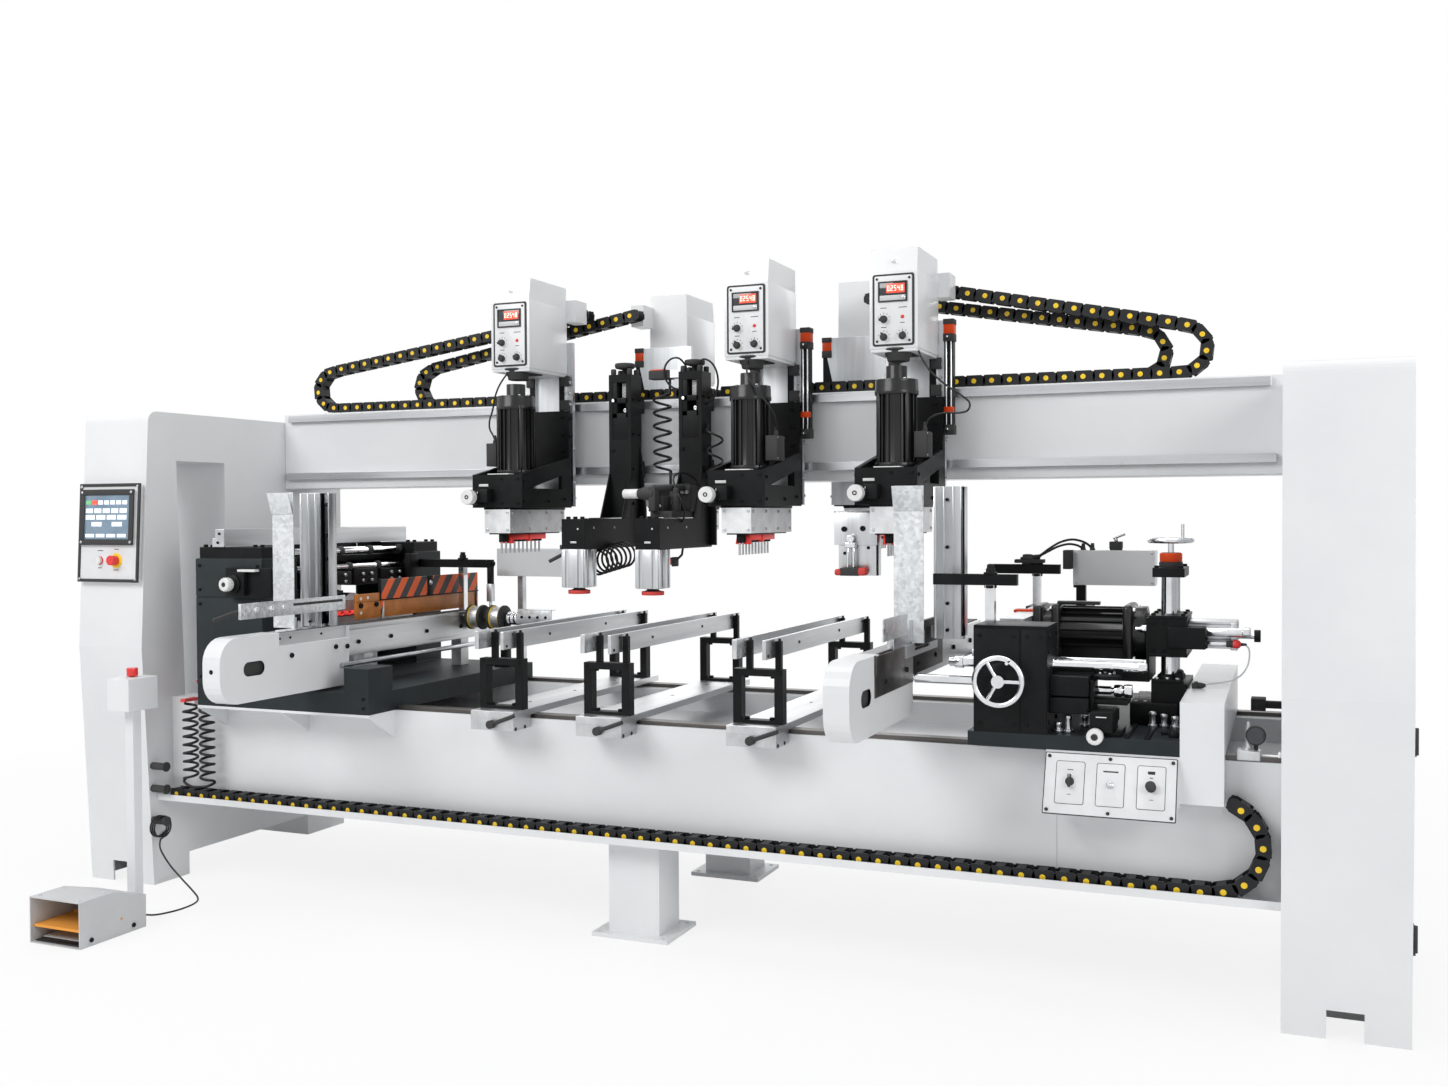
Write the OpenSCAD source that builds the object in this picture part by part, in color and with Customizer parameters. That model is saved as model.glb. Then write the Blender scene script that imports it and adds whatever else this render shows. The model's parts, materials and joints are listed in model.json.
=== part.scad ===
// Line boring machine: portal frame with a bed and a gantry beam, three front and two rear
// drilling heads, two hold-down clamps, three table supports and two horizontal drilling units.
// X runs along the machine, Y from front to back, Z up, floor at zero, all in millimetres.

/* [Portals] */
// Length of the machine over both columns
machine_l = 4976; // [4800:2:5400]
// Width of a column
column_w = 342; // [300:1:380]
// Height of a column
column_h = 1950; // [1900:1:2050]
// Depth of a portal at the floor
portal_d = 1215; // [1180:1:1300]
// Depth of the front leg at the floor
leg_foot_d = 195; // [170:1:220]
// Depth of the front leg under the arm
leg_top_d = 150; // [130:1:180]
// Height of the knee in the front leg
knee_z = 980; // [900:1:1060]
// How far the knee stands forward
knee_out = 50; // [30:1:65]
// Height of the arm that joins leg and rear column
arm_h = 200; // [160:1:240]
// Where the rear column starts behind the front face
rear_col_y = 430; // [380:1:480]
// Clear height under the side sill
sill_z = 95; // [70:1:120]
// Height of the side sill
sill_h = 335; // [280:1:380]
// Length of the rear foot
rear_foot_l = 265; // [220:1:300]
// Radius of the crown's front edge
crown_r = 45; // [30:1:60]
// Thickness of the portal sheet
portal_t = 8; // [6:1:12]
// Width of the floor notch
notch_w = 100; // [80:1:120]
// Height of the floor notch
notch_h = 85; // [60:1:90]

/* [Cabinet door] */
// Width of the cabinet door
door_w = 560; // [480:1:600]
// Height of the cabinet door
door_h = 780; // [650:1:850]
// Height of the door's lower edge
door_z = 200; // [150:1:240]
// Distance of the hinge line from the front face
door_y = 45; // [40:1:60]
// Thickness of the door sheet
door_t = 4; // [3:0.5:6]
// Running gap round the door
door_gap = 3; // [2:0.5:5]
// Diameter of a hinge knuckle
knuckle_d = 16; // [12:1:20]
// Height of a hinge knuckle
knuckle_h = 60; // [40:1:80]
// Diameter of a hinge pin
door_pin_d = 8; // [6:0.5:9]

/* [Bed] */
// Setback of the bed's front face from the column front
bed_y = 110; // [100:1:130]
// Height of the bed's top
bed_top = 765; // [740:1:800]
// Height of the bed's front plate
bed_h = 410; // [360:1:440]
// Depth of the bed
bed_d = 1050; // [1000:1:1070]
// Depth of each long beam of the bed
bed_beam_d = 120; // [100:1:140]
// Plate thickness of the bed
bed_t = 10; // [8:1:14]
// Depth of the chip pan below the top
pan_drop = 85; // [60:1:110]
// Depth of the chain tray
tray_d = 90; // [80:1:98]
// Height of the chain tray's lip
tray_lip = 20; // [12:1:30]
// Width of the housing shelf's gussets
gusset_t = 10; // [8:1:14]
// Height of the gussets
gusset_h = 95; // [70:1:120]
// Width of a centre leg
centre_leg_w = 200; // [160:1:240]
// Depth of a centre leg
centre_leg_d = 170; // [140:1:200]
// Length of a centre foot plate
foot_w = 300; // [270:1:340]
// Depth of a centre foot plate
foot_d = 250; // [230:1:280]
// Thickness of a foot plate
foot_t = 15; // [12:1:20]
// Diameter of an anchor hole
anchor_d = 18; // [14:1:22]
// Edge distance of an anchor hole
anchor_edge = 25; // [22:1:32]
// Width of a bed rail
bed_rail_w = 50; // [40:1:60]
// Height of a bed rail
bed_rail_h = 15; // [12:1:20]
// Distance of a bed rail from the bed's face
bed_rail_in = 12; // [8:1:20]

/* [Gantry beam] */
// Setback of the beam's front face from the column front
beam_y = 820; // [800:1:840]
// Depth of the beam
beam_d = 190; // [180:1:210]
// Height of the beam
beam_h = 345; // [320:1:370]
// How far the beam stands above the columns
beam_rise = 37; // [20:1:50]
// Wall thickness of the beam
beam_t = 10; // [8:1:14]
// Depth of a beam rail
rail_d = 22; // [18:1:28]
// Height of a beam rail
rail_h = 32; // [26:1:38]
// Distance of the upper rail from the beam's top
rail_top_in = 8; // [4:1:14]
// Distance of the lower rail from the beam's bottom
rail_low_in = 41; // [34:1:50]
// Free length of beam at each end of a rail
rail_end = 40; // [20:1:60]
// Thickness of the rubber stop on a rail
stop_t = 18; // [12:1:24]

/* [Vertical heads] */
// Place of head 1 along the beam
head1_x = -700; // [-720:1:-690]
// Place of head 2 along the beam
head2_x = 310; // [305:1:320]
// Place of head 3 along the beam
head3_x = 870; // [860:1:880]
// Place of rear head 1 along the beam
rear1_x = -300; // [-320:1:-280]
// Place of rear head 2 along the beam
rear2_x = 550; // [530:1:570]
// Thickness of a bearing block
bearing_t = 28; // [24:1:32]
// Height of a bearing block
bearing_h = 70; // [60:1:80]
// Width of a carriage plate
plate_w = 225; // [215:1:230]
// Thickness of a carriage plate
plate_t = 20; // [16:1:24]
// Height of a carriage plate
plate_h = 680; // [660:1:700]
// How far a carriage plate hangs below the beam
plate_below = 92; // [80:1:110]
// Width of a vertical guide
guide_w = 26; // [20:1:30]
// Thickness of a vertical guide
guide_t = 15; // [12:1:18]
// Spacing of the two vertical guides
guide_span = 140; // [120:1:150]
// Width of a control box
box_w = 170; // [150:1:180]
// Depth of a control box
box_d = 300; // [280:1:320]
// Height of a control box
box_h = 355; // [330:1:380]
// Height of the box's hood
hood_h = 85; // [60:1:100]
// How far the hood slopes back
hood_back = 14; // [8:1:20]
// Overlap of a control box on its plate
box_lap = 130; // [110:1:140]
// Sheet thickness of a control box
box_t = 3; // [2:0.5:5]
// Width of the slide cylinder beside the plate
slide_cyl_w = 34; // [28:1:40]
// Length of the slide cylinder
slide_cyl_l = 420; // [380:1:460]
// Thickness of the ram's back plate
ram_t = 20; // [16:1:24]
// Height of the ram's back plate
ram_h = 400; // [360:1:420]
// How far the ram hangs below the carriage plate
ram_drop = 5; // [3:1:10]
// Reach of the motor bracket from the ram plate
bracket_d = 375; // [350:1:385]
// Height of the motor bracket
bracket_h = 130; // [110:1:150]
// Plate thickness of the motor bracket
bracket_t = 16; // [12:1:20]
// Rise of the bracket's cheeks from the front to the ram plate
cheek_rise = 75; // [60:1:90]
// Rim left round the window in a cheek
cheek_rim = 62; // [54:1:70]
// Diameter of a head motor
motor_d = 150; // [140:1:160]
// Height of a head motor
motor_h = 315; // [290:1:330]
// Height of the motor's cap
motor_cap_h = 48; // [40:1:60]
// Distance of the motor's axis from the ram plate
motor_y = 228; // [210:1:240]
// Width of a spindle gearbox
gear_w = 116; // [110:1:124]
// Length of a spindle gearbox
gear_l = 430; // [410:1:440]
// Height of a spindle gearbox
gear_h = 100; // [90:1:110]
// Number of spindles in a gearbox
spindles = 10; // [6:1:10]
// Pitch of the spindles
pitch = 32; // [30:1:32]
// Distance of the first spindle from the gearbox's front
spindle_edge = 31; // [26:1:36]
// Diameter of a chuck
chuck_d = 22; // [18:1:26]
// Height of a chuck
chuck_h = 35; // [28:1:42]
// Diameter of a spindle shaft
shaft_d = 12; // [10:1:14]
// Diameter of a drill bit
bit_d = 8; // [5:1:10]
// Free length of a drill bit
bit_l = 45; // [35:1:55]
// Diameter of a position knob
knob_d = 56; // [50:1:60]
// Length of a position knob
knob_l = 32; // [26:1:38]
// Size of the position knob's block
knob_block = 50; // [46:1:56]
// Diameter of a knob's stem
stem_d = 10; // [8:1:12]

/* [Clamps] */
// Place of clamp 1 along the beam
clamp1_x = -330; // [-335:1:-325]
// Place of clamp 2 along the beam
clamp2_x = -20; // [-25:1:-15]
// Width of a clamp column
clamp_w = 100; // [90:1:110]
// Depth of a clamp column
clamp_d = 95; // [80:1:110]
// Height of a clamp column
clamp_h = 695; // [660:1:720]
// Height of the clamp arm's underside below the beam
clamp_below = 257; // [240:1:270]
// Reach of the clamp arm from the column
clamp_reach = 395; // [370:1:410]
// Height of the clamp arm
clamp_arm_h = 115; // [100:1:130]
// Side of the clamp cylinder's body
cyl_w = 90; // [80:1:98]
// Height of the clamp cylinder's body
cyl_h = 145; // [130:1:160]
// Diameter of the clamp rod
rod_d = 20; // [16:1:24]
// Diameter of the clamp pad
pad_d = 84; // [70:1:96]
// Thickness of the clamp pad
pad_t = 14; // [10:1:18]
// Free length of the clamp rod
rod_free = 10; // [6:1:14]
// Length of the clamp rod inside its cylinder
rod_in = 100; // [95:1:120]
// Diameter of a clamp's top knob
clamp_knob_d = 46; // [38:1:54]
// Height of a clamp's top knob
clamp_knob_h = 50; // [40:1:60]
// Width of the valve blocks on clamp 2
valve_w = 92; // [88:1:100]
// Distance of the valves from clamp 2's column
valve_off = 45; // [35:1:50]

/* [Table supports] */
// Place of support 1 along the bed
support1_x = -505; // [-515:1:-495]
// Place of support 2 along the bed
support2_x = -70; // [-80:1:-60]
// Place of support 3 along the bed
support3_x = 505; // [495:1:515]
// Width of a support slat
slat_w = 180; // [170:1:190]
// Thickness of a support slat
slat_t = 25; // [20:1:30]
// Overhang of a slat in front of the bed
slat_front = 130; // [115:1:150]
// Thickness of the clamp block under the slat's front
grip_h = 45; // [36:1:60]
// Depth of the clamp block
grip_d = 122; // [110:1:126]
// Height of a pedestal
ped_h = 185; // [170:1:200]
// Depth of a pedestal
ped_d = 42; // [34:1:50]
// Width of a pedestal post
post_w = 30; // [24:1:36]
// Height of a pedestal's rails
ped_rail = 24; // [18:1:30]
// Length of the pin that holds a bar
bar_pin_h = 95; // [85:1:104]
// Height of a support bar
bar_h = 65; // [55:1:75]
// Thickness of a support bar
bar_t = 14; // [10:1:18]
// Gap under a support bar
bar_gap = 40; // [30:1:50]
// Overhang of the bars in front of the pedestal
bar_front = 75; // [50:1:90]
// Length of a clamp lever
lever_l = 105; // [90:1:120]
// Thickness of a clamp lever
lever_d = 18; // [14:1:22]

/* [Conveyors] */
// Place of the left conveyor's middle, in from the left unit's inner end
conv_left_in = 259; // [245:1:275]
// Place of the right conveyor's middle, out from the right carriage's left edge
conv_right_out = 240; // [229:1:249]
// Width of a conveyor
conv_w = 78; // [70:1:86]
// Height of a conveyor profile
conv_h = 120; // [100:1:130]
// Reach of a conveyor in front of the columns
conv_front = 580; // [540:1:620]
// How far a conveyor reaches back past the unit that carries it
conv_back = 30; // [20:1:60]
// How far the belt lies below the work plane
belt_drop = 5; // [2:1:8]
// Thickness of the belt
belt_t = 4; // [3:0.5:6]
// Height of an end cover
end_cover_h = 235; // [220:1:240]
// Radius of an end cover's round corners
end_cover_r = 85; // [70:1:100]
// Drop of the end cover's top behind its step
end_cover_step = 50; // [40:1:60]
// Sheet thickness of an end cover
end_cover_t = 3; // [2:0.5:4]
// Height of the upright guides above the belt
upright_h = 515; // [480:1:540]
// Width of the sheet upright
sheet_w = 100; // [90:1:110]
// Thickness of the sheet upright
sheet_t = 4; // [3:1:6]
// Thickness of the profile upright
profile_t = 22; // [18:1:28]
// Height of the slotted bar that carries the uprights
slot_bar_h = 42; // [36:1:50]
// Thickness of the slotted bar
slot_bar_t = 10; // [8:1:14]

/* [Left unit] */
// Gap between the left column and the left unit
left_gap = 291; // [280:1:310]
// Length of the left unit's base
left_w = 830; // [800:1:840]
// How far the left unit stands in front of the columns
left_front = 50; // [40:1:60]
// Depth of the left unit
left_d = 1200; // [1180:1:1210]
// Height of the left unit's base
left_base_h = 80; // [70:1:84]
// Width of the left unit's tall housings
left_tower_w = 335; // [320:1:336]
// Depth of each tall housing
left_tower_d = 200; // [180:1:220]
// Height of the tall housings
left_tower_h = 505; // [480:1:530]
// Height of the cap on a left housing
left_cap_h = 45; // [35:1:55]
// Width of the bar across the left housings
left_bar_w = 60; // [50:1:70]
// Height of the bar across the left housings
left_bar_h = 72; // [60:1:80]
// Place of the left gearbox, in from the left unit's outer end
left_gear_in = 295; // [285:1:300]
// Width of the box under the left conveyor's front
left_box_w = 115; // [100:1:125]
// Height of the box under the left conveyor's front
left_box_h = 95; // [80:1:105]

/* [Horizontal drilling units] */
// Length of the horizontal gearbox along Y
hgear_l = 640; // [600:1:660]
// Width of the horizontal gearbox
hgear_w = 80; // [70:1:90]
// Height of the horizontal gearbox
hgear_h = 110; // [100:1:120]
// Diameter of a horizontal motor
hmotor_d = 180; // [160:1:190]
// Length of a horizontal motor
hmotor_l = 370; // [340:1:390]
// Height of the drills above the work plane
drill_rise = 15; // [10:1:25]

/* [Right unit] */
// Place of the right carriage's left edge, set by the length of the work and not by the machine's
right_x = 1224; // [1215:1:1235]
// Length of the right carriage
right_w = 640; // [620:1:650]
// Setback of the right carriage from the column front
right_y = 30; // [24:1:40]
// Depth of the right carriage
right_d = 1120; // [1100:1:1150]
// Thickness of the right carriage's base plate
right_t = 45; // [40:1:55]
// Width of the right housings
right_tower_w = 230; // [210:1:250]
// Height of the right housings
right_tower_h = 330; // [310:1:350]
// Depth of each right housing
right_tower_d = 200; // [180:1:205]
// Diameter of a lift post
lift_post_d = 50; // [40:1:56]
// Spacing of the two lift posts
lift_post_span = 140; // [120:1:150]
// Height of the lift posts above the base plate
lift_post_h = 507; // [495:1:530]
// Diameter of the collar under the top wheel
collar_d = 62; // [50:1:70]
// Height of the collar under the top wheel
collar_h = 48; // [40:1:56]
// Distance of the lift posts from the carriage's right edge
lift_post_in = 62; // [56:1:70]
// Place of the lift posts behind the carriage's front edge
lift_y = 470; // [450:1:490]
// Width of the lift block
lift_block_w = 116; // [106:1:122]
// Height of the lift block
lift_block_h = 120; // [100:1:140]
// Length of the feed cylinder right of the lift block
feed_cyl_l = 150; // [130:1:165]
// Length of the feed rod
feed_rod_l = 70; // [50:1:80]
// Diameter of the top handwheel
top_wheel_d = 150; // [130:1:170]
// Diameter of the side handwheel
side_wheel_d = 165; // [150:1:180]
// Thickness of a handwheel rim
rim_d = 18; // [14:1:22]
// Diameter of a handwheel shaft
wheel_shaft_d = 20; // [16:1:24]
// Width of the white cover
cover_w = 125; // [110:1:135]
// Height of the white cover above the bed rails
cover_h = 165; // [150:1:180]
// How far the cover's front drops below the carriage
cover_drop = 140; // [120:1:150]
// Length of the panel with three knobs
panel_l = 394; // [370:1:420]
// Height of that panel
panel_h = 155; // [140:1:165]

/* [Control panel] */
// Width of the control panel
hmi_w = 310; // [290:1:320]
// Height of the control panel
hmi_h = 400; // [380:1:420]
// Thickness of the control panel
hmi_t = 22; // [18:1:26]
// Height of the control panel's lower edge up the sloping face
hmi_z = 270; // [250:1:290]
// Width of the touch screen
screen_w = 275; // [260:1:285]
// Height of the touch screen
screen_h = 225; // [210:1:240]
// Thickness of the touch screen's frame
screen_t = 8; // [5:1:10]
// Diameter of a push button's stem
button_stem_d = 20; // [16:1:22]
// Diameter of the start button
start_d = 28; // [24:1:32]
// Diameter of an emergency stop
estop_d = 40; // [34:1:44]
// Height of an emergency stop
estop_h = 30; // [26:1:34]
// Travel of a push button
button_travel = 4; // [3:0.5:6]

/* [Foot switch] */
// Place of the foot switch's left side, in from the left column
pedal_in = 166; // [146:1:186]
// Reach of the foot switch in front of the columns
pedal_front = 740; // [720:1:760]
// Width of the foot switch
pedal_w = 240; // [220:1:250]
// Depth of the foot switch
pedal_d = 300; // [280:1:310]
// Height of the foot switch at its mouth
pedal_h = 165; // [150:1:180]
// Height of the foot switch at its back
pedal_back_h = 120; // [110:1:140]
// Sheet thickness of the foot switch
pedal_t = 4; // [3:1:6]
// Thickness of the treadle
treadle_t = 10; // [8:1:12]
// Diameter of the treadle's pin
treadle_pin_d = 10; // [8:1:12]
// Side of the post
stand_w = 40; // [34:1:46]
// Height of the post's box above the floor
stand_h = 800; // [780:1:840]
// Width of the post's box
stand_box_w = 105; // [96:1:115]
// Depth of the post's box
stand_box_d = 140; // [120:1:150]
// Height of the post's box
stand_box_h = 120; // [100:1:140]

/* [Cable chains] */
// Height of a cable chain
chain_h = 45; // [38:1:50]
// Width of a cable chain
chain_w = 60; // [50:1:64]
// Bend radius of the bed's chain
bed_chain_r = 140; // [120:1:145]
// Bend radius of a beam chain
beam_chain_r = 85; // [70:1:95]
// Gap between two chains side by side
chain_gap = 20; // [10:1:24]

/* [Hoses] */
// Diameter of a spiral hose's tube
hose_d = 8; // [6:1:9]
// Diameter of the air hose's curls
curl_d = 62; // [56:1:66]
// Pitch of the air hose's curls
curl_pitch = 34; // [32:1:36]
// Number of curls in each leg of the air hose
curls = 9; // [6:1:9]
// Pitch of the clamp hose's curls
clamp_curl_pitch = 52; // [48:1:54]
// Number of curls in the clamp hose
clamp_curls = 6; // [4:1:6]
// Diameter of a hose peg
peg_d = 30; // [24:1:34]
// Length of a hose peg
peg_l = 70; // [60:1:80]

/* [Hidden] */
$fn = 48;

// Overrun of a cut past the face that it opens
over = 5;
// Clearance between pieces that move past each other
clear = 0.5;
// Radial running clearance of a pin or shaft in its bore
fit = 0.05;
// Small air gap between a turning part and its seat
seat_gap = 0.3;

// Inner faces of the columns
col_x = machine_l / 2 - column_w;
// Vertical places on the beam
beam_z = column_h + beam_rise - beam_h;
beam_top = beam_z + beam_h;
rail_up_z = beam_top - rail_top_in - rail_h;
rail_low_z = beam_z + rail_low_in;
// Places on the bed
bed_back = bed_y + bed_d;
bed_z = bed_top - bed_h;
table_z = bed_top + bed_rail_h;
rail_front_y = bed_y + bed_rail_in;
rail_rear_y = bed_back - bed_rail_in - bed_rail_w;
// Work plane: top of the support bars
slat_z = table_z + slat_t;
bar_z = slat_z + ped_h + bar_gap;
work_z = bar_z + bar_h;
belt_z = work_z - belt_drop;
// Depth places of a head, counted forward from the beam's face
plate_in = rail_d + bearing_t;
guide_in = plate_in + plate_t;
ram_in = guide_in + guide_t;
bracket_in = ram_in + ram_t;
bracket_out = bracket_in + bracket_d;
// Height places of a head
plate_z = beam_z - plate_below;
plate_top = plate_z + plate_h;
box_z = plate_top - box_lap;
ram_z = plate_z - ram_drop;
bracket_top = ram_z + bracket_h;
gear_z = ram_z - gear_h;
chuck_z = gear_z - seat_gap - chuck_h;
gear_in = bracket_in + bracket_d - gear_l;
spindle_first = bracket_out - spindle_edge;
knob_x = -(plate_w - knob_block) / 2;
knob_z = ram_z + knob_block / 2 + bracket_t;
motor_in = bracket_in + motor_y;
// Left unit
left_x = left_gap - col_x;
left_end = left_x + left_w;
conv_left_x = left_end - conv_left_in;
left_top = bed_top + left_base_h;
// Right unit
conv_right_x = right_x - conv_right_out;
right_top = table_z + right_t;
right_end = right_x + right_w;
tower_inset = right_tower_w / 12;
tower_x = right_x + tower_inset;
tower_top = right_top + right_tower_h;
lift_x = right_end - lift_post_in;
lift_cy = right_y + lift_y;
post_top = right_top + lift_post_h;
drill_z = work_z + drill_rise;
hgear_y = right_y + right_tower_d + (right_d - 2 * right_tower_d - hgear_l) / 2;
lift_z = drill_z - lift_block_h / 2;
saddle_t = right_t * 2 / 3;
table_low = drill_z - hmotor_d / 2 - 2 * saddle_t;
lift_block_x = lift_x - lift_block_w / 2;
hgear_x = lift_block_x - saddle_t / 2 - hmotor_l - hgear_w;
// Control panel on the sloping face of the left column
face_l = norm([knee_out, column_h - crown_r - knee_z]);
face_tilt = atan2(knee_out, column_h - crown_r - knee_z);
hmi_x = -col_x - column_w / 2;
button_z = hmi_h / 4.6;
button_x = hmi_w / 7;
// Foot switch
pedal_x = pedal_in - col_x;
pedal_y = -pedal_front;
stand_x = pedal_x + pedal_w - stand_w * 1.8;
stand_y = pedal_y + pedal_d + stand_w / 2;
treadle_y = pedal_y + pedal_d * 0.62;
treadle_z = pedal_back_h / 2;
// Middle of the object without its cords
front_y = pedal_y;
back_y = beam_y + beam_d + bracket_out;
mid_y = (front_y + back_y) / 2;
mid_x = (knuckle_d + clear) / 2;
// Beam chains
chain_z = beam_top + chain_h / 2;
chain_front_y = beam_y + (beam_d - 2 * chain_w - chain_gap) / 2;
chain_rear_y = chain_front_y + chain_w + chain_gap;
chain_rise_share = 0.86;
chain_end_z = box_z + box_h * chain_rise_share - chain_h;
bed_chain_y = bed_y - tray_d + (tray_d - chain_w) / 2;
bed_chain_z = bed_z + chain_h / 2;
bed_chain_x = col_x - bed_chain_r - chain_h;

// Puts the origin under the middle of the machine
module place() translate([-mid_x, -mid_y, 0]) children();

// Box between two corners
module block(lo, hi) translate(lo) cube(hi - lo);

// Round bars along each axis, from a start point
module bar_x(p, d, l) translate(p) rotate([0, 90, 0]) cylinder(d = d, h = l);
module bar_y(p, d, l) translate(p) rotate([-90, 0, 0]) cylinder(d = d, h = l);
module bar_up(p, d, l) translate(p) cylinder(d = d, h = l);

// Outline in the Y-Z plane drawn out along X
module along_x(x, l) translate([x, 0, 0]) rotate([90, 0, 90]) linear_extrude(l) children();

// Outline in the X-Z plane drawn out along Y
module along_y(y, l) translate([0, y + l, 0]) rotate([90, 0, 0]) linear_extrude(l) children();

// Points of an arc
function arc(c, r, a0, a1, n) = [for (i = [0:n]) c + r * [cos(a0 + (a1 - a0) * i / n),
  sin(a0 + (a1 - a0) * i / n)]];

// Side outline of a portal, inset by m and started at height z
function portal_outline(m, z) = concat(
  [[m, z], [m - knee_out, knee_z]],
  arc([crown_r, column_h - crown_r], crown_r - m, 180, 90, 6),
  [[portal_d - m, column_h - m], [portal_d - m, z]],
  [[portal_d - rear_foot_l + m, z], [portal_d - rear_foot_l + m, sill_z + m]],
  [[leg_foot_d - m, sill_z + m], [leg_foot_d - m, z]]);

// Side window of the left portal, grown by m
function portal_window(m) = [
  [leg_foot_d - m, sill_z + sill_h - m], [rear_col_y + m, sill_z + sill_h - m],
  [rear_col_y + m, column_h - arm_h + m], [leg_top_d - m, column_h - arm_h + m]];

// Sheet steel portal, open to the floor
module portal(x, window) {
  difference() {
    along_x(x, column_w) difference() {
      polygon(portal_outline(0, 0));
      if (window) polygon(portal_window(0));
    }
    along_x(x + portal_t, column_w - 2 * portal_t) difference() {
      polygon(portal_outline(portal_t, -over));
      if (window) polygon(portal_window(portal_t));
    }
    block([x + (column_w - notch_w) / 2, -knee_out, -over],
      [x + (column_w + notch_w) / 2, 2 * portal_t, notch_h]);
  }
}

module left_portal() color("white") place() portal(-col_x - column_w, true);

module right_portal() color("white") place() {
  x = col_x + column_w;
  difference() {
    portal(col_x, false);
    block([x - 2 * portal_t, door_y, door_z], [x + over, door_y + door_w, door_z + door_h]);
  }
  for (share = door_hinge_shares) translate([0, 0,
    door_z + door_h * share - knuckle_h / 2 - seat_gap - knuckle_d]) {
    bar_up([hinge_x, door_y, 0], knuckle_d, knuckle_d);
    block([x, door_y - 2 * knuckle_d, 0], [hinge_x, door_y, knuckle_d]);
    bar_up([hinge_x, door_y, knuckle_d], door_pin_d, knuckle_h);
  }
}

// Cabinet door in the right portal's outer side, with its hinge knuckles
module cabinet_door() color("white") place() {
  x = col_x + column_w;
  difference() {
    union() {
      block([x - door_t, door_y + door_gap, door_z + door_gap],
        [x, door_y + door_w - door_gap, door_z + door_h - door_gap]);
      for (share = door_hinge_shares) translate([0, 0, door_z + door_h * share - knuckle_h / 2]) {
        bar_up([hinge_x, door_y, 0], knuckle_d, knuckle_h);
        block([x, door_y + door_gap, 0], [x + knuckle_d / 2, door_y + knuckle_d * 2, knuckle_h]);
      }
    }
    for (share = door_hinge_shares) translate([0, 0, door_z + door_h * share - knuckle_h])
      bar_up([hinge_x, door_y, 0], door_pin_d + 2 * fit, knuckle_h * 2);
  }
}
door_hinge_shares = [0.14, 0.86];
hinge_x = col_x + column_w + knuckle_d / 2 + clear;

// Long beam of the bed, hollow from end to end
module bed_beam(y) difference() {
  block([-col_x, y, bed_z], [col_x, y + bed_beam_d, bed_top]);
  block([-col_x - over, y + bed_t, bed_z + bed_t], [col_x + over, y + bed_beam_d - bed_t, bed_top - bed_t]);
}

// Centre leg with its foot plate and anchor holes
module centre_leg(y, dir) {
  y0 = dir > 0 ? y : y - centre_leg_d;
  mid = y0 + centre_leg_d / 2;
  difference() {
    block([-centre_leg_w / 2, y0, 0], [centre_leg_w / 2, y0 + centre_leg_d, bed_z]);
    block([-centre_leg_w / 2 + bed_t, y0 + bed_t, foot_t],
      [centre_leg_w / 2 - bed_t, y0 + centre_leg_d - bed_t, bed_z + over]);
  }
  difference() {
    block([-foot_w / 2, mid - foot_d / 2, 0], [foot_w / 2, mid + foot_d / 2, foot_t]);
    for (sx = [-1, 1], sy = [-1, 1])
      bar_up([sx * (foot_w / 2 - anchor_edge), mid + sy * (foot_d / 2 - anchor_edge), -over], anchor_d,
        foot_t + 2 * over);
  }
}

// Shelf in front of the bed that carries the left housing
module housing_shelf() {
  block([left_x, -left_front, bed_top - bed_t], [left_end, bed_y, bed_top]);
  for (share = [0, 0.5, 1]) along_x(left_x + (left_w - gusset_t) * share, gusset_t)
    polygon([[-left_front, bed_top - bed_t], [bed_y, bed_top - bed_t],
      [bed_y, bed_top - bed_t - gusset_h]]);
}

module bed() color("white") place() {
  bed_beam(bed_y);
  bed_beam(bed_back - bed_beam_d);
  block([-col_x, bed_y + bed_beam_d, bed_top - pan_drop - bed_t],
    [col_x, bed_back - bed_beam_d, bed_top - pan_drop]);
  block([-col_x, bed_y - tray_d, bed_z - bed_t / 2], [col_x, bed_y + bed_t, bed_z]);
  block([-col_x, bed_y - tray_d, bed_z], [col_x, bed_y - tray_d + bed_t / 2, bed_z + tray_lip]);
  housing_shelf();
  centre_leg(bed_y, 1);
  centre_leg(bed_back, -1);
}

// Rail along one face of the beam at height z
module beam_rail(y, z) block([-col_x + rail_end, y, z], [col_x - rail_end, y + rail_d, z + rail_h]);

module guide_rails() color("dimgray") place() {
  for (y = [rail_front_y, rail_rear_y])
    block([left_end + clear, y, bed_top], [col_x, y + bed_rail_w, table_z]);
  for (y = [beam_y - rail_d, beam_y + beam_d], z = [rail_up_z, rail_low_z]) beam_rail(y, z);
  for (x = [-col_x + rail_end - stop_t, col_x - rail_end])
    block([x, beam_y - rail_d, rail_low_z], [x + stop_t, beam_y, rail_low_z + rail_h]);
}

module gantry_beam() color("white") place() difference() {
  block([-col_x, beam_y, beam_z], [col_x, beam_y + beam_d, beam_top]);
  block([-col_x - over, beam_y + beam_t, beam_z + beam_t],
    [col_x + over, beam_y + beam_d - beam_t, beam_top - beam_t]);
}

// Puts a piece on the sloping face: local Y points into the column, local Z up the face
module on_face() translate([hmi_x, -knee_out, knee_z]) rotate([-face_tilt, 0, 0]) translate([0, 0,
  hmi_z]) children();

module control_panel() color("whitesmoke") place() on_face() {
  difference() {
    block([-hmi_w / 2, -hmi_t, 0], [hmi_w / 2, 0, hmi_h]);
    for (sx = [-1, 1])
      bar_y([sx * button_x, -hmi_t - over, button_z], button_stem_d + 2 * fit, hmi_t + 2 * over);
  }
  block([-screen_w / 2, -hmi_t - screen_t, hmi_h - screen_w / 12 - screen_h],
    [screen_w / 2, -hmi_t, hmi_h - screen_w / 12]);
}

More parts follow.
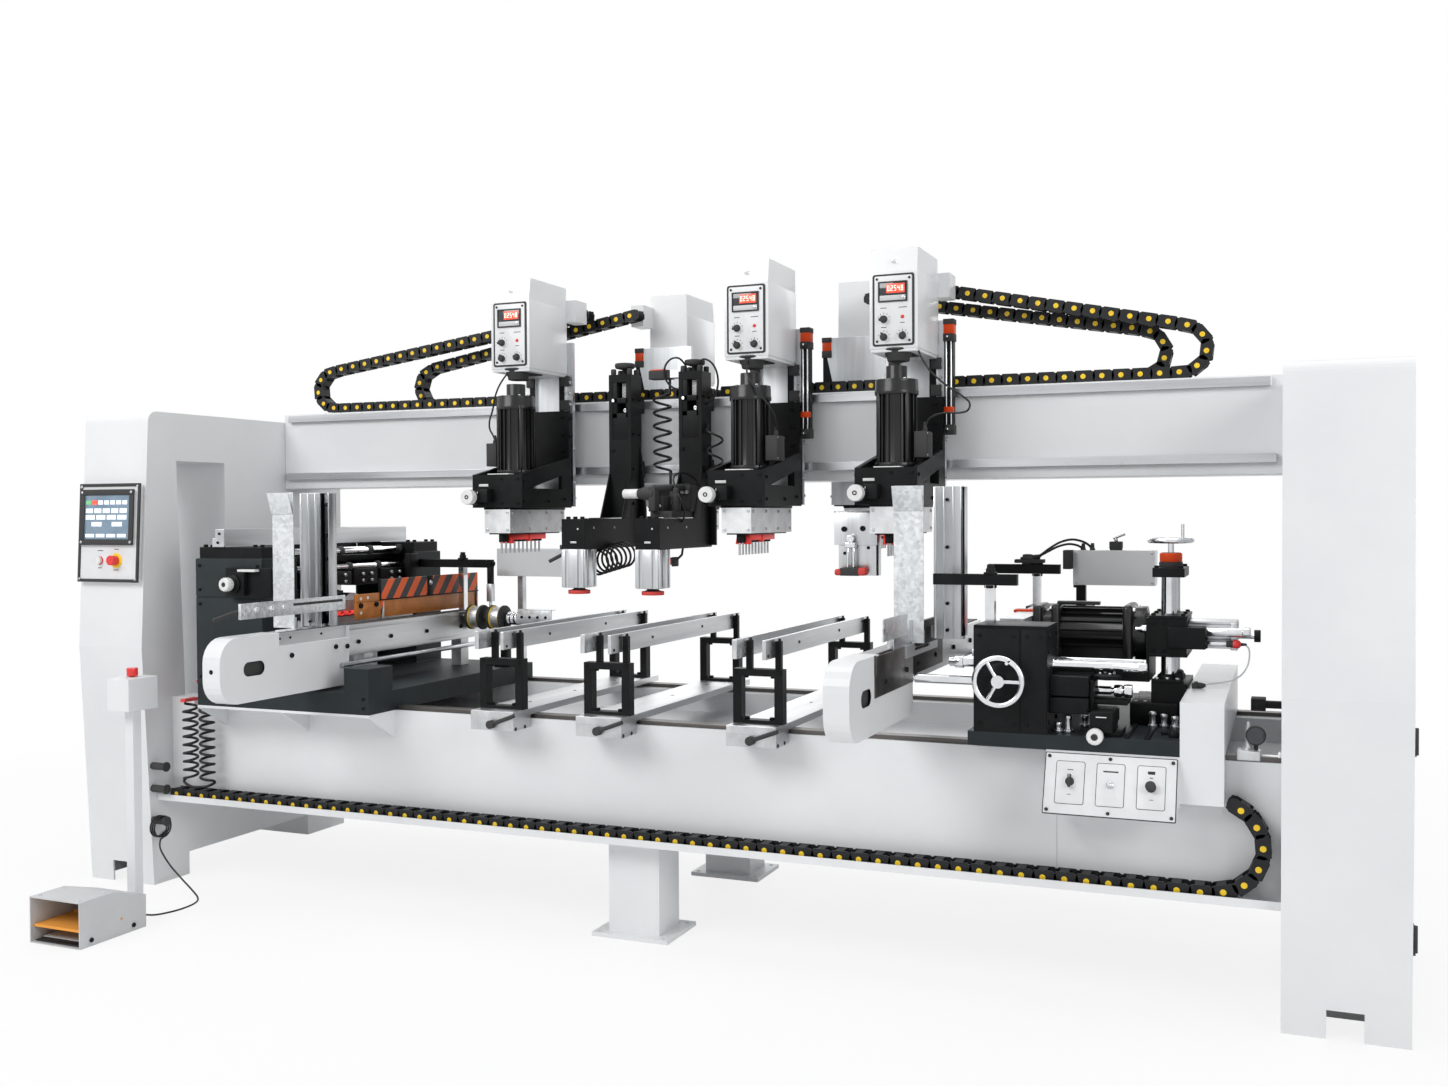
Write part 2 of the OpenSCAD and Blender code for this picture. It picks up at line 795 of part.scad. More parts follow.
// Push button with a head of diameter d and height h, standing off by its travel
module push_button(d, h) {
  bar_y([0, -button_travel - clear - h, 0], d, h);
  bar_y([0, -button_travel - clear, 0], button_stem_d, hmi_t - clear);
}

module start_button() color("white") place() on_face()
  translate([-button_x, -hmi_t, button_z]) push_button(start_d, estop_h / 3);

module panel_estop() color("red") place() on_face()
  translate([button_x, -hmi_t, button_z]) push_button(estop_d, estop_h);

// Front or rear head: local origin on the beam's face, local Y towards the beam
module at_head(x, rear = false)
  translate([x, rear ? beam_y + beam_d : beam_y, 0]) rotate([0, 0, rear ? 180 : 0]) children();

// Sheet metal control box with a sloping hood, open below
module control_box() {
  y1 = -plate_in - plate_t;
  y0 = y1 - box_d;
  difference() {
    along_x(-box_w / 2, box_w) polygon(box_outline(0, y0, y1, box_z));
    along_x(-box_w / 2 + box_t, box_w - 2 * box_t) polygon(box_outline(box_t, y0, y1, box_z - over));
  }
}
function box_outline(m, y0, y1, z) = [
  [y0 + m, z], [y0 + m, box_z + box_h - hood_h], [y0 + hood_back + m, box_z + box_h - m],
  [y1 - m, box_z + box_h - m], [y1 - m, z]];

// Carriage of a vertical head; arm is the side on which it holds its cable chain
module head_carriage(arm_x, arm_reach, cylinder = true) {
  block([-plate_w / 2, -guide_in, plate_z], [plate_w / 2, -plate_in, plate_top]);
  for (z = [rail_up_z, rail_low_z], sx = [-1, 1])
    block([sx * plate_w / 4 - plate_w / 6, -plate_in, z + rail_h / 2 - bearing_h / 2],
      [sx * plate_w / 4 + plate_w / 6, -rail_d, z + rail_h / 2 + bearing_h / 2]);
  for (sx = [-1, 1])
    block([sx * guide_span / 2 - guide_w / 2, -ram_in, plate_z],
      [sx * guide_span / 2 + guide_w / 2, -guide_in, box_z - clear]);
  control_box();
  if (cylinder) block([plate_w / 2, -plate_in - slide_cyl_w, plate_top - slide_cyl_l],
    [plate_w / 2 + slide_cyl_w, -plate_in, plate_top]);
  if (arm_reach > 0)
    block([arm_x - box_w / 6, -guide_in, chain_end_z - chain_h],
      [arm_x + box_w / 6, arm_reach, chain_end_z + chain_h]);
}

// Motor bracket: floor, front box and two triangular cheeks
module motor_bracket() {
  block([-plate_w / 2, -bracket_in, ram_z], [plate_w / 2, -ram_in, ram_z + ram_h]);
  block([-plate_w / 2, -bracket_out, ram_z], [plate_w / 2, -bracket_in, ram_z + bracket_t]);
  difference() {
    union() {
      block([-plate_w / 2, -bracket_out, ram_z], [plate_w / 2, -motor_in + motor_d / 2, bracket_top]);
      for (x = [-plate_w / 2, plate_w / 2 - bracket_t]) along_x(x, bracket_t)
        polygon([[-bracket_out, bracket_top], [-bracket_in, bracket_top + cheek_rise], [-bracket_in, ram_z],
          [-bracket_out, ram_z]]);
    }
    block([-plate_w / 2 + bracket_t, -bracket_out + bracket_t, ram_z + bracket_t],
      [plate_w / 2 - bracket_t, -motor_in + motor_d / 2 + over, bracket_top - bracket_t]);
    along_x(-plate_w / 2 - over, plate_w + 2 * over) polygon(cheek_window());
  }
}
// Three-cornered window through both cheeks
function cheek_window() = let (y0 = -bracket_out + cheek_rim, y1 = -bracket_in - cheek_rim,
  z0 = bracket_top - cheek_rim + bracket_t / 2)
  [[y0, z0], [y1, z0], [y1, bracket_top + cheek_rise * (bracket_d - cheek_rim) / bracket_d - cheek_rim]];

// Finned motor on the bracket
module head_motor() {
  body_h = motor_h - motor_cap_h;
  bar_up([0, -motor_in, bracket_top], motor_d * motor_core_share, body_h);
  for (i = [0:motor_fins - 1]) translate([0, -motor_in, bracket_top]) rotate(i * 360 / motor_fins)
    translate([motor_d / 4, -motor_fin_t / 2, 0]) cube([motor_d * motor_fin_share, motor_fin_t, body_h]);
  bar_up([0, -motor_in, bracket_top + body_h], motor_d, motor_cap_h);
  bar_up([0, -motor_in, bracket_top + motor_h], motor_d / 2, motor_cap_h);
}
motor_fins = 18;
motor_fin_t = 5;
motor_core_share = 0.84;
motor_fin_share = 0.235;

module head_ram(knob) {
  motor_bracket();
  head_motor();
  if (knob) difference() {
    block([knob_x - knob_block / 2, -bracket_out - knob_block, ram_z + bracket_t],
      [knob_x + knob_block / 2, -bracket_out, ram_z + bracket_t + knob_block]);
    bar_y([knob_x, -bracket_out - knob_block - over, knob_z], stem_d + 2 * fit, knob_block + over);
  }
}

// Chuck with bit; the bit points down
module drill_stub(y, gap) translate([0, y, 0]) {
  bar_up([0, 0, chuck_z + seat_gap - gap], chuck_d, chuck_h);
  bar_up([0, 0, chuck_z + seat_gap - gap - bit_l], bit_d, bit_l);
}

// Gearbox block with the row of drills, but for the first one when it turns by itself
module head_gearbox(free_first) {
  difference() {
    block([-gear_w / 2, -gear_in - gear_l, gear_z], [gear_w / 2, -gear_in, ram_z]);
    if (free_first) bar_up([0, -spindle_first, gear_z - over], shaft_d + 2 * fit, gear_h / 2 + over);
  }
  for (i = [free_first ? 1 : 0:spindles - 1]) drill_stub(-spindle_first + i * pitch, 0);
}

module head_spindle() {
  drill_stub(-spindle_first, seat_gap);
  bar_up([0, -spindle_first, chuck_z + chuck_h], shaft_d, gear_h / 2 - seat_gap);
}

module head_knob() {
  bar_y([knob_x, -bracket_out - knob_block - seat_gap - knob_l, knob_z], knob_d, knob_l);
  bar_y([knob_x, -bracket_out - knob_block - seat_gap, knob_z], stem_d, knob_block / 2);
}

module front_carriage(x, arm, reach, cylinder = true) color("white") place() at_head(x)
  head_carriage(arm, reach, cylinder);
module front_ram(x) color("black") place() at_head(x) head_ram(true);
module front_gearbox(x) color("silver") place() at_head(x) head_gearbox(true);
module front_spindle(x) color("red") place() at_head(x) head_spindle();
module front_knob(x) color("white") place() at_head(x) head_knob();
module rear_carriage(x, arm, reach) color("white") place() at_head(x, true) head_carriage(arm, reach);
module rear_ram(x) color("black") place() at_head(x, true) {
  head_ram(false);
  head_gearbox(false);
}

// Reaches from a head's beam face back to the chain that it holds
front_arm_reach = chain_front_y - beam_y - seat_gap;
rear_arm_reach = beam_y + beam_d - chain_rear_y - chain_w - seat_gap;
arm_off = box_w * 0.6;

// Clamp: column on the beam rails, arm and cylinder body
clamp_in = plate_in + clamp_d;
clamp_z = beam_z - clamp_below;
clamp_cyl_y = -(clamp_in + clamp_reach - cyl_w / 2);
cyl_z = clamp_z - cyl_h;
pad_z = cyl_z - rod_free - pad_t;
module clamp_body() {
  for (z = [rail_up_z, rail_low_z])
    block([-clamp_w / 2, -plate_in, z + rail_h / 2 - bearing_h / 2],
      [clamp_w / 2, -rail_d, z + rail_h / 2 + bearing_h / 2]);
  difference() {
    block([-clamp_w / 2, -clamp_in, clamp_z], [clamp_w / 2, -plate_in, clamp_z + clamp_h]);
    block([-clamp_w / 2 + bracket_t, -clamp_in - over, clamp_z + clamp_h * 0.62],
      [clamp_w / 2 - bracket_t, -plate_in - bracket_t, clamp_z + clamp_h - 2 * bracket_t]);
  }
  block([-clamp_w / 2, -clamp_in - clamp_reach, clamp_z], [clamp_w / 2, -clamp_in, clamp_z + clamp_arm_h]);
  difference() {
    block([-cyl_w / 2, clamp_cyl_y - cyl_w / 2, cyl_z], [cyl_w / 2, clamp_cyl_y + cyl_w / 2, clamp_z]);
    bar_up([0, clamp_cyl_y, cyl_z - over], rod_d + 2 * fit, cyl_h - over);
  }
  bar_up([0, -plate_in - clamp_d / 2, clamp_z + clamp_h], clamp_knob_d / 2, clamp_knob_h * 0.7);
  bar_up([0, -plate_in - clamp_d / 2, clamp_z + clamp_h + clamp_knob_h * 0.7], clamp_knob_d,
    clamp_knob_h * 0.3);
}

module clamp_pad() {
  bar_up([0, clamp_cyl_y, pad_z], pad_d, pad_t);
  bar_up([0, clamp_cyl_y, pad_z + pad_t], rod_d, rod_free + rod_in);
}

// Valve blocks beside clamp 2, between which its spiral hose hangs
valve_top_z = clamp_z + clamp_h * 0.97;
valve_low_z = clamp_z + clamp_h * 0.34;
valve_y = -plate_in - clamp_d * 0.55;
module clamp2_valves() {
  block([-clamp_w / 2 - valve_off - valve_w, valve_y - valve_w / 4, valve_top_z],
    [-clamp_w / 2, valve_y + valve_w / 4, valve_top_z + valve_w / 3]);
  block([-clamp_w / 2 - valve_off - valve_w, valve_y - valve_w / 3, valve_low_z - valve_w],
    [-clamp_w / 2, valve_y + valve_w / 3, valve_low_z]);
}

module clamp1_column() color("black") place() at_head(clamp1_x) clamp_body();
module clamp1_pad() color("red") place() at_head(clamp1_x) clamp_pad();
module clamp2_column() color("black") place() at_head(clamp2_x) {
  clamp_body();
  clamp2_valves();
}
module clamp2_pad() color("red") place() at_head(clamp2_x) clamp_pad();

// Tube of 6 sides swept along points, with closed ends
function unit(v) = v / norm(v);
function tube_dir(p, i) = unit(p[min(i + 1, len(p) - 1)] - p[max(i - 1, 0)]);
function tube_ring(p, i, r, sides) =
  let (t = tube_dir(p, i), ref = abs(t[2]) > 0.9 ? [1, 0, 0] : [0, 0, 1], u = unit(cross(ref, t)),
    v = cross(t, u))
  [for (k = [0:sides - 1]) p[i] + r * (u * cos(360 * k / sides) + v * sin(360 * k / sides))];
module tube(p, d, sides) {
  rings = [for (i = [0:len(p) - 1]) each tube_ring(p, i, d / 2, sides)];
  last = (len(p) - 1) * sides;
  polyhedron(rings, concat(
    [for (i = [0:len(p) - 2], k = [0:sides - 1]) each let (a = i * sides + k,
      b = i * sides + (k + 1) % sides)
      [[a, b, b + sides], [a, b + sides, a + sides]]],
    [for (k = [1:sides - 2]) [0, k + 1, k]],
    [for (k = [1:sides - 2]) [last, last + k, last + k + 1]]));
}

// Least distance of a tube from itself, measured between points that are at least skip rings apart
function path_gap(p, d, skip) = min([for (i = [0:len(p) - 1 - skip], j = [i + skip:len(p) - 1]) norm(p[i] - p[j])]) - d;

// Points of an upright helix that starts at angle a and climbs by up, n rings a curl
function helix(c, r, turn_pitch, turns, a, n, up) = [for (i = [0:turns * n])
  c + [r * cos(a + i * 360 / n), r * sin(a + i * 360 / n), up * turn_pitch * i / n]];

// Air hose: two hanging spirals joined at the bottom
hose_x1 = left_x - curl_d * 0.75;
hose_x2 = hose_x1 - curl_d * 1.4;
hose_y = bed_y - curl_d;
hose_top = bed_top - hose_d * 2;
hose_r = (curl_d - hose_d) / 2;
hose_low = hose_top - curls * curl_pitch;
function air_hose_path() = concat(
  [[hose_x1 + hose_r, hose_y, hose_top + hose_d]],
  helix([hose_x1, hose_y, hose_top], hose_r, curl_pitch, curls, 0, 8, -1),
  [[hose_x1, hose_y - hose_r / 2, hose_low - hose_d * 2],
    [hose_x2, hose_y - hose_r / 2, hose_low - hose_d * 2]],
  [for (p = helix([hose_x2, hose_y, hose_low], hose_r, curl_pitch, curls, 180, 8, 1)) p],
  [[hose_x2 - hose_r, hose_y, hose_top + hose_d]]);
module air_hose() color("black") place() tube(air_hose_path(), hose_d, 6);
echo(air_hose_gap = path_gap(air_hose_path(), hose_d, 5));

// Spiral hose between the valve blocks of clamp 2
clamp_hose_r = valve_w / 2 - hose_d * 1.5;
clamp_hose_h = valve_top_z - valve_low_z;
clamp_hose_tail = (clamp_hose_h - clamp_curls * clamp_curl_pitch) / 2;
clamp_hose_c = [-clamp_w / 2 - valve_off - valve_w / 2, valve_y, valve_low_z];
clamp_hose_in = clamp_hose_c + [clamp_hose_r, 0, 0];
function clamp_hose_path() = concat([clamp_hose_in],
  helix(clamp_hose_c + [0, 0, clamp_hose_tail], clamp_hose_r, clamp_curl_pitch, clamp_curls, 0, 8, 1),
  [clamp_hose_in + [0, 0, clamp_hose_h]]);
module clamp_hose() color("black") place() at_head(clamp2_x) tube(clamp_hose_path(), hose_d, 6);
echo(clamp_hose_gap = path_gap(clamp_hose_path(), hose_d, 5));

// Blow gun on its hook at the bed's front
gun_x = hose_x1 + hose_r;
gun_w = 26;
gun_h = 120;
nozzle_d = 12;
module blow_gun() color("red") place() {
  block([gun_x - gun_w / 2, hose_y - gun_w / 2, hose_top + hose_d],
    [gun_x + gun_w / 2, hose_y + gun_w / 2, hose_top + hose_d + gun_h]);
  block([gun_x - gun_w / 2, hose_y + gun_w / 2, bed_top + gun_w],
    [gun_x + gun_w / 2, bed_y, bed_top + 2 * gun_w]);
  block([gun_x - gun_w / 2, bed_y - bed_t / 2, bed_top - 2 * gun_w],
    [gun_x + gun_w / 2, bed_y, bed_top + 2 * gun_w]);
  bar_y([gun_x, hose_y - gun_w * 3, hose_top + gun_h - gun_w / 2], nozzle_d, gun_w * 3);
  block([hose_x2 - hose_r - gun_w / 2, hose_y - gun_w / 2, hose_top + hose_d],
    [hose_x2 - hose_r + gun_w / 2, bed_y, hose_top + hose_d + gun_w / 2]);
}

// Pegs on the left portal's inner side
peg_zs = bed_z * [0.76, 1.13, 1.39];
module hose_pegs() color("black") place() for (z = peg_zs) {
  bar_x([-col_x, 0, z], peg_d, peg_l);
  bar_x([-col_x + peg_l, 0, z], peg_d * 4 / 3, peg_d / 5);
}

// Cable of the foot switch: a small coil on the lowest peg and a free run to the switch
cable_d = hose_d * 7 / 8;
coil_r = peg_d * 1.4;
coil_pitch = cable_d * 1.5;
coil_turns = 3;
coil_z = peg_zs[0] + peg_d / 2 + cable_d / 2 + clear - coil_r;
coil_x = -col_x + peg_l / 4;
module pedal_coil() color("black") place()
  tube(coil_path(), cable_d, 6);
function coil_path() = concat([for (i = [0:coil_turns * 24 + 12]) coil_point(i)], [coil_end]);
function coil_point(i) = [coil_x + coil_pitch * i / 24, coil_r * sin(i * 15),
  coil_z + coil_r * cos(i * 15)];
coil_end = coil_point(coil_turns * 24 + 12) - [0, cable_d, 0];
echo(pedal_coil_gap = path_gap(coil_path(), cable_d, 16));

// Route of the free run, in from the left column's side, from under the coil to the back of the foot switch
cable_points = [[58, -20, 200], [76, -40, 165], [126, -45, 110], [191, -50, 62], [256, -60, 24],
  [316, -90, 6], [356, -140, 4], [371, -210, 4], [361, -280, 4], [331, -340, 6], [296, -385, 24],
  [278, -415, 46], [276, -430, 50]];
cable_route = [for (p = cable_points) p - [col_x, 0, 0]];
cable_end = [cable_route[len(cable_route) - 1][0], pedal_y + pedal_d + seat_gap, 50];
cable_start = coil_end - [0, seat_gap, 0];
function catmull(a, b, c, d,
  t) = ((2 * b) + (c - a) * t + (2 * a - 5 * b + 4 * c - d) * t * t + (3 * b - a - 3 * c + d) * t * t * t) / 2;
function smooth(p, n) = let (m = len(p) - 1) concat([for (i = [0:m - 1], k = [0:n - 1])
  catmull(p[max(i - 1, 0)], p[i], p[i + 1], p[min(i + 2, m)], k / n)], [p[m]]);
module pedal_cable() color("black") place()
  tube(smooth(concat([cable_start], cable_route, [cable_end]), 4), cable_d, 8);

// Strip of height h along a path in the X-Z plane
function path_dir(p, i) = unit(p[min(i + 1, len(p) - 1)] - p[max(i - 1, 0)]);
function path_side(p, h) = [for (i = [0:len(p) - 1]) p[i] + h * [-path_dir(p, i)[1], path_dir(p, i)[0]]];
function reversed(p) = [for (i = [len(p) - 1:-1:0]) p[i]];
module strip(p, h, y, w) along_y(y, w) polygon(concat(path_side(p, h / 2), reversed(path_side(p, -h / 2))));

// Path of a beam chain: on the beam from x0 to the bend at xb, back up to the end; s is the bend's side
function tangent_angle(c, e, r, s) = let (d = e - c) atan2(d[1], s * d[0]) - acos(r / norm(d));
function chain_path(x0, xb, e, s) =
  let (c = [xb, chain_z + beam_chain_r], turn = 90 + tangent_angle(c, e, beam_chain_r, s))
  concat([[x0, chain_z]],
    [for (i = [0:12]) let (a = -90 + i * turn / 12) c + beam_chain_r * [s * cos(a), sin(a)]],
    [e]);
module beam_chains() color("black") place() {
  strip(chain_path(clamp2_x, head1_x - chain_run1, [head1_x + arm_off + box_w / 6, chain_end_z], -1),
    chain_h, chain_front_y, chain_w);
  strip(chain_path(clamp2_x, rear1_x - chain_run2, [rear1_x - arm_off + box_w / 6, chain_end_z], -1),
    chain_h, chain_rear_y, chain_w);
  strip(chain_path(clamp2_x + chain_w, head3_x + chain_run3, [head3_x + arm_off - box_w / 6,
    chain_end_z], 1), chain_h, chain_front_y, chain_w);
  strip(chain_path(clamp2_x + chain_w, rear2_x + chain_run4, [rear2_x + arm_off - box_w / 6,
    chain_end_z], 1), chain_h, chain_rear_y, chain_w);
}
bed_chain_turn = 72;
chain_run1 = machine_l * 0.24;
chain_run2 = machine_l * 0.22;
chain_run3 = machine_l * 0.19;
chain_run4 = machine_l * 0.225;

// Chain in the bed's tray, up to the right carriage's cover
module bed_chain() color("black") place() {
  c = [bed_chain_x, bed_chain_z + bed_chain_r];
  strip(concat([[-col_x + chain_w, bed_chain_z]], arc(c, bed_chain_r, -90, bed_chain_turn, 14)), chain_h,
    bed_chain_y, chain_w);
}

// Left unit: base across the bed and two tall housings, sheet steel
module left_housing() color("dimgray") place() {
  y0 = -left_front;
  difference() {
    block([left_x, y0, bed_top], [left_end, y0 + left_d, left_top]);
    block([left_x + bed_t, y0 + bed_t, bed_top - over],
      [left_end - bed_t, y0 + left_d - bed_t, left_top - bed_t]);
  }
  left_tower(y0, 1);
  left_tower(y0 + left_d, -1);
  z0 = left_top + left_tower_h;
  for (y = [y0 + bed_t, y0 + left_d - left_tower_d]) block([left_x + bed_t, y, z0],
    [left_x + left_tower_w - bed_t, y + left_tower_d - bed_t, z0 + left_cap_h]);
  left_long_bar(y0, z0 + left_cap_h);
  block([left_end - left_box_w, y0, left_top], [left_end, y0 + left_tower_d * 0.75, left_top + left_box_h]);
  rear_sensor();
}
// Stepped bar that joins the tops of both left housings
module left_long_bar(y0, z0) {
  x = left_x + left_tower_w / 4;
  block([x, y0, z0], [x + left_bar_w, y0 + left_d, z0 + left_bar_h / 2]);
  block([x + left_bar_w / 4, y0, z0 + left_bar_h / 2], [x + left_bar_w, y0 + left_d, z0 + left_bar_h]);
}
module left_tower(y, dir) difference() {
  ya = dir > 0 ? y : y - left_tower_d;
  block([left_x, ya, left_top], [left_x + left_tower_w, ya + left_tower_d, left_top + left_tower_h]);
  translate([0, dir * bed_t, 0]) block([left_x + bed_t, ya, left_top + bed_t],
    [left_x + left_tower_w - bed_t, ya + left_tower_d, left_top + left_tower_h - bed_t]);
}
// White box on a post behind the left conveyor
module rear_sensor() {
  x = left_end - post_w;
  y = -left_front + left_d - post_w;
  block([x - post_w, y, left_top], [x, y + post_w, work_z + conv_h * 1.2]);
  block([x - conv_h, y - post_w, work_z + conv_h * 1.2],
    [x + conv_h * 3, y + post_w, work_z + conv_h * 2.25]);
}

// Horizontal drilling unit: gearbox, row of drills towards dir, motor behind; origin on the drills' line
module hdrill(gx, gy, my, dir) {
  n = 12;
  mx = dir > 0 ? gx - hmotor_l : gx + hgear_w;
  block([gx, gy, drill_z - hgear_h / 2], [gx + hgear_w, gy + hgear_l, drill_z + hgear_h / 2]);
  for (i = [0:n - 1]) {
    y = gy + hgear_l / 2 + (i - (n - 1) / 2) * 1.5 * pitch;
    bar_x([dir > 0 ? gx + hgear_w : gx - chuck_h, y, drill_z], chuck_d, chuck_h);
    bar_x([dir > 0 ? gx + hgear_w + chuck_h : gx - chuck_h - bit_l, y, drill_z], bit_d, bit_l);
  }
  bar_x([mx, my, drill_z], hmotor_d * motor_core_share, hmotor_l);
  bar_x([dir > 0 ? mx : mx + hmotor_l * 4 / 5, my, drill_z], hmotor_d, hmotor_l / 5);
  for (i = [0:motor_fins - 1]) translate([mx + hmotor_l / 5, my, drill_z]) rotate([i * 360 / motor_fins, 0, 0])
    translate([0, -motor_fin_t / 2, hmotor_d / 4]) cube([hmotor_l * 3 / 5, motor_fin_t, hmotor_d * motor_fin_share]);
}

left_gear_x = left_x + left_gear_in;
left_motor_y = -left_front + left_d / 2;
module left_drill() color("silver") place() {
  hdrill(left_gear_x, left_motor_y - hgear_l / 2, left_motor_y, 1);
  block([left_x + bed_t, left_motor_y - hmotor_d / 3, left_top],
    [left_gear_x + hgear_w, left_motor_y + hmotor_d / 3, drill_z]);
}

// Conveyor along Y: profile, belt, round end covers and a roller at each end
module conveyor(x, back) {
  x0 = x - conv_w / 2;
  y0 = -conv_front;
  y1 = back + conv_back;
  yc = bed_y + slot_bar_t;
  block([x0, yc, belt_z - belt_t - conv_h], [x0 + conv_w, y1, belt_z - belt_t]);
  block([x0 + conv_w / 6, yc, belt_z - belt_t], [x0 + conv_w * 5 / 6, y1, belt_z]);
  difference() {
    along_x(x0, conv_w) polygon(end_cover_outline(0, y0, yc));
    along_x(x0 + end_cover_t, conv_w - 2 * end_cover_t) polygon(end_cover_outline(end_cover_t, y0, yc));
    hull() for (s = [-1, 1]) bar_x([x0 - over, y0 + end_cover_r * (2 + s / 3), belt_z - end_cover_h / 2],
      end_cover_r * 0.6, conv_w + 2 * over);
  }
  block([x0 + conv_w / 6, cover_step_y(y0, yc), belt_z - end_cover_step], [x0 + conv_w * 5 / 6, yc, belt_z]);
}
// Place of the step in the end cover's top
function cover_step_y(y0, y1) = y0 + (y1 - y0) * cover_step_share;
cover_step_share = 0.43;
function end_cover_outline(m, y0, y1) = let (z0 = belt_z - end_cover_h, r = end_cover_r)
  concat([[y1 - m, z0 + m]], arc([y0 + r, z0 + r], r - m, -90, -180, 6), arc([y0 + r, belt_z - r], r - m,
    180, 90, 6), [[cover_step_y(y0, y1) - m, belt_z - m], [cover_step_y(y0, y1) - m, belt_z - end_cover_step - m],
      [y1 - m, belt_z - end_cover_step - m]]);

// Two uprights on a slotted bar beside a conveyor; face is the X of the conveyor's side, dir points away
module uprights(face, dir, ya, yb, xa, xb) {
  za = belt_z - belt_t - conv_h / 2;
  bar_lo = dir > 0 ? face : face - slot_bar_t;
  difference() {
    block([bar_lo, min(ya, yb) - sheet_w, belt_z - slot_bar_h],
      [bar_lo + slot_bar_t, max(ya, yb) + sheet_w + slot_bar_t, belt_z]);
    block([bar_lo - over, min(ya, yb), belt_z - slot_bar_h * 0.62],
      [bar_lo + slot_bar_t + over, max(ya, yb), belt_z - slot_bar_h * 0.38]);
  }
  block([xa, ya - sheet_t, belt_z], [xa + sheet_w, ya, belt_z + upright_h]);
  block([xb, yb - profile_t, belt_z], [xb + sheet_w, yb, belt_z + upright_h]);
  block([min(xa, bar_lo), ya, belt_z],
    [max(xa + sheet_w, bar_lo + slot_bar_t), ya + slot_bar_t, belt_z + slot_bar_h]);
  block([min(xb, bar_lo), yb, belt_z],
    [max(xb + sheet_w, bar_lo + slot_bar_t), yb + slot_bar_t, belt_z + slot_bar_h]);
}

module left_conveyor() color("whitesmoke") place() {
  face = conv_left_x - conv_w / 2;
  conveyor(conv_left_x, left_d - left_front);
  for (y = [bed_y + conv_h, bed_back - 2 * conv_h]) block([conv_left_x - conv_w / 3, y, left_top],
    [conv_left_x + conv_w / 3, y + conv_h / 2, belt_z - belt_t - conv_h]);
  uprights(face, -1, -sheet_w, sheet_w / 5, face - sheet_w, face - sheet_w / 2);
  for (y = [rear_col_y, bed_back - profile_t]) block([face - sheet_t * 2, y, belt_z - conv_h],
    [face, y + profile_t, work_z + conv_h * 1.3]);
  block([face - sheet_t * 2, rear_col_y, work_z + conv_h * 0.6], [face, bed_back, work_z + conv_h * 1.3]);
  hold_down(conv_left_x - conv_w * 3, conv_left_x + conv_w * 2, conv_left_x, bed_back - conv_h * 1.5,
    belt_z);
}

// Hold-down bar from xa to xb on a post at xp, standing on height z
module hold_down(xa, xb, xp, y, z) {
  block([xp - post_w / 2, y - post_w / 2, z], [xp + post_w / 2, y + post_w / 2, work_z + conv_h * 1.55]);
  block([xa, y - post_w / 2, work_z + conv_h * 1.55], [xb, y + post_w / 2, work_z + conv_h * 1.85]);
}

module right_conveyor() color("whitesmoke") place() {
  face = conv_right_x + conv_w / 2;
  conveyor(conv_right_x, right_y + right_d);
  for (y = [right_y + right_tower_d * 0.6, right_y + right_d - right_tower_d * 0.6]) bar_x([face, y,
    belt_z - conv_h], lift_post_d * 0.6, tower_x - face);
  uprights(face, 1, bed_y, bed_y + 2 * sheet_w, face - sheet_w * 0.6, face + sheet_w * 0.3);
}

// Right carriage: base plate on the bed rails, two housings, lift posts with foot and cap
module right_base() color("silver") place() {
  block([right_x, right_y, table_z], [right_end, right_y + right_d, right_top]);
  difference() {
    right_tower(right_y, 1);
    bar_y([wheel_x, right_y - over, wheel_z], wheel_shaft_d + 2 * fit, right_tower_d / 2);
  }
  right_tower(right_y + right_d, -1);
  block([lift_x - lift_block_w, lift_cy - lift_post_span, right_top],
    [right_end, lift_cy + lift_post_span, right_top + right_t * 1.5]);
  block([lift_x - lift_post_d, lift_cy - lift_post_span, right_top],
    [lift_x + lift_post_d, lift_cy + lift_post_span, right_top + right_t * 3]);
  for (s = [-1, 1]) bar_up([lift_x, lift_cy + s * lift_post_span / 2, right_top], lift_post_d, lift_post_h);
  difference() {
    union() {
      block([lift_x - lift_post_d, lift_cy - lift_post_span * 0.75, post_top - saddle_t],
        [lift_x + lift_post_d, lift_cy + lift_post_span * 0.75, post_top]);
      bar_up([lift_x, lift_cy, post_top - over], collar_d, collar_h + over);
    }
    bar_up([lift_x, lift_cy, post_top - saddle_t - over], wheel_shaft_d + 2 * fit, saddle_t + collar_h + 2 * over);
  }
  for (y = [right_y + right_tower_d * 0.6, right_y + right_d - right_tower_d * 0.6])
    hold_down(tower_x - conv_w * 2, tower_x + conv_w * 1.5, tower_x + post_w, y, tower_top);
  block([tower_x + right_tower_w * 0.75, right_y + right_d - right_tower_d / 2, tower_top],
    [tower_x + right_tower_w * 0.9, right_y + right_d - right_tower_d / 3, work_z + conv_h * 1.2]);
  block([tower_x + right_tower_w * 0.7, right_y + right_d - right_tower_d / 2, work_z + conv_h * 1.2],
    [tower_x + right_tower_w * 2, right_y + right_d, work_z + conv_h * 2.3]);
}
module right_tower(y, dir) difference() {
  ya = dir > 0 ? y : y - right_tower_d;
  block([tower_x, ya, right_top], [tower_x + right_tower_w, ya + right_tower_d, tower_top]);
  translate([0, dir * wheel_shaft_d, 0]) block([tower_x + bed_t, ya, right_top + bed_t],
    [tower_x + right_tower_w - bed_t, ya + right_tower_d, tower_top - bed_t]);
}

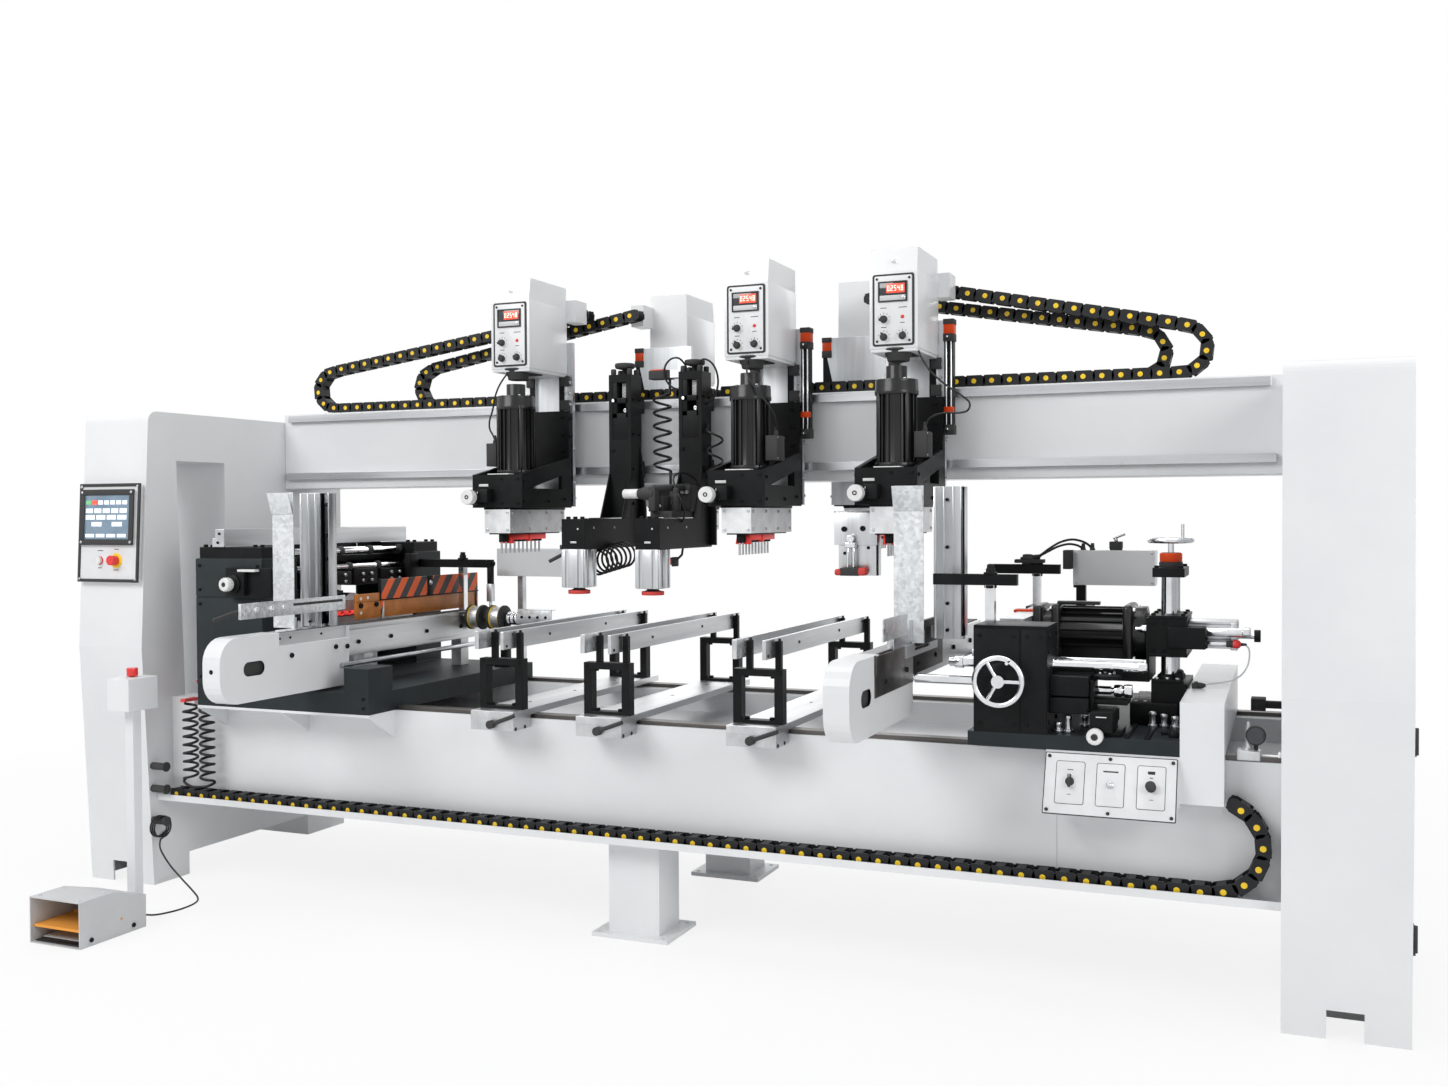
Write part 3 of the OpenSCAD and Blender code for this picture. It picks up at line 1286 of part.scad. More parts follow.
// Saddle on the lift posts: block, table for the drilling unit, feed cylinder to the right
module right_saddle() color("silver") place() {
  difference() {
    block([lift_block_x, lift_cy - lift_post_span * 0.85, lift_z],
      [lift_block_x + lift_block_w, lift_cy + lift_post_span * 0.85, lift_z + lift_block_h]);
    for (s = [-1, 1]) bar_up([lift_x, lift_cy + s * lift_post_span / 2, lift_z - over],
      lift_post_d + 2 * fit, lift_block_h + 2 * over);
    bar_up([lift_x, lift_cy, lift_z - over], wheel_shaft_d + 2 * over, lift_block_h + 2 * over);
  }
  block([hgear_x + hgear_w + saddle_t, lift_cy - lift_post_span * 0.85, table_low],
    [lift_block_x, lift_cy + lift_post_span * 0.85, table_low + saddle_t]);
  block([lift_block_x - saddle_t / 3, lift_cy - lift_post_span * 0.85, table_low],
    [lift_block_x, lift_cy + lift_post_span * 0.85, lift_z + lift_block_h]);
  block([lift_block_x + lift_block_w, lift_cy - lift_post_d, lift_z + lift_block_h / 6],
    [lift_block_x + lift_block_w + feed_cyl_l, lift_cy + lift_post_d, lift_z + lift_block_h * 5 / 6]);
  bar_x([lift_block_x + lift_block_w + feed_cyl_l, lift_cy, drill_z], rod_d, feed_rod_l);
  bar_x([lift_block_x + lift_block_w + feed_cyl_l + feed_rod_l - rod_d, lift_cy, drill_z], rod_d * 2,
    rod_d);
}

module right_drill() color("silver") place() {
  hdrill(hgear_x, hgear_y, lift_cy, -1);
  block([hgear_x + hgear_w, lift_cy - hmotor_d / 3, table_low + saddle_t],
    [hgear_x + hgear_w + hmotor_l * 0.9, lift_cy + hmotor_d / 3, drill_z]);
}

// Handwheel in its own plane, axis along Z: rim, hub, three spokes, handle and shaft downwards
module handwheel(d, shaft_l) {
  rotate_extrude() translate([(d - rim_d) / 2, 0]) circle(d = rim_d);
  cylinder(d = wheel_shaft_d * 2, h = rim_d, center = true);
  for (a = [0:120:240]) rotate([0, 90, a]) cylinder(d = rim_d * 0.7, h = (d - rim_d) / 2);
  translate([0, 0, -shaft_l]) cylinder(d = wheel_shaft_d, h = shaft_l);
  rotate(60) translate([(d - rim_d) / 2, 0, 0]) cylinder(d = rim_d * 0.6, h = rim_d * 3);
}

wheel_x = tower_x + right_tower_w * 0.38;
wheel_z = right_top + right_tower_h / 2;
wheel_off = wheel_shaft_d * 2.5;
module right_top_wheel() color("silver") place() translate([lift_x, lift_cy,
  post_top + collar_h + 2 * wheel_shaft_d]) handwheel(top_wheel_d, collar_h + 2 * wheel_shaft_d + saddle_t);
module right_side_wheel() color("silver") place() translate([wheel_x, right_y - wheel_off,
  wheel_z]) rotate([90, 0, 0]) handwheel(side_wheel_d, wheel_off + right_tower_d / 3);

// White cover over the right carriage's end and the panel under its front
module right_cover() color("white") place() {
  z0 = table_z + clear;
  difference() {
    union() {
      block([right_end, right_y, z0], [right_end + cover_w, right_y + right_d, z0 + cover_h]);
      block([right_end, right_y, table_z - cover_drop], [right_end + cover_w, bed_y - bed_t, z0 + over]);
    }
    block([right_end + bed_t, right_y + bed_t, z0 - over],
      [right_end + cover_w - bed_t, right_y + right_d - bed_t, z0 + cover_h - bed_t]);
  }
  block([right_end - panel_l, right_y, table_z - panel_h], [right_end, bed_y - bed_t, table_z]);
}

// Table support: slat on the bed rails, grip block, two pedestals and two bars
module support_frame(x) color("black") place() translate([x, 0, 0]) {
  y0 = bed_y - slat_front;
  ya = rail_front_y - ped_d * 1.9;
  yb = rail_rear_y - ped_d / 2;
  block([-slat_w / 2, y0, table_z], [slat_w / 2, bed_back + ped_d, slat_z]);
  difference() {
    block([-slat_w / 2, y0, table_z - grip_h], [slat_w / 2, y0 + grip_d, table_z]);
    bar_y([0, y0 - over, table_z - grip_h / 2], stem_d + 2 * fit, grip_d / 2);
  }
  for (y = [ya, yb]) {
    block([-slat_w / 2, y, slat_z], [slat_w / 2, y + ped_d, slat_z + ped_rail / 2]);
    for (s = [-1, 1]) block([s * (slat_w - post_w) / 2 - post_w / 2, y, slat_z],
      [s * (slat_w - post_w) / 2 + post_w / 2, y + ped_d, slat_z + ped_h]);
    block([-slat_w / 2, y, slat_z + ped_h - ped_rail], [slat_w / 2, y + ped_d, slat_z + ped_h]);
    for (s = [-1, 1]) block([s * slat_w / 3.4 + bar_t / 2, y + ped_d / 4, slat_z + ped_h],
      [s * slat_w / 3.4 + bar_t * 2, y + ped_d * 3 / 4, slat_z + ped_h + bar_pin_h]);
  }
  for (s = [-1, 1]) block([s * slat_w / 3.4 - bar_t / 2, ya - bar_front, bar_z],
    [s * slat_w / 3.4 + bar_t / 2, yb + ped_d * 2, work_z]);
}

module support_lever(x) color("black") place() translate([x, bed_y - slat_front - seat_gap,
  table_z - grip_h / 2]) {
  bar_y([0, -lever_d, 0], lever_d * 1.7, lever_d);
  bar_y([0, -lever_d, 0], stem_d, lever_d + grip_d / 3);
  rotate([0, -20, 0]) translate([0, -lever_d / 2, 0]) bar_x([0, 0, 0], lever_d * 0.8, lever_l);
}

// Foot switch housing with an open mouth
function pedal_outline(m, y0) = let (y1 = pedal_y + pedal_d)
  [[y0, m], [y0, pedal_h - m], [pedal_y + pedal_d / 2, pedal_h - m], [y1 - m, pedal_back_h - m],
    [y1 - m, m]];
module pedal_box() color("whitesmoke") place() difference() {
  along_x(pedal_x, pedal_w) polygon(pedal_outline(0, pedal_y));
  along_x(pedal_x + pedal_t, pedal_w - 2 * pedal_t) polygon(pedal_outline(pedal_t, pedal_y - over));
  bar_x([pedal_x - over, treadle_y, treadle_z], treadle_pin_d + 2 * fit, pedal_w + 2 * over);
}

module pedal() color("orange") place() {
  gap = pedal_t + 4 * clear;
  bar_x([pedal_x, treadle_y, treadle_z], treadle_pin_d, pedal_w);
  bar_x([pedal_x + gap, treadle_y, treadle_z], treadle_pin_d * 2, pedal_w - 2 * gap);
  block([pedal_x + gap, pedal_y + pedal_t * 3, treadle_z - treadle_t / 2],
    [pedal_x + pedal_w - gap, treadle_y, treadle_z + treadle_t / 2]);
}

module estop_post() color("whitesmoke") place() {
  difference() {
    block([stand_x - stand_w / 2, stand_y - stand_w / 2, 0],
      [stand_x + stand_w / 2, stand_y + stand_w / 2, stand_h]);
    block([stand_x - stand_w / 2 + pedal_t, stand_y - stand_w / 2 + pedal_t, -over],
      [stand_x + stand_w / 2 - pedal_t, stand_y + stand_w / 2 - pedal_t, stand_h - pedal_t]);
  }
  difference() {
    block([stand_x - stand_box_w / 2, stand_y - stand_box_d / 2, stand_h],
      [stand_x + stand_box_w / 2, stand_y + stand_box_d / 2, stand_h + stand_box_h]);
    bar_up([stand_x, stand_y, stand_h + stand_box_h - hmi_t], button_stem_d + 2 * fit, hmi_t + over);
  }
}

module post_estop() color("red") place() translate([stand_x, stand_y,
  stand_h + stand_box_h]) rotate([-90, 0, 0]) {
  bar_y([0, -button_travel - clear - estop_h, 0], estop_d, estop_h);
  bar_y([0, -button_travel - clear, 0], button_stem_d, hmi_t - clear);
}

bed();
guide_rails();
left_portal();
right_portal();
gantry_beam();
control_panel();
left_housing();
left_conveyor();
pedal_box();
estop_post();
hose_pegs();
air_hose();
blow_gun();
pedal_cable();
pedal_coil();
bed_chain();
beam_chains();
cabinet_door();
start_button();
panel_estop();
post_estop();
pedal();
front_carriage(head1_x, arm_off, front_arm_reach, false);  // head1_carriage
front_ram(head1_x);  // head1_ram
front_gearbox(head1_x);  // head1_gearbox
front_spindle(head1_x);  // head1_spindle
front_knob(head1_x);  // head1_knob
front_carriage(head2_x, arm_off, 0);  // head2_carriage
front_ram(head2_x);  // head2_ram
front_gearbox(head2_x);  // head2_gearbox
front_spindle(head2_x);  // head2_spindle
front_knob(head2_x);  // head2_knob
front_carriage(head3_x, arm_off, front_arm_reach);  // head3_carriage
front_ram(head3_x);  // head3_ram
front_gearbox(head3_x);  // head3_gearbox
front_spindle(head3_x);  // head3_spindle
front_knob(head3_x);  // head3_knob
rear_carriage(rear1_x, arm_off, rear_arm_reach);  // rear1_carriage
rear_ram(rear1_x);  // rear1_ram
rear_carriage(rear2_x, -arm_off, rear_arm_reach);  // rear2_carriage
rear_ram(rear2_x);  // rear2_ram
clamp1_column();
clamp1_pad();
clamp2_column();
clamp2_pad();
clamp_hose();
support_frame(support1_x);  // support1_frame
support_lever(support1_x);  // support1_lever
support_frame(support2_x);  // support2_frame
support_lever(support2_x);  // support2_lever
support_frame(support3_x);  // support3_frame
support_lever(support3_x);  // support3_lever
left_drill();
right_base();
right_saddle();
right_drill();
right_top_wheel();
right_side_wheel();
right_conveyor();
right_cover();
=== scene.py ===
"""Looks of a line boring machine: finishes, cords, chains and small fittings over the CAD frame."""
import itertools
import json
import logging
import math
import sys
from dataclasses import dataclass, field
from enum import Enum
from typing import Callable, Iterable, Sequence

import bmesh
import bpy
from mathutils import Matrix, Vector

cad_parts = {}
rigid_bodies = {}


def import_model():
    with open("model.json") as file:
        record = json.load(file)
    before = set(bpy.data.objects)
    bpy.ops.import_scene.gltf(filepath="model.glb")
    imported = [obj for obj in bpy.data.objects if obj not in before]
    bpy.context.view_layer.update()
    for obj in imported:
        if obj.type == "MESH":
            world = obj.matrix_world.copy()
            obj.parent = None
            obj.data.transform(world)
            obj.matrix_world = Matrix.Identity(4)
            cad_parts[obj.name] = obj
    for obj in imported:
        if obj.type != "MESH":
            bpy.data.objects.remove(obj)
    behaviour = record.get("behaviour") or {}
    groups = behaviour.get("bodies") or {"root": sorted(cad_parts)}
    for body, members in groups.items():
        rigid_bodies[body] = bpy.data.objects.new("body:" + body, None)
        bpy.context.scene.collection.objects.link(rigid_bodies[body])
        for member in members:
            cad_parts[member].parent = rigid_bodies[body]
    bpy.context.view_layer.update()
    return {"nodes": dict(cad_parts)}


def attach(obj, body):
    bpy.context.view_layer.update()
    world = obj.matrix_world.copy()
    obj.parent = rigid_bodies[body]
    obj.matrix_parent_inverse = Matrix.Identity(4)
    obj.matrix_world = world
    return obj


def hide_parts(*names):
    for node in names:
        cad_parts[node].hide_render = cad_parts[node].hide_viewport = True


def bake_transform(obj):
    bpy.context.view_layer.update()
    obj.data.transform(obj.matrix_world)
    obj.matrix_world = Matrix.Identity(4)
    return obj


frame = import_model()
NODES: dict[str, bpy.types.Object] = frame["nodes"]

LOG = logging.getLogger("machine")
MID_X, MID_Y = 8.25, 375.0
LEFT, RIGHT, FRONT, BACK, DOWN, UP = (-1, 0, 0), (1, 0, 0), (0, -1, 0), (0, 1, 0), (0, 0, -1), (0, 0, 1)
OUT = (0, 1, 0)  # away from the face that a station or a panel lies on
SHARP = 40.0  # degrees: edges sharper than this are rounded
FACING = 0.95  # cosine: how squarely a face must look along a direction to count as facing it
NEAR = 1e-5  # metres: how far outside its box a face's middle may lie and still be painted
COAT_ROUGH, BUMP_DEPTH, WELD_GAP, FLAT_ANGLE = 0.12, 0.001, 0.00002, 1.0
Triple = Colour = tuple[float, float, float]


def at(x: float, y: float, z: float) -> Vector:
    """Row-frame point, in metres, of a machine point in millimetres from the columns' front plane."""
    return Vector(((x - MID_X) / 1000, (y - MID_Y) / 1000, z / 1000))


def station(x: float, v: float, z: float) -> Vector:
    """Point of a beam station, in metres: x across it, v out of the beam's face, z up."""
    return Vector((x / 1000, -v / 1000, z / 1000))


def grid(*axes: float | Sequence[float]) -> list[Triple]:
    """Points at every crossing of x, y and z, each given as one number or as a row of numbers."""
    return list(itertools.product(*(a if isinstance(a, tuple) else (a,) for a in axes)))


class Kind(Enum):
    """How a finish's surface varies."""

    COAT = "coat"
    BRUSHED = "brushed"
    SPANGLE = "spangle"
    STRIPED = "striped"
    MOULDED = "moulded"
    GLOW = "glow"


class Effects:
    """Shader node groups that more than one finish shares, each built once."""

    made: dict[str, bpy.types.NodeTree] = {}

    @staticmethod
    def wire(tree: bpy.types.NodeTree, *pairs: tuple) -> None:
        """Joins (node, socket, node, socket) rows in a tree."""
        for a, out, b, into in pairs:
            tree.links.new(tree.nodes[a].outputs[out], tree.nodes[b].inputs[into])

    @staticmethod
    def add(tree: bpy.types.NodeTree, kind: str, name: str, **values: object) -> None:
        """Adds a node by type and name, and sets its properties or input sockets by their names."""
        node = tree.nodes.new(kind)
        node.name = name
        for key, value in values.items():
            if hasattr(node, key):
                setattr(node, key, value)
            else:
                node.inputs[key.replace("_", " ").title()].default_value = value

    @classmethod
    def start(cls, name: str, **extra: str) -> bpy.types.NodeTree:
        """Opens a group that mixes two tones and two roughnesses.

        Args:
            name: the group's name.
            extra: further inputs and their socket types.

        Returns:
            The node tree; the tone's factor, the sheen's value and the height are left to join.
        """
        tree = bpy.data.node_groups.new(name, "ShaderNodeTree")
        colour, number = "NodeSocketColor", "NodeSocketFloat"
        inputs = {"Light": colour, "Dark": colour, "Rough Low": number, "Rough High": number, **extra}
        outputs = {"Colour": colour, "Rough": number, "Height": number}
        for side, sockets in (("INPUT", inputs), ("OUTPUT", outputs)):
            for label, kind in sockets.items():
                tree.interface.new_socket(label, in_out=side, socket_type=kind)
        tree.nodes.new("NodeGroupInput").name = "in"
        tree.nodes.new("NodeGroupOutput").name = "out"
        cls.add(tree, "ShaderNodeTexCoord", "place")
        cls.add(tree, "ShaderNodeMix", "tone", data_type="RGBA")
        cls.add(tree, "ShaderNodeMapRange", "sheen")
        cls.wire(tree, ("in", "Dark", "tone", 6), ("in", "Light", "tone", 7), ("tone", 2, "out", "Colour"),
                 ("in", "Rough Low", "sheen", "To Min"), ("in", "Rough High", "sheen", "To Max"),
                 ("sheen", 0, "out", "Rough"))
        return tree

    @classmethod
    def mottle(cls) -> bpy.types.NodeTree:
        """Broad patches of two tones with a fine peel."""
        t = cls.start("mottle", Patch="NodeSocketFloat", Fine="NodeSocketFloat", Stretch="NodeSocketVector")
        cls.add(t, "ShaderNodeVectorMath", "pull", operation="MULTIPLY")
        cls.add(t, "ShaderNodeTexNoise", "patch", detail=5.0, roughness=0.62)
        cls.add(t, "ShaderNodeTexNoise", "fine", detail=2.0)
        cls.add(t, "ShaderNodeMapRange", "spread", from_min=0.36, from_max=0.66)
        cls.wire(t, ("place", "Object", "pull", 0), ("in", "Stretch", "pull", 1), ("pull", 0, "patch", "Vector"),
                 ("pull", 0, "fine", "Vector"), ("in", "Patch", "patch", "Scale"), ("in", "Fine", "fine", "Scale"),
                 ("patch", 0, "spread", "Value"), ("spread", 0, "tone", 0), ("fine", 0, "sheen", "Value"),
                 ("fine", 0, "out", "Height"))
        return t

    @classmethod
    def spangle(cls) -> bpy.types.NodeTree:
        """Zinc crystals: cells of differing grey and gloss."""
        t = cls.start("spangle", Patch="NodeSocketFloat")
        cls.add(t, "ShaderNodeTexVoronoi", "cells")
        cls.add(t, "ShaderNodeTexNoise", "cloud", scale=9.0, detail=4.0)
        cls.add(t, "ShaderNodeSeparateColor", "pick")
        cls.add(t, "ShaderNodeMath", "sum", operation="MULTIPLY_ADD")
        t.nodes["sum"].inputs[1].default_value = 0.45
        cls.add(t, "ShaderNodeMapRange", "spread", from_min=0.35, from_max=0.95)
        cls.wire(t, ("place", "Object", "cells", "Vector"), ("place", "Object", "cloud", "Vector"),
                 ("in", "Patch", "cells", "Scale"), ("cells", "Color", "pick", 0), ("pick", 0, "sum", 0),
                 ("cloud", 0, "sum", 2), ("sum", 0, "spread", "Value"), ("spread", 0, "tone", 0),
                 ("pick", 1, "sheen", "Value"), ("pick", 0, "out", "Height"))
        return t

    @classmethod
    def stripes(cls) -> bpy.types.NodeTree:
        """Slanting bands of two colours, a little scuffed."""
        t = cls.start("stripes", Slant="NodeSocketVector")
        cls.add(t, "ShaderNodeVectorMath", "run", operation="DOT_PRODUCT")
        cls.add(t, "ShaderNodeMath", "saw", operation="FRACT")
        cls.add(t, "ShaderNodeMath", "band", operation="GREATER_THAN")
        cls.add(t, "ShaderNodeTexNoise", "scuff", scale=70.0, detail=5.0)
        cls.wire(t, ("place", "Object", "run", 0), ("in", "Slant", "run", 1), ("run", 1, "saw", 0),
                 ("saw", 0, "band", 0), ("band", 0, "tone", 0), ("place", "Object", "scuff", "Vector"),
                 ("scuff", 0, "sheen", "Value"), ("scuff", 0, "out", "Height"))
        return t

    @classmethod
    def group(cls, kind: Kind) -> bpy.types.NodeTree:
        """Gives the group of a kind of finish, built at its first use."""
        build = {Kind.SPANGLE: cls.spangle, Kind.STRIPED: cls.stripes}.get(kind, cls.mottle)
        if build.__name__ not in cls.made:
            cls.made[build.__name__] = build()
        return cls.made[build.__name__]


@dataclass(frozen=True)
class Finish:
    """One finish of the machine and the record's slot that it stands for."""

    name: str
    slot: str
    kind: Kind
    light: Colour
    dark: Colour
    rough: tuple[float, float] = (0.35, 0.5)
    metal: float = 0.0
    coat: float = 0.0
    patch: float = 3.0
    fine: float = 900.0
    bump: float = 0.05
    stretch: Triple = (1.0, 1.0, 1.0)
    glow: float = 0.0
    shine: float = 0.5

    def material(self) -> bpy.types.Material:
        """Builds the material, or gives the one built before.

        Returns:
            The node material of this finish.
        """
        found = bpy.data.materials.get(self.name)
        if found:
            return found
        mat = bpy.data.materials.new(self.name)
        mat.use_nodes = True
        tree = mat.node_tree
        shader = tree.nodes["Principled BSDF"]
        shader.inputs["Metallic"].default_value = self.metal
        shader.inputs["Coat Weight"].default_value = self.coat
        shader.inputs["Coat Roughness"].default_value = COAT_ROUGH
        shader.inputs["Specular IOR Level"].default_value = self.shine
        group = tree.nodes.new("ShaderNodeGroup")
        group.node_tree = Effects.group(self.kind)
        values = {"Light": (*self.light, 1), "Dark": (*self.dark, 1), "Patch": self.patch, "Fine": self.fine,
                  "Rough Low": self.rough[0], "Rough High": self.rough[1], "Stretch": self.stretch,
                  "Slant": self.stretch}
        for socket in group.inputs:
            socket.default_value = values[socket.name]
        bump = tree.nodes.new("ShaderNodeBump")
        bump.inputs["Strength"].default_value = self.bump
        bump.inputs["Distance"].default_value = BUMP_DEPTH
        tree.links.new(group.outputs["Colour"], shader.inputs["Base Color"])
        tree.links.new(group.outputs["Rough"], shader.inputs["Roughness"])
        tree.links.new(group.outputs["Height"], bump.inputs["Height"])
        tree.links.new(bump.outputs["Normal"], shader.inputs["Normal"])
        if self.kind is Kind.GLOW:
            tree.links.new(group.outputs["Colour"], shader.inputs["Emission Color"])
            shader.inputs["Emission Strength"].default_value = self.glow
        return mat


class Finishes:
    """The finishes of this machine."""

    WHITE = Finish("white_enamel", "white_paint", Kind.COAT, (0.80, 0.81, 0.82), (0.745, 0.757, 0.77), (0.28, 0.42),
                   coat=0.15, patch=1.4, fine=700, bump=0.05)
    GREY = Finish("grey_enamel", "white_paint", Kind.COAT, (0.62, 0.63, 0.64), (0.54, 0.55, 0.56), (0.34, 0.5),
                  patch=2.5, fine=700)
    DARK = Finish("dark_enamel", "dark_paint", Kind.COAT, (0.027, 0.034, 0.036), (0.018, 0.023, 0.025), (0.38, 0.56),
                  patch=3.0, fine=800, bump=0.12, shine=0.16)
    BLACK = Finish("black_enamel", "black_paint", Kind.COAT, (0.013, 0.0135, 0.0145), (0.006, 0.0065, 0.007),
                   (0.32, 0.52), patch=6.0, fine=900, bump=0.12, shine=0.11)
    MOTOR = Finish("motor_black", "black_paint", Kind.COAT, (0.011, 0.0115, 0.0125), (0.006, 0.006, 0.007),
        (0.22, 0.40), coat=0.18, patch=8.0, fine=600, bump=0.06, shine=0.3)
    STEEL = Finish("ground_steel", "steel", Kind.BRUSHED, (0.60, 0.61, 0.63), (0.44, 0.45, 0.47), (0.22, 0.40), 1.0,
                   patch=14.0, fine=420, bump=0.05, stretch=(0.05, 1.0, 1.0))
    # Painted reflection: this dark base colour paints in the dark reflection that makes the bed rails look dark; the
    # steel is not dark of itself.
    STEEL_PAINTED_DARK = Finish("steel_painted_dark_reflection", "steel", Kind.BRUSHED, (0.16, 0.15, 0.145), (0.07, 0.065, 0.062), (0.3, 0.46), 0.9,
                  patch=12.0, fine=420, bump=0.05, stretch=(0.05, 1.0, 1.0))
    CHROME = Finish("chrome", "bright", Kind.BRUSHED, (0.80, 0.81, 0.83), (0.66, 0.67, 0.69), (0.07, 0.15), 1.0,
                    patch=10.0, fine=300, bump=0.02)
    ALLOY = Finish("alloy_profile", "alloy", Kind.BRUSHED, (0.66, 0.67, 0.68), (0.45, 0.46, 0.475), (0.28, 0.46), 1.0,
                   patch=9.0, fine=520, bump=0.07, stretch=(1.0, 0.06, 1.0))
    ALLOY_UP = Finish("alloy_upright", "alloy", Kind.BRUSHED, (0.70, 0.715, 0.73), (0.44, 0.455, 0.47), (0.24, 0.42),
                      1.0, patch=8.0, fine=480, bump=0.07, stretch=(1.0, 1.0, 0.08))
    CAST = Finish("alloy_cast", "alloy", Kind.BRUSHED, (0.70, 0.71, 0.72), (0.56, 0.57, 0.58), (0.36, 0.54), 0.9,
                  patch=16.0, fine=700, bump=0.14)
    ZINC = Finish("zinc_sheet", "alloy", Kind.SPANGLE, (0.74, 0.76, 0.77), (0.50, 0.52, 0.54), (0.28, 0.50), 0.85,
                  patch=85.0, bump=0.02)
    HAZARD = Finish("hazard_stripes", "orange_plastic", Kind.STRIPED, (0.86, 0.12, 0.015), (0.016, 0.016, 0.018),
                    (0.35, 0.55), stretch=(0.0, 10.5, -8.5), bump=0.04)
    ORANGE = Finish("orange_plastic", "orange_plastic", Kind.MOULDED, (0.80, 0.15, 0.02), (0.66, 0.10, 0.012),
                    (0.34, 0.5), patch=20.0)
    SIGNAL = Finish("signal_orange", "orange_plastic", Kind.MOULDED, (0.82, 0.080, 0.010), (0.70, 0.055, 0.007),
                    (0.34, 0.48), patch=20.0, fine=700, shine=0.25)
    AMBER = Finish("amber_block", "orange_plastic", Kind.MOULDED, (0.60, 0.21, 0.035), (0.42, 0.13, 0.02),
                   (0.30, 0.48), patch=14.0)
    YELLOW = Finish("yellow_plug", "orange_plastic", Kind.MOULDED, (0.95, 0.66, 0.02), (0.88, 0.56, 0.015),
                    (0.32, 0.46), patch=30.0)
    RED = Finish("red_plastic", "red_plastic", Kind.MOULDED, (0.72, 0.030, 0.022), (0.58, 0.020, 0.015), (0.26, 0.4),
                 coat=0.2, patch=18.0)
    BITS = Finish("red_bits", "red_bits", Kind.MOULDED, (0.64, 0.030, 0.028), (0.48, 0.020, 0.018), (0.3, 0.46),
                  patch=26.0)
    PAD = Finish("red_rubber", "red_rubber", Kind.MOULDED, (0.74, 0.040, 0.008), (0.60, 0.028, 0.006), (0.5, 0.66),
                 patch=24.0, bump=0.15)
    KNOB = Finish("white_knob", "white_plastic", Kind.MOULDED, (0.80, 0.80, 0.79), (0.73, 0.73, 0.72), (0.3, 0.44),
                  coat=0.15, patch=30.0)
    PLATE = Finish("panel_plate", "white_plastic", Kind.MOULDED, (0.77, 0.78, 0.79), (0.71, 0.72, 0.73), (0.34, 0.5),
                   patch=12.0)
    PLASTIC = Finish("black_plastic", "black_plastic", Kind.MOULDED, (0.013, 0.013, 0.014), (0.007, 0.007, 0.008),
                     (0.36, 0.54), patch=20.0, bump=0.1, shine=0.3)
    RUBBER = Finish("hose_black", "black_plastic", Kind.MOULDED, (0.013, 0.013, 0.014), (0.007, 0.007, 0.008),
                    (0.3, 0.46), patch=30.0, bump=0.05, shine=0.35)
    LINK = Finish("chain_link", "black_plastic", Kind.MOULDED, (0.015, 0.0155, 0.0175), (0.008, 0.0085, 0.0095),
                  (0.42, 0.6), patch=24.0, bump=0.12, shine=0.3)
    BELT = Finish("belt", "black_plastic", Kind.MOULDED, (0.045, 0.046, 0.045), (0.028, 0.029, 0.028), (0.6, 0.78),
                  patch=30.0, bump=0.3)
    GLASS = Finish("screen_glass", "black_plastic", Kind.MOULDED, (0.020, 0.024, 0.032), (0.012, 0.014, 0.020),
                   (0.06, 0.12), coat=0.6, patch=6.0, bump=0.0)
    LED = Finish("red_led", "red_plastic", Kind.GLOW, (0.95, 0.10, 0.05), (0.75, 0.04, 0.02), (0.3, 0.4), patch=60.0,
                 glow=1.1)
    LIT_PALE = Finish("meter_digit", "white_plastic", Kind.GLOW, (1.0, 0.86, 0.80), (0.95, 0.74, 0.66), (0.3, 0.4),
                      patch=40.0, glow=1.0)
    SCREEN = Finish("screen_back", "black_plastic", Kind.GLOW, (0.16, 0.23, 0.30), (0.11, 0.17, 0.23), (0.08, 0.16),
                    coat=0.5, patch=8.0, bump=0.0, glow=0.35)
    KEY = Finish("screen_key", "white_plastic", Kind.GLOW, (0.80, 0.86, 0.95), (0.66, 0.76, 0.90), (0.2, 0.3),
                 patch=50.0, glow=0.55)
    LIT_GREEN = Finish("screen_green", "white_plastic", Kind.GLOW, (0.20, 0.55, 0.24), (0.12, 0.42, 0.16), (0.2, 0.3),
                       patch=40.0, glow=0.45)


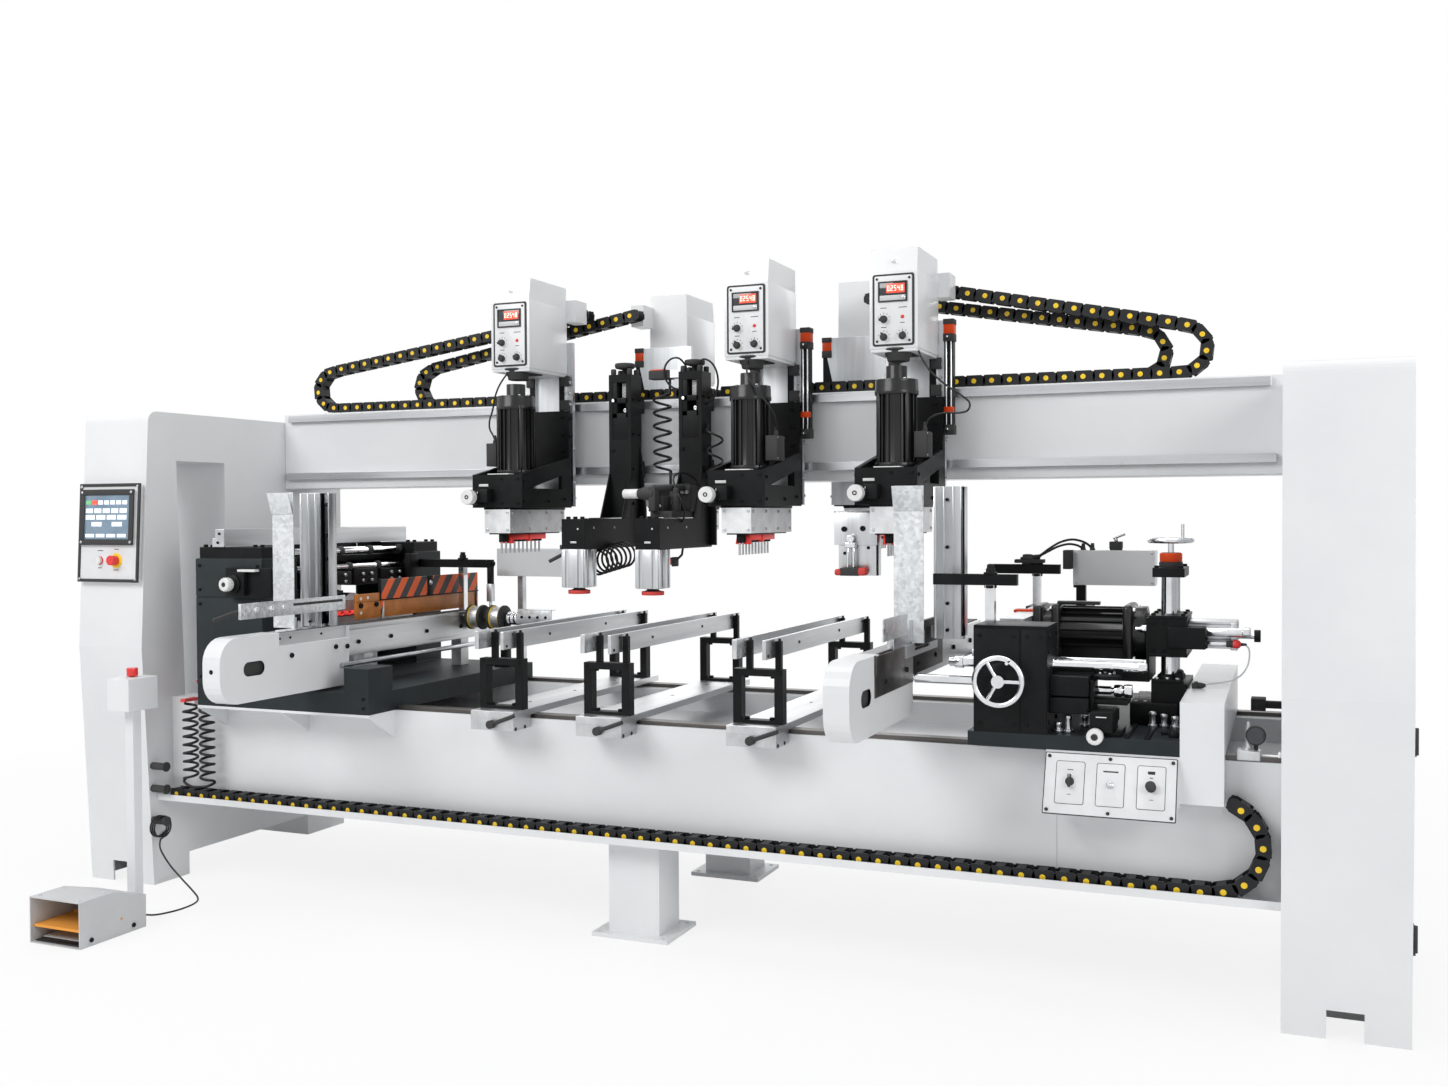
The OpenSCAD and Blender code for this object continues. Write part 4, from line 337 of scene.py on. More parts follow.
class Form:
    """A mesh in the making, shaped with Blender's own edit tools in machine millimetres."""

    def __init__(self, name: str, spot: Callable[[float, float, float], Vector] = at) -> None:
        """Starts an empty mesh at the origin.

        Args:
            name: the piece's name.
            spot: turns millimetres into the mesh's own metres.
        """
        self.spot = spot
        self.obj = bpy.data.objects.new(name, bpy.data.meshes.new(name))
        bpy.context.collection.objects.link(self.obj)

    def open(self) -> None:
        """Goes into edit mode on this mesh alone, with nothing picked."""
        if bpy.context.edit_object is not self.obj:
            if bpy.context.edit_object:
                bpy.ops.object.mode_set(mode="OBJECT")
            bpy.ops.object.select_all(action="DESELECT")
            bpy.context.view_layer.objects.active = self.obj
            self.obj.select_set(True)
            bpy.ops.object.mode_set(mode="EDIT")
        bpy.ops.mesh.select_all(action="DESELECT")

    def aim(self, axis: Triple) -> Vector:
        """Unit vector of a direction given in the spot's own axes."""
        return (self.spot(*axis) - self.spot(0, 0, 0)).normalized()

    def box(self, lo: Triple, hi: Triple, soft: float = 0.0) -> "Form":
        """Adds a block between two corners, its edges rounded by soft millimetres."""
        a, b = self.spot(*lo), self.spot(*hi)
        self.open()
        bpy.ops.mesh.primitive_cube_add(size=1, location=(a + b) / 2, scale=[abs(q) for q in b - a])
        if soft:
            bpy.ops.mesh.bevel(offset=soft / 1000, segments=3, affect="EDGES")
        return self

    def rod(self, a: Triple, b: Triple, d: float, sides: int = 24) -> "Form":
        """Adds a round bar of diameter d from a to b."""
        p, q = self.spot(*a), self.spot(*b)
        self.open()
        bpy.ops.mesh.primitive_cylinder_add(vertices=sides, radius=d / 2000, depth=(q - p).length,
                                            location=(p + q) / 2, rotation=(q - p).to_track_quat("Z", "Y").to_euler())
        return self

    def turned(self, foot: Triple, axis: Triple, steps: Sequence[tuple[float, float]], sides: int = 28) -> "Form":
        """Adds a turned piece.

        Args:
            foot: point that the steps are counted from.
            axis: direction of the turning axis.
            steps: (distance along the axis, diameter) from end to end.
            sides: number of flats round it.

        Returns:
            The form, with the new piece's far face selected.
        """
        base, n = self.spot(*foot), self.aim(axis)
        turn = n.to_track_quat("Z", "Y").to_euler()
        self.open()
        bpy.ops.mesh.primitive_circle_add(vertices=sides, radius=steps[0][1] / 2000, fill_type="NGON",
                                          location=base + n * steps[0][0] / 1000, rotation=turn)
        for (za, da), (zb, db) in zip(steps, steps[1:]):
            bpy.ops.mesh.extrude_region_move(TRANSFORM_OT_translate={"value": n * (zb - za) / 1000})
            if da != db:
                bpy.ops.transform.resize(value=[db / da] * 3, center_override=base + n * zb / 1000)
        return self

    def slab(self, outline: Sequence[Triple], along: Triple) -> "Form":
        """Adds a flat outline drawn through points and pulled along a vector, in millimetres."""
        self.open()
        mesh = bmesh.from_edit_mesh(self.obj.data)
        face = mesh.faces.new([mesh.verts.new(self.spot(*p)) for p in outline])
        face.select_set(True)
        bmesh.update_edit_mesh(self.obj.data)
        pull = self.spot(*along) - self.spot(0, 0, 0)
        bpy.ops.mesh.extrude_region_move(TRANSFORM_OT_translate={"value": pull})
        return self

    def dish(self, toward: Triple, rim: float, depth: float) -> "Form":
        """Insets the picked faces that look toward a direction, and sinks (or lifts) them."""
        n = self.aim(toward)
        mesh = bmesh.from_edit_mesh(self.obj.data)
        bpy.ops.mesh.select_mode(type="FACE")
        picked = [f for f in mesh.faces if f.select and f.normal.dot(n) > FACING]
        bpy.ops.mesh.select_all(action="DESELECT")
        for f in picked:
            f.select_set(True)
        bmesh.update_edit_mesh(self.obj.data)
        bpy.ops.mesh.inset(thickness=rim / 1000, depth=0.0)
        bpy.ops.mesh.extrude_region_move(TRANSFORM_OT_translate={"value": n * depth / 1000})
        bpy.ops.mesh.select_mode(type="VERT")
        return self

    def bolts(self, spots: Iterable[Triple], axis: Triple, d: float = 12.0, h: float = 7.0) -> "Form":
        """Adds socket-head screws at points, standing along an axis."""
        for p in spots:
            self.turned(p, axis, [(-1, d), (h * 0.8, d), (h, d * 0.8), (h, d * 0.5), (h * 0.45, d * 0.45)], 12)
        return self

    def close(self) -> bpy.types.Object:
        """Leaves edit mode with the faces pointing outwards, and gives the object."""
        self.open()
        bpy.ops.mesh.select_all(action="SELECT")
        bpy.ops.mesh.normals_make_consistent(inside=False)
        bpy.ops.object.mode_set(mode="OBJECT")
        return self.obj

    def done(self, finish: Finish, body: str | None = None, edge: float = 1.0, steps: int = 2,
             angle: float = SHARP) -> bpy.types.Object:
        """Rounds the sharp edges, shades and dresses the piece.

        Args:
            finish: its finish.
            body: CAD body that it rides on, or None for a pattern that is copied later.
            edge: width of the rounded edges, in millimetres.
            steps: segments of a rounded edge.
            angle: sharpest angle, in degrees, that is left smooth.

        Returns:
            The finished object.
        """
        obj = self.close()
        if edge:
            mod = obj.modifiers.new("edge", "BEVEL")
            mod.width, mod.segments, mod.limit_method = edge / 1000, steps, "ANGLE"
            mod.angle_limit = math.radians(angle)
            bpy.ops.object.modifier_apply(modifier=mod.name)
        bpy.ops.object.shade_smooth_by_angle(angle=math.radians(angle))
        obj.data.materials.append(finish.material())
        if body:
            settle(obj, finish, body)
        return obj


def settle(obj: bpy.types.Object, finish: Finish, body: str) -> None:
    """Lets a finished piece ride on its body and logs it."""
    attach(obj, body)
    LOG.info("%s on %s, %d faces", obj.name, body, len(obj.data.polygons) if obj.type == "MESH" else 0)


def copy_piece(obj: bpy.types.Object, name: str, move: Matrix) -> bpy.types.Object:
    """Copies a piece with its own mesh.

    Args:
        obj: the pattern.
        name: the copy's name.
        move: placement of the copy, put into its mesh.

    Returns:
        The copy, at the origin.
    """
    new = obj.copy()
    new.data = obj.data.copy()
    new.name = new.data.name = name
    new.data.transform(move)
    bpy.context.collection.objects.link(new)
    return new


Area = tuple[Finish, Triple, Triple]


@dataclass
class Coat:
    """Paint on a CAD node: one finish all over, others inside boxes of machine millimetres."""

    node: str
    base: Finish
    areas: list[Area] = field(default_factory=list)
    edge: float = 1.5

    def apply(self) -> None:
        """Sets the node's materials face by face, and rounds its edges with live modifiers."""
        obj = NODES[self.node]
        obj.data.materials.clear()
        kinds = [self.base]
        for finish, _, _ in self.areas:
            if finish not in kinds:
                kinds.append(finish)
        for finish in kinds:
            obj.data.materials.append(finish.material())
        boxes = [(kinds.index(f), at(*lo), at(*hi)) for f, lo, hi in self.areas]
        for face in obj.data.polygons:
            c, face.material_index = face.center, 0
            for index, lo, hi in boxes:
                if all(lo[k] - NEAR <= c[k] <= hi[k] + NEAR for k in range(3)):
                    face.material_index = index
        if self.edge:
            weld = obj.modifiers.new("weld", "WELD")
            weld.merge_threshold = WELD_GAP
            flat = obj.modifiers.new("flat", "DECIMATE")
            flat.decimate_type, flat.angle_limit = "DISSOLVE", math.radians(FLAT_ANGLE)
            flat.delimit = {"MATERIAL"}
            soft = obj.modifiers.new("soft", "BEVEL")
            soft.width, soft.segments, soft.limit_method = self.edge / 1000, 2, "ANGLE"
            soft.angle_limit = math.radians(SHARP)
            soft.harden_normals = False
        LOG.info("painted %s", self.node)


def cord_curve(name: str, points: Sequence[Triple], d: float, spot: Callable = at,
               finish: Finish = Finishes.RUBBER) -> tuple[bpy.types.Object, float]:
    """Makes a round cord through points.

    Args:
        name: the piece's name.
        points: the route, in millimetres.
        d: diameter in millimetres.
        spot: turns millimetres into metres.
        finish: its finish.

    Returns:
        The curve object and its length in metres.
    """
    route = [spot(*p) for p in points]
    curve = bpy.data.curves.new(name, "CURVE")
    curve.dimensions, curve.bevel_depth, curve.bevel_resolution = "3D", d / 2000, 3
    curve.use_fill_caps = True
    spline = curve.splines.new("POLY")
    spline.points.add(len(route) - 1)
    for point, co in zip(spline.points, route):
        point.co = (*co, 1)
    spline.use_smooth = True
    obj = bpy.data.objects.new(name, curve)
    bpy.context.collection.objects.link(obj)
    obj.data.materials.append(finish.material())
    return obj, sum((b - a).length for a, b in zip(route, route[1:]))


def tube(name: str, points: Sequence[Triple], d: float, finish: Finish,
         spot: Callable = at) -> tuple[bpy.types.Object, float]:
    """Makes a cord as a mesh.

    Args:
        name: the piece's name.
        points: the route, in millimetres.
        d: diameter in millimetres.
        finish: its finish, whose slot it takes.
        spot: turns millimetres into metres.

    Returns:
        The mesh object and its length in metres.
    """
    obj, length = cord_curve(name, points, d, spot, finish)
    bpy.ops.object.select_all(action="DESELECT")
    bpy.context.view_layer.objects.active = obj
    obj.select_set(True)
    bpy.ops.object.convert(target="MESH")
    obj = bpy.context.active_object
    return obj, length


def through(points: Sequence[Triple], steps: int = 8) -> list[Triple]:
    """Smooth route through chosen points.

    Args:
        points: the points, in millimetres.
        steps: pieces between two points.

    Returns:
        The route's points.
    """
    ps = [Vector(p) for p in points]
    ps = [2 * ps[0] - ps[1]] + ps + [2 * ps[-1] - ps[-2]]
    out = []
    for a, b, c, d in zip(ps, ps[1:], ps[2:], ps[3:]):
        for k in range(steps):
            t = k / steps
            out.append(tuple(0.5 * (2 * b + (c - a) * t + (2 * a - 5 * b + 4 * c - d) * t * t
                                    + (3 * b - a - 3 * c + d) * t ** 3)))
    return out + [tuple(ps[-2])]


FAR = 9000.0
FRONT_HEADS = {"head1": -700.0, "head2": 310.0, "head3": 870.0}
REAR_HEADS = {"rear1": -300.0, "rear2": 550.0}
HEADS = {**FRONT_HEADS, **REAR_HEADS}
CLAMPS = {"clamp1": -330.0, "clamp2": -20.0}
SUPPORTS = {"support1": -505.0, "support2": -70.0, "support3": 505.0}
BEAM_FRONT, BEAM_BACK = 820.0, 1010.0


def seat(x: float, rear: bool = False) -> Matrix:
    """Placement of a station's own frame on the beam, in the row frame."""
    if rear:
        return Matrix.Translation(at(x, BEAM_BACK, 0)) @ Matrix.Rotation(math.pi, 4, "Z")
    return Matrix.Translation(at(x, BEAM_FRONT, 0))


@dataclass
class Cords:
    """Hoses, cords and cables; those that stand for a CAD solid follow its route."""

    hose_d: float = 11.0
    cord_d: float = 7.0
    thin_d: float = 5.0
    curls: int = 9
    per_turn: int = 20

    def curl(self, c: Triple, r: float, pitch: float, turns: int, start: float, up: int) -> list[Triple]:
        """Points of a helix about a vertical axis.

        Args:
            c: first point of the axis.
            r: radius of the curls.
            pitch: height of a curl.
            turns: number of curls.
            start: first angle in degrees.
            up: 1 to climb, -1 to fall.

        Returns:
            The helix points.
        """
        n = self.per_turn
        out = []
        for i in range(turns * n + 1):
            a = math.radians(start + i * 360 / n)
            out.append((c[0] + r * math.cos(a), c[1] + r * math.sin(a), c[2] + up * pitch * i / n))
        return out

    def air_hose(self) -> None:
        """Spiral air hose that hangs in two columns of curls between its fitting and the blow gun."""
        r, y = 27.0, 48.0
        down = self.curl((-1901.5, y, 749.0), r, 34.0, self.curls, 0, -1)
        up = self.curl((-1988.3, y, 443.0), r, 34.0, self.curls, 180, 1)
        low, high = down[-1], up[0]
        sag = [(low[0] - 3, y + 14, low[2] - 9), (-1890.0, y + 20, 426.0), (-1916.0, y + 12, 414.0),
               (-1945.0, y - 2, 411.0), (-1974.0, y - 14, 414.0), (-1998.0, y - 20, 426.0),
               (high[0] + 2, y - 13, high[2] - 8)]
        link = through([down[-2], low, *sag, high, up[1]], 4)[4:-4]
        points = [(-2015.3, y, 757.0), *reversed(up[1:]), *reversed(link), *reversed(down[:-1]), (-1874.5, y, 757.0)]
        obj, length = cord_curve("air_hose_spiral", points, self.hose_d)
        settle(obj, Finishes.RUBBER, "frame")
        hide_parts("air_hose")
        at(*points[0])

    def clamp_hose(self) -> None:
        """Spiral hose between the two valve blocks of the second clamp."""
        c, r, low, tail = (-161.0, 717.75, 1621.3), 34.0, 1621.3, 62.9
        spiral = self.curl((c[0], c[1], low + tail), r, 52.0, 6, 0, 1)
        top = spiral[-1][2] + tail
        points = [(c[0] + r, c[1], low), (c[0] + r, c[1], low + 20), (c[0] + r, c[1] + 0.5, low + 42), *spiral,
                  (c[0] + r, c[1] - 0.5, top - 42), (c[0] + r, c[1], top - 20), (c[0] + r, c[1], top)]
        obj, length = cord_curve("clamp_hose_spiral", points, self.hose_d)
        settle(obj, Finishes.RUBBER, "clamp2")
        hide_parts("clamp_hose")
        at(*points[0])

    def pedal_cord(self) -> None:
        """Foot-switch cord: from a grommet in the column round its peg and over the floor to the pedal."""
        coil = [(-2128.5 + 10.5 * i / 24, 42 * math.sin(math.radians(15 * i)),
                 246.8 + 42 * math.cos(math.radians(15 * i))) for i in range(85)]
        lead = through([(-2146.5, 62, 203), (-2137.5, 44, 204), (-2129.5, 22, 204.6), coil[12], coil[14]], 6)[:-6]
        end = coil[-1]
        run = through([coil[-3], coil[-2], end, (end[0] + 3, end[1] - 14, end[2] - 4), (-2088, -22, 198),
                       (-2070, -40, 165), (-2020, -45, 110), (-1955, -50, 62), (-1890, -60, 24), (-1830, -90, 6),
                       (-1790, -140, 4), (-1775, -210, 4), (-1785, -280, 4), (-1815, -340, 6), (-1850, -385, 24),
                       (-1866, -412, 44), (-1870, -428, 50), (-1870, -439.7, 50)], 6)[12:]
        points = [*lead[:-1], *coil[12:], *run[1:]]
        obj, length = cord_curve("pedal_cord", points, self.cord_d)
        grommet = Form("cord_grommet").turned(points[0], (0.45, -0.89, 0.03),
                                              [(-4, 20), (2, 20), (4, 15), (14, 13), (24, 9.5), (24, 7.2)], 20)
        relief = grommet.done(Finishes.PLASTIC, "frame", 0.5)
        boot = Form("pedal_cord_boot").turned(points[-1], BACK, [(0, 18), (6, 18), (8, 14), (30, 9), (30, 7.2)], 20)
        sleeve = boot.done(Finishes.PLASTIC, "frame", 0.5)
        settle(obj, Finishes.RUBBER, "frame")
        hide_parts("pedal_cable", "pedal_coil")
        at(*points[0])

    def sensor_cable(self) -> None:
        """Thin cable from the right saddle's sensor to the gland on the cover."""
        d, path = self.thin_d, through([(2021, 424, 1088), (2036, 424, 1086), (2046, 423, 1074), (2048, 420, 1050),
            (2042, 414, 1020), (2024, 407, 992), (1996, 400, 974), (1962, 395, 966), (1934, 391, 962),
            (1914, 390, 958)], 6)
        obj, length = tube("sensor_cable", path, d, Finishes.GREY)
        gland = (Form("cover_gland")
            .turned((1884, 390, 952), (1, 0, 0.12), [(0, 30), (10, 30), (12, 22), (20, 20), (34, 9), (34, 5.6)], 20)
            .box((1876, 374, 945), (1892, 406, 962), 2).done(Finishes.PLASTIC, "right_carriage", 0.5))
        boot = Form("sensor_boot").turned((2016, 424, 1088), RIGHT, [(0, 12), (4, 12), (24, 7), (24, 5.4)], 16).done(
            Finishes.PLASTIC, "right_lift", 0.4)
        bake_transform(obj)
        at(*path[-1])
        [at(*p) for p in path]

    def right_hoses(self) -> None:
        """Two air hoses from the right unit's black fitting to its rear box."""
        b = "right_carriage"
        routes = {
            "right_air_hose_a": [(1262, 1024, 1345), (1285, 1024, 1352), (1320, 1026, 1378), (1360, 1030, 1402),
                (1402, 1038, 1412), (1440, 1050, 1404), (1464, 1062, 1388), (1474, 1068, 1372)],
            "right_air_hose_b": [(1262, 1042, 1345), (1282, 1044, 1350), (1312, 1048, 1366), (1346, 1054, 1384),
                (1384, 1062, 1394), (1414, 1072, 1390), (1432, 1080, 1380), (1438, 1084, 1371)]}
        for name, spots in routes.items():
            route = through(spots, 6)
            obj, length = cord_curve(name, route, 9.0)
            settle(obj, Finishes.RUBBER, b)
            ends = (Form(name + "_ends")
                .turned(route[-1], DOWN, [(-26, 10), (-26, 13), (-6, 16), (-6, 20), (2, 20)], 18)
                .turned(route[0], (-1, 0, -0.2), [(-24, 10), (-24, 12), (-4, 16), (4, 18)], 18)
                .done(Finishes.PLASTIC, b, 0.4))
            at(*route[-1])

    def clamp_hoses(self) -> None:
        """Loose hoses of the clamps: loops and arcs on the second, a coil under the first one's arm."""
        x, far = CLAMPS["clamp2"], CLAMPS["clamp1"]
        loops = [(x + 88 + 32 * math.cos(a), 712 + 32 * math.sin(a), 1604 + 250 * k / 48) for k in range(1, 49)
            for a in [math.pi - k * math.pi / 8]]
        coil = [(far + 22 + 70 * t + 48 * math.cos(a), 420 + 120 * t, 1330 + 32 * t + 48 * math.sin(a))
                for k in range(109) for t in [k / 108] for a in [math.pi / 2 - k * math.pi / 8]]
        routes = {
            "clamp2_loops": ("clamp2", 9.0, [(x + 50, 712, 1590), *loops, (x + 58, 716, 1866), (x + 50, 716, 1878)]),
            "clamp2_arc_left": ("clamp2", 8.0,
                [(x - 22, 694, 2082), (x - 28, 690, 2108), (x - 52, 684, 2134), (x - 84, 680, 2132),
                (x - 108, 680, 2108), (x - 116, 684, 2076), (x - 106, 690, 2042), (x - 80, 696, 2018),
                (x - 50, 702, 2012)]),
            "clamp2_arc_right": ("clamp2", 8.0,
                [(x + 22, 700, 2082), (x + 28, 696, 2108), (x + 52, 690, 2126), (x + 84, 692, 2112),
                (x + 104, 698, 2076), (x + 106, 708, 2030), (x + 90, 716, 1984), (x + 66, 720, 1960),
                (x + 50, 722, 1952)]),
            "clamp2_valve_loop": ("clamp2", 8.0,
                [(x + 44, 654, 1618), (x + 42, 636, 1646), (x + 26, 600, 1670), (x + 8, 560, 1676), (x + 2, 520, 1664),
                (x + 12, 488, 1640), (x + 34, 470, 1604), (x + 58, 462, 1566), (x + 68, 466, 1528), (x + 60, 474, 1500),
                (x + 50, 480, 1486)]),
            "clamp1_coil": ("clamp1", 9.0, coil)}
        for name, (body, d, spots) in routes.items():
            route = through(spots, 2 if len(spots) > 20 else 5)
            obj, length = cord_curve(name, route, d)
            settle(obj, Finishes.RUBBER, body)
            at(*route[0])

    def motor_cables(self) -> None:
        """Cables from the front heads' boxes to their motors, routed from the carriage to the ram."""
        routes = {
            "head1": [(-10, 350, 2096), (-30, 362, 2072), (-62, 362, 2030), (-88, 352, 1985), (-104, 342, 1940),
                (-122, 336, 1900), (-124, 334, 1866), (-108, 334, 1838), (-100, 331, 1816)],
            "head2": [(10, 350, 2096), (6, 374, 2072), (12, 398, 2036), (34, 408, 1994), (64, 402, 1952),
                (92, 384, 1912), (106, 360, 1874), (106, 342, 1842), (100, 333, 1816)],
            "head3": [(80, 345, 2098), (94, 352, 2066), (130, 358, 2012), (186, 362, 1962), (240, 364, 1924),
                (268, 364, 1898), (262, 362, 1872), (232, 358, 1864), (190, 352, 1866), (150, 344, 1862),
                (116, 336, 1846), (102, 332, 1816)]}
        for head, spots in routes.items():
            shift = seat(HEADS[head]).translation

            def spot(*p: float) -> Vector:
                """Point of this head's station."""
                return station(*p) + shift

            route = through(spots, 6)
            obj, length = tube(f"{head}_motor_cable", route, self.cord_d, Finishes.RUBBER, spot)
            path = [spot(*p) for p in route]
            boot = (Form(f"{head}_cable_boot", spot)
                .turned(spots[-1], UP, [(-12, 18), (0, 18), (2, 14), (22, 9), (22, 7.4)], 18))
            boots = boot.done(Finishes.PLASTIC, f"{head}_unit", 0.4)
            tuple(path[4])
            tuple(path[-4])
            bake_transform(obj)
            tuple(path[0])

    def build(self) -> None:
        """Makes every cord."""
        self.air_hose()
        self.clamp_hose()
        self.pedal_cord()
        self.sensor_cable()
        self.right_hoses()
        self.clamp_hoses()
        self.motor_cables()


@dataclass
class Chain:
    """One cable chain: links along a path in the XZ plane."""

    name: str
    body: str
    y: float
    path: list[tuple[float, float]]
    blend: tuple[Triple, Triple]
    still: bool = False
    pitch: float = 66.0
    h: float = 45.0
    w: float = 60.0

    def link(self) -> bpy.types.Object:
        """Models one link about the origin, along X: two waisted cheeks, cross bars and joint plugs.

        Returns:
            The link, with black faces in slot 0 and the yellow plugs in slot 1.
        """
        p, h, w = self.pitch, self.h, self.w
        form = Form(self.name + "_link", station)
        for side in (-1, 1):
            outline = [(-p * 0.50, h * 0.40), (-p * 0.46, h * 0.49), (p * 0.36, h * 0.49), (p * 0.42, h * 0.42),
                       (p * 0.54, h * 0.38), (p * 0.60, 0), (p * 0.54, -h * 0.38), (p * 0.42, -h * 0.42),
                       (p * 0.36, -h * 0.49), (-p * 0.46, -h * 0.49), (-p * 0.50, -h * 0.40), (-p * 0.56, 0)]
            v = side * (w / 2 - 4)
            form.slab([(x, v - 3, z) for x, z in outline], (0, 6, 0))
        for z in (-h * 0.44, h * 0.44):
            form.box((-p * 0.30, -w / 2 + 6, z - 2), (p * 0.12, w / 2 - 6, z + 2))
        obj = form.close()
        obj.data.materials.append(Finishes.LINK.material())
        obj.data.materials.append(Finishes.YELLOW.material())
        for v in (-1, 1):
            form.turned((-p * 0.06, v * (w / 2 - 2), 0), (0, v, 0), [(0, 19), (1.4, 19), (2.0, 16)], 12)
            bpy.ops.mesh.select_linked()
            obj.active_material_index = 1
            bpy.ops.object.material_slot_assign()
        return form.close()

    def places(self) -> tuple[list[Matrix], int]:
        """Places links along the path.

        Returns:
            One matrix a link, in the row frame, and how many come before the path's last straight.
        """
        line = [Vector(q) for q in self.path]
        runs = [0.0]
        for a, b in zip(line, line[1:]):
            runs.append(runs[-1] + (b - a).length)
        count = max(2, round(runs[-1] / self.pitch))
        step = runs[-1] / count

        def point(s: float) -> Vector:
            """Point of the path at a run."""
            for k in range(len(line) - 1):
                if s <= runs[k + 1] or k == len(line) - 2:
                    t = (s - runs[k]) / (runs[k + 1] - runs[k])
                    return line[k].lerp(line[k + 1], t)
            return line[-1]

        out = []
        for i in range(count):
            a, b = point(i * step), point((i + 1) * step)
            c = (a + b) / 2
            turn = Matrix.Rotation(-math.atan2(b.y - a.y, b.x - a.x), 4, "Y")
            out.append(Matrix.Translation(at(c.x, self.y, c.y)) @ turn)
        return out, sum((i + 0.5) * step < runs[-2] for i in range(count))

    def strip(self, name: str, pattern: bpy.types.Object, places: list[Matrix]) -> bpy.types.Object:
        """Joins copies of a link to one piece.

        Args:
            name: the piece's name.
            pattern: the link.
            places: where its copies go.

        Returns:
            The piece.
        """
        mesh = bmesh.new()
        for place in places:
            one = pattern.data.copy()
            one.transform(place)
            mesh.from_mesh(one)
            bpy.data.meshes.remove(one)
        data = pattern.data.copy()
        data.name = name
        mesh.to_mesh(data)
        mesh.free()
        obj = bpy.data.objects.new(name, data)
        bpy.context.collection.objects.link(obj)
        return obj

    def build(self) -> bpy.types.Object:
        """Makes the part that lies still, if any, and the rest of the run.

        Returns:
            The run.
        """
        pattern, (places, laid) = self.link(), self.places()
        laid = laid if self.still else 0
        if laid:
            settle(self.strip(f"{self.name}_laid", pattern, places[:laid]), Finishes.LINK, "frame")
        obj = self.strip(self.name, pattern, places[laid:])
        bpy.data.objects.remove(pattern)
        at(*self.blend[0])
        at(*self.blend[1])
        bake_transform(obj)
        LOG.info("%s bends between frame and %s", self.name, self.body)
        return obj


@dataclass
class Chains:
    """The chain in the bed's tray and the four on the beam."""

    low_z: float = 2009.5
    bend: float = 85.0
    end_z: float = 2360.3

    def beam_path(self, start: float, centre: float, end: float) -> list[tuple[float, float]]:
        """Path of a beam chain: along the beam, round its bend and up to the head's arm.

        Args:
            start: X where the lower run begins.
            centre: X of the bend's centre.
            end: X of the arm's end.

        Returns:
            The path's (x, z) points.
        """
        s = -1 if centre < start else 1
        r, cz = self.bend, self.low_z + self.bend
        dx, dz = end - centre, self.end_z - cz
        phi = math.degrees(math.atan2(dz, s * dx) - math.acos(r / math.hypot(dx, dz)))
        arc = []
        for i in range(25):
            a = math.radians(-90 + (phi + 90) * i / 24)
            arc.append((centre + r * s * math.cos(a), cz + r * math.sin(a)))
        return [(start, self.low_z), *arc, (end, self.end_z)]

    def build(self) -> None:
        """Makes the five chains."""
        rows = [("beam_chain_a", "head1_slide", 875.0, -20.0, -1894.2, -569.7),
                ("beam_chain_b", "rear1_slide", 955.0, -20.0, -1394.7, -373.7),
                ("beam_chain_c", "head3_slide", 875.0, 40.0, 1815.4, 943.7),
                ("beam_chain_d", "rear2_slide", 955.0, 40.0, 1669.6, 623.7)]
        for name, body, y, start, centre, end in rows:
            path = self.beam_path(start, centre, end)
            (x0, z0), (x1, z1) = path[-2:]
            Chain(name, body, y, path, ((x0, y, z0), (x1, y, z1)), True).build()
        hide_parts("beam_chains")
        arc = [(1961 + 140 * math.cos(math.radians(a)), 517.5 + 140 * math.sin(math.radians(a)))
               for a in [-90 + 162 * i / 24 for i in range(25)]]
        bed = Chain("bed_chain_links", "right_carriage", 65.0, [(-2086.0, 377.5), *arc],
                    ((1961, 65, 400), (1961, 65, 640))).build()
        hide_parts("bed_chain")


def spread(x: float, lo: Triple, hi: Triple, rear: bool = False) -> tuple[Triple, Triple]:
    """Machine box, lowest corner first, of a box given in a station's x, v and z."""
    xs = (x - hi[0], x - lo[0]) if rear else (x + lo[0], x + hi[0])
    ys = (BEAM_BACK + lo[1], BEAM_BACK + hi[1]) if rear else (BEAM_FRONT - hi[1], BEAM_FRONT - lo[1])
    return (xs[0], ys[0], lo[2]), (xs[1], ys[1], hi[2])


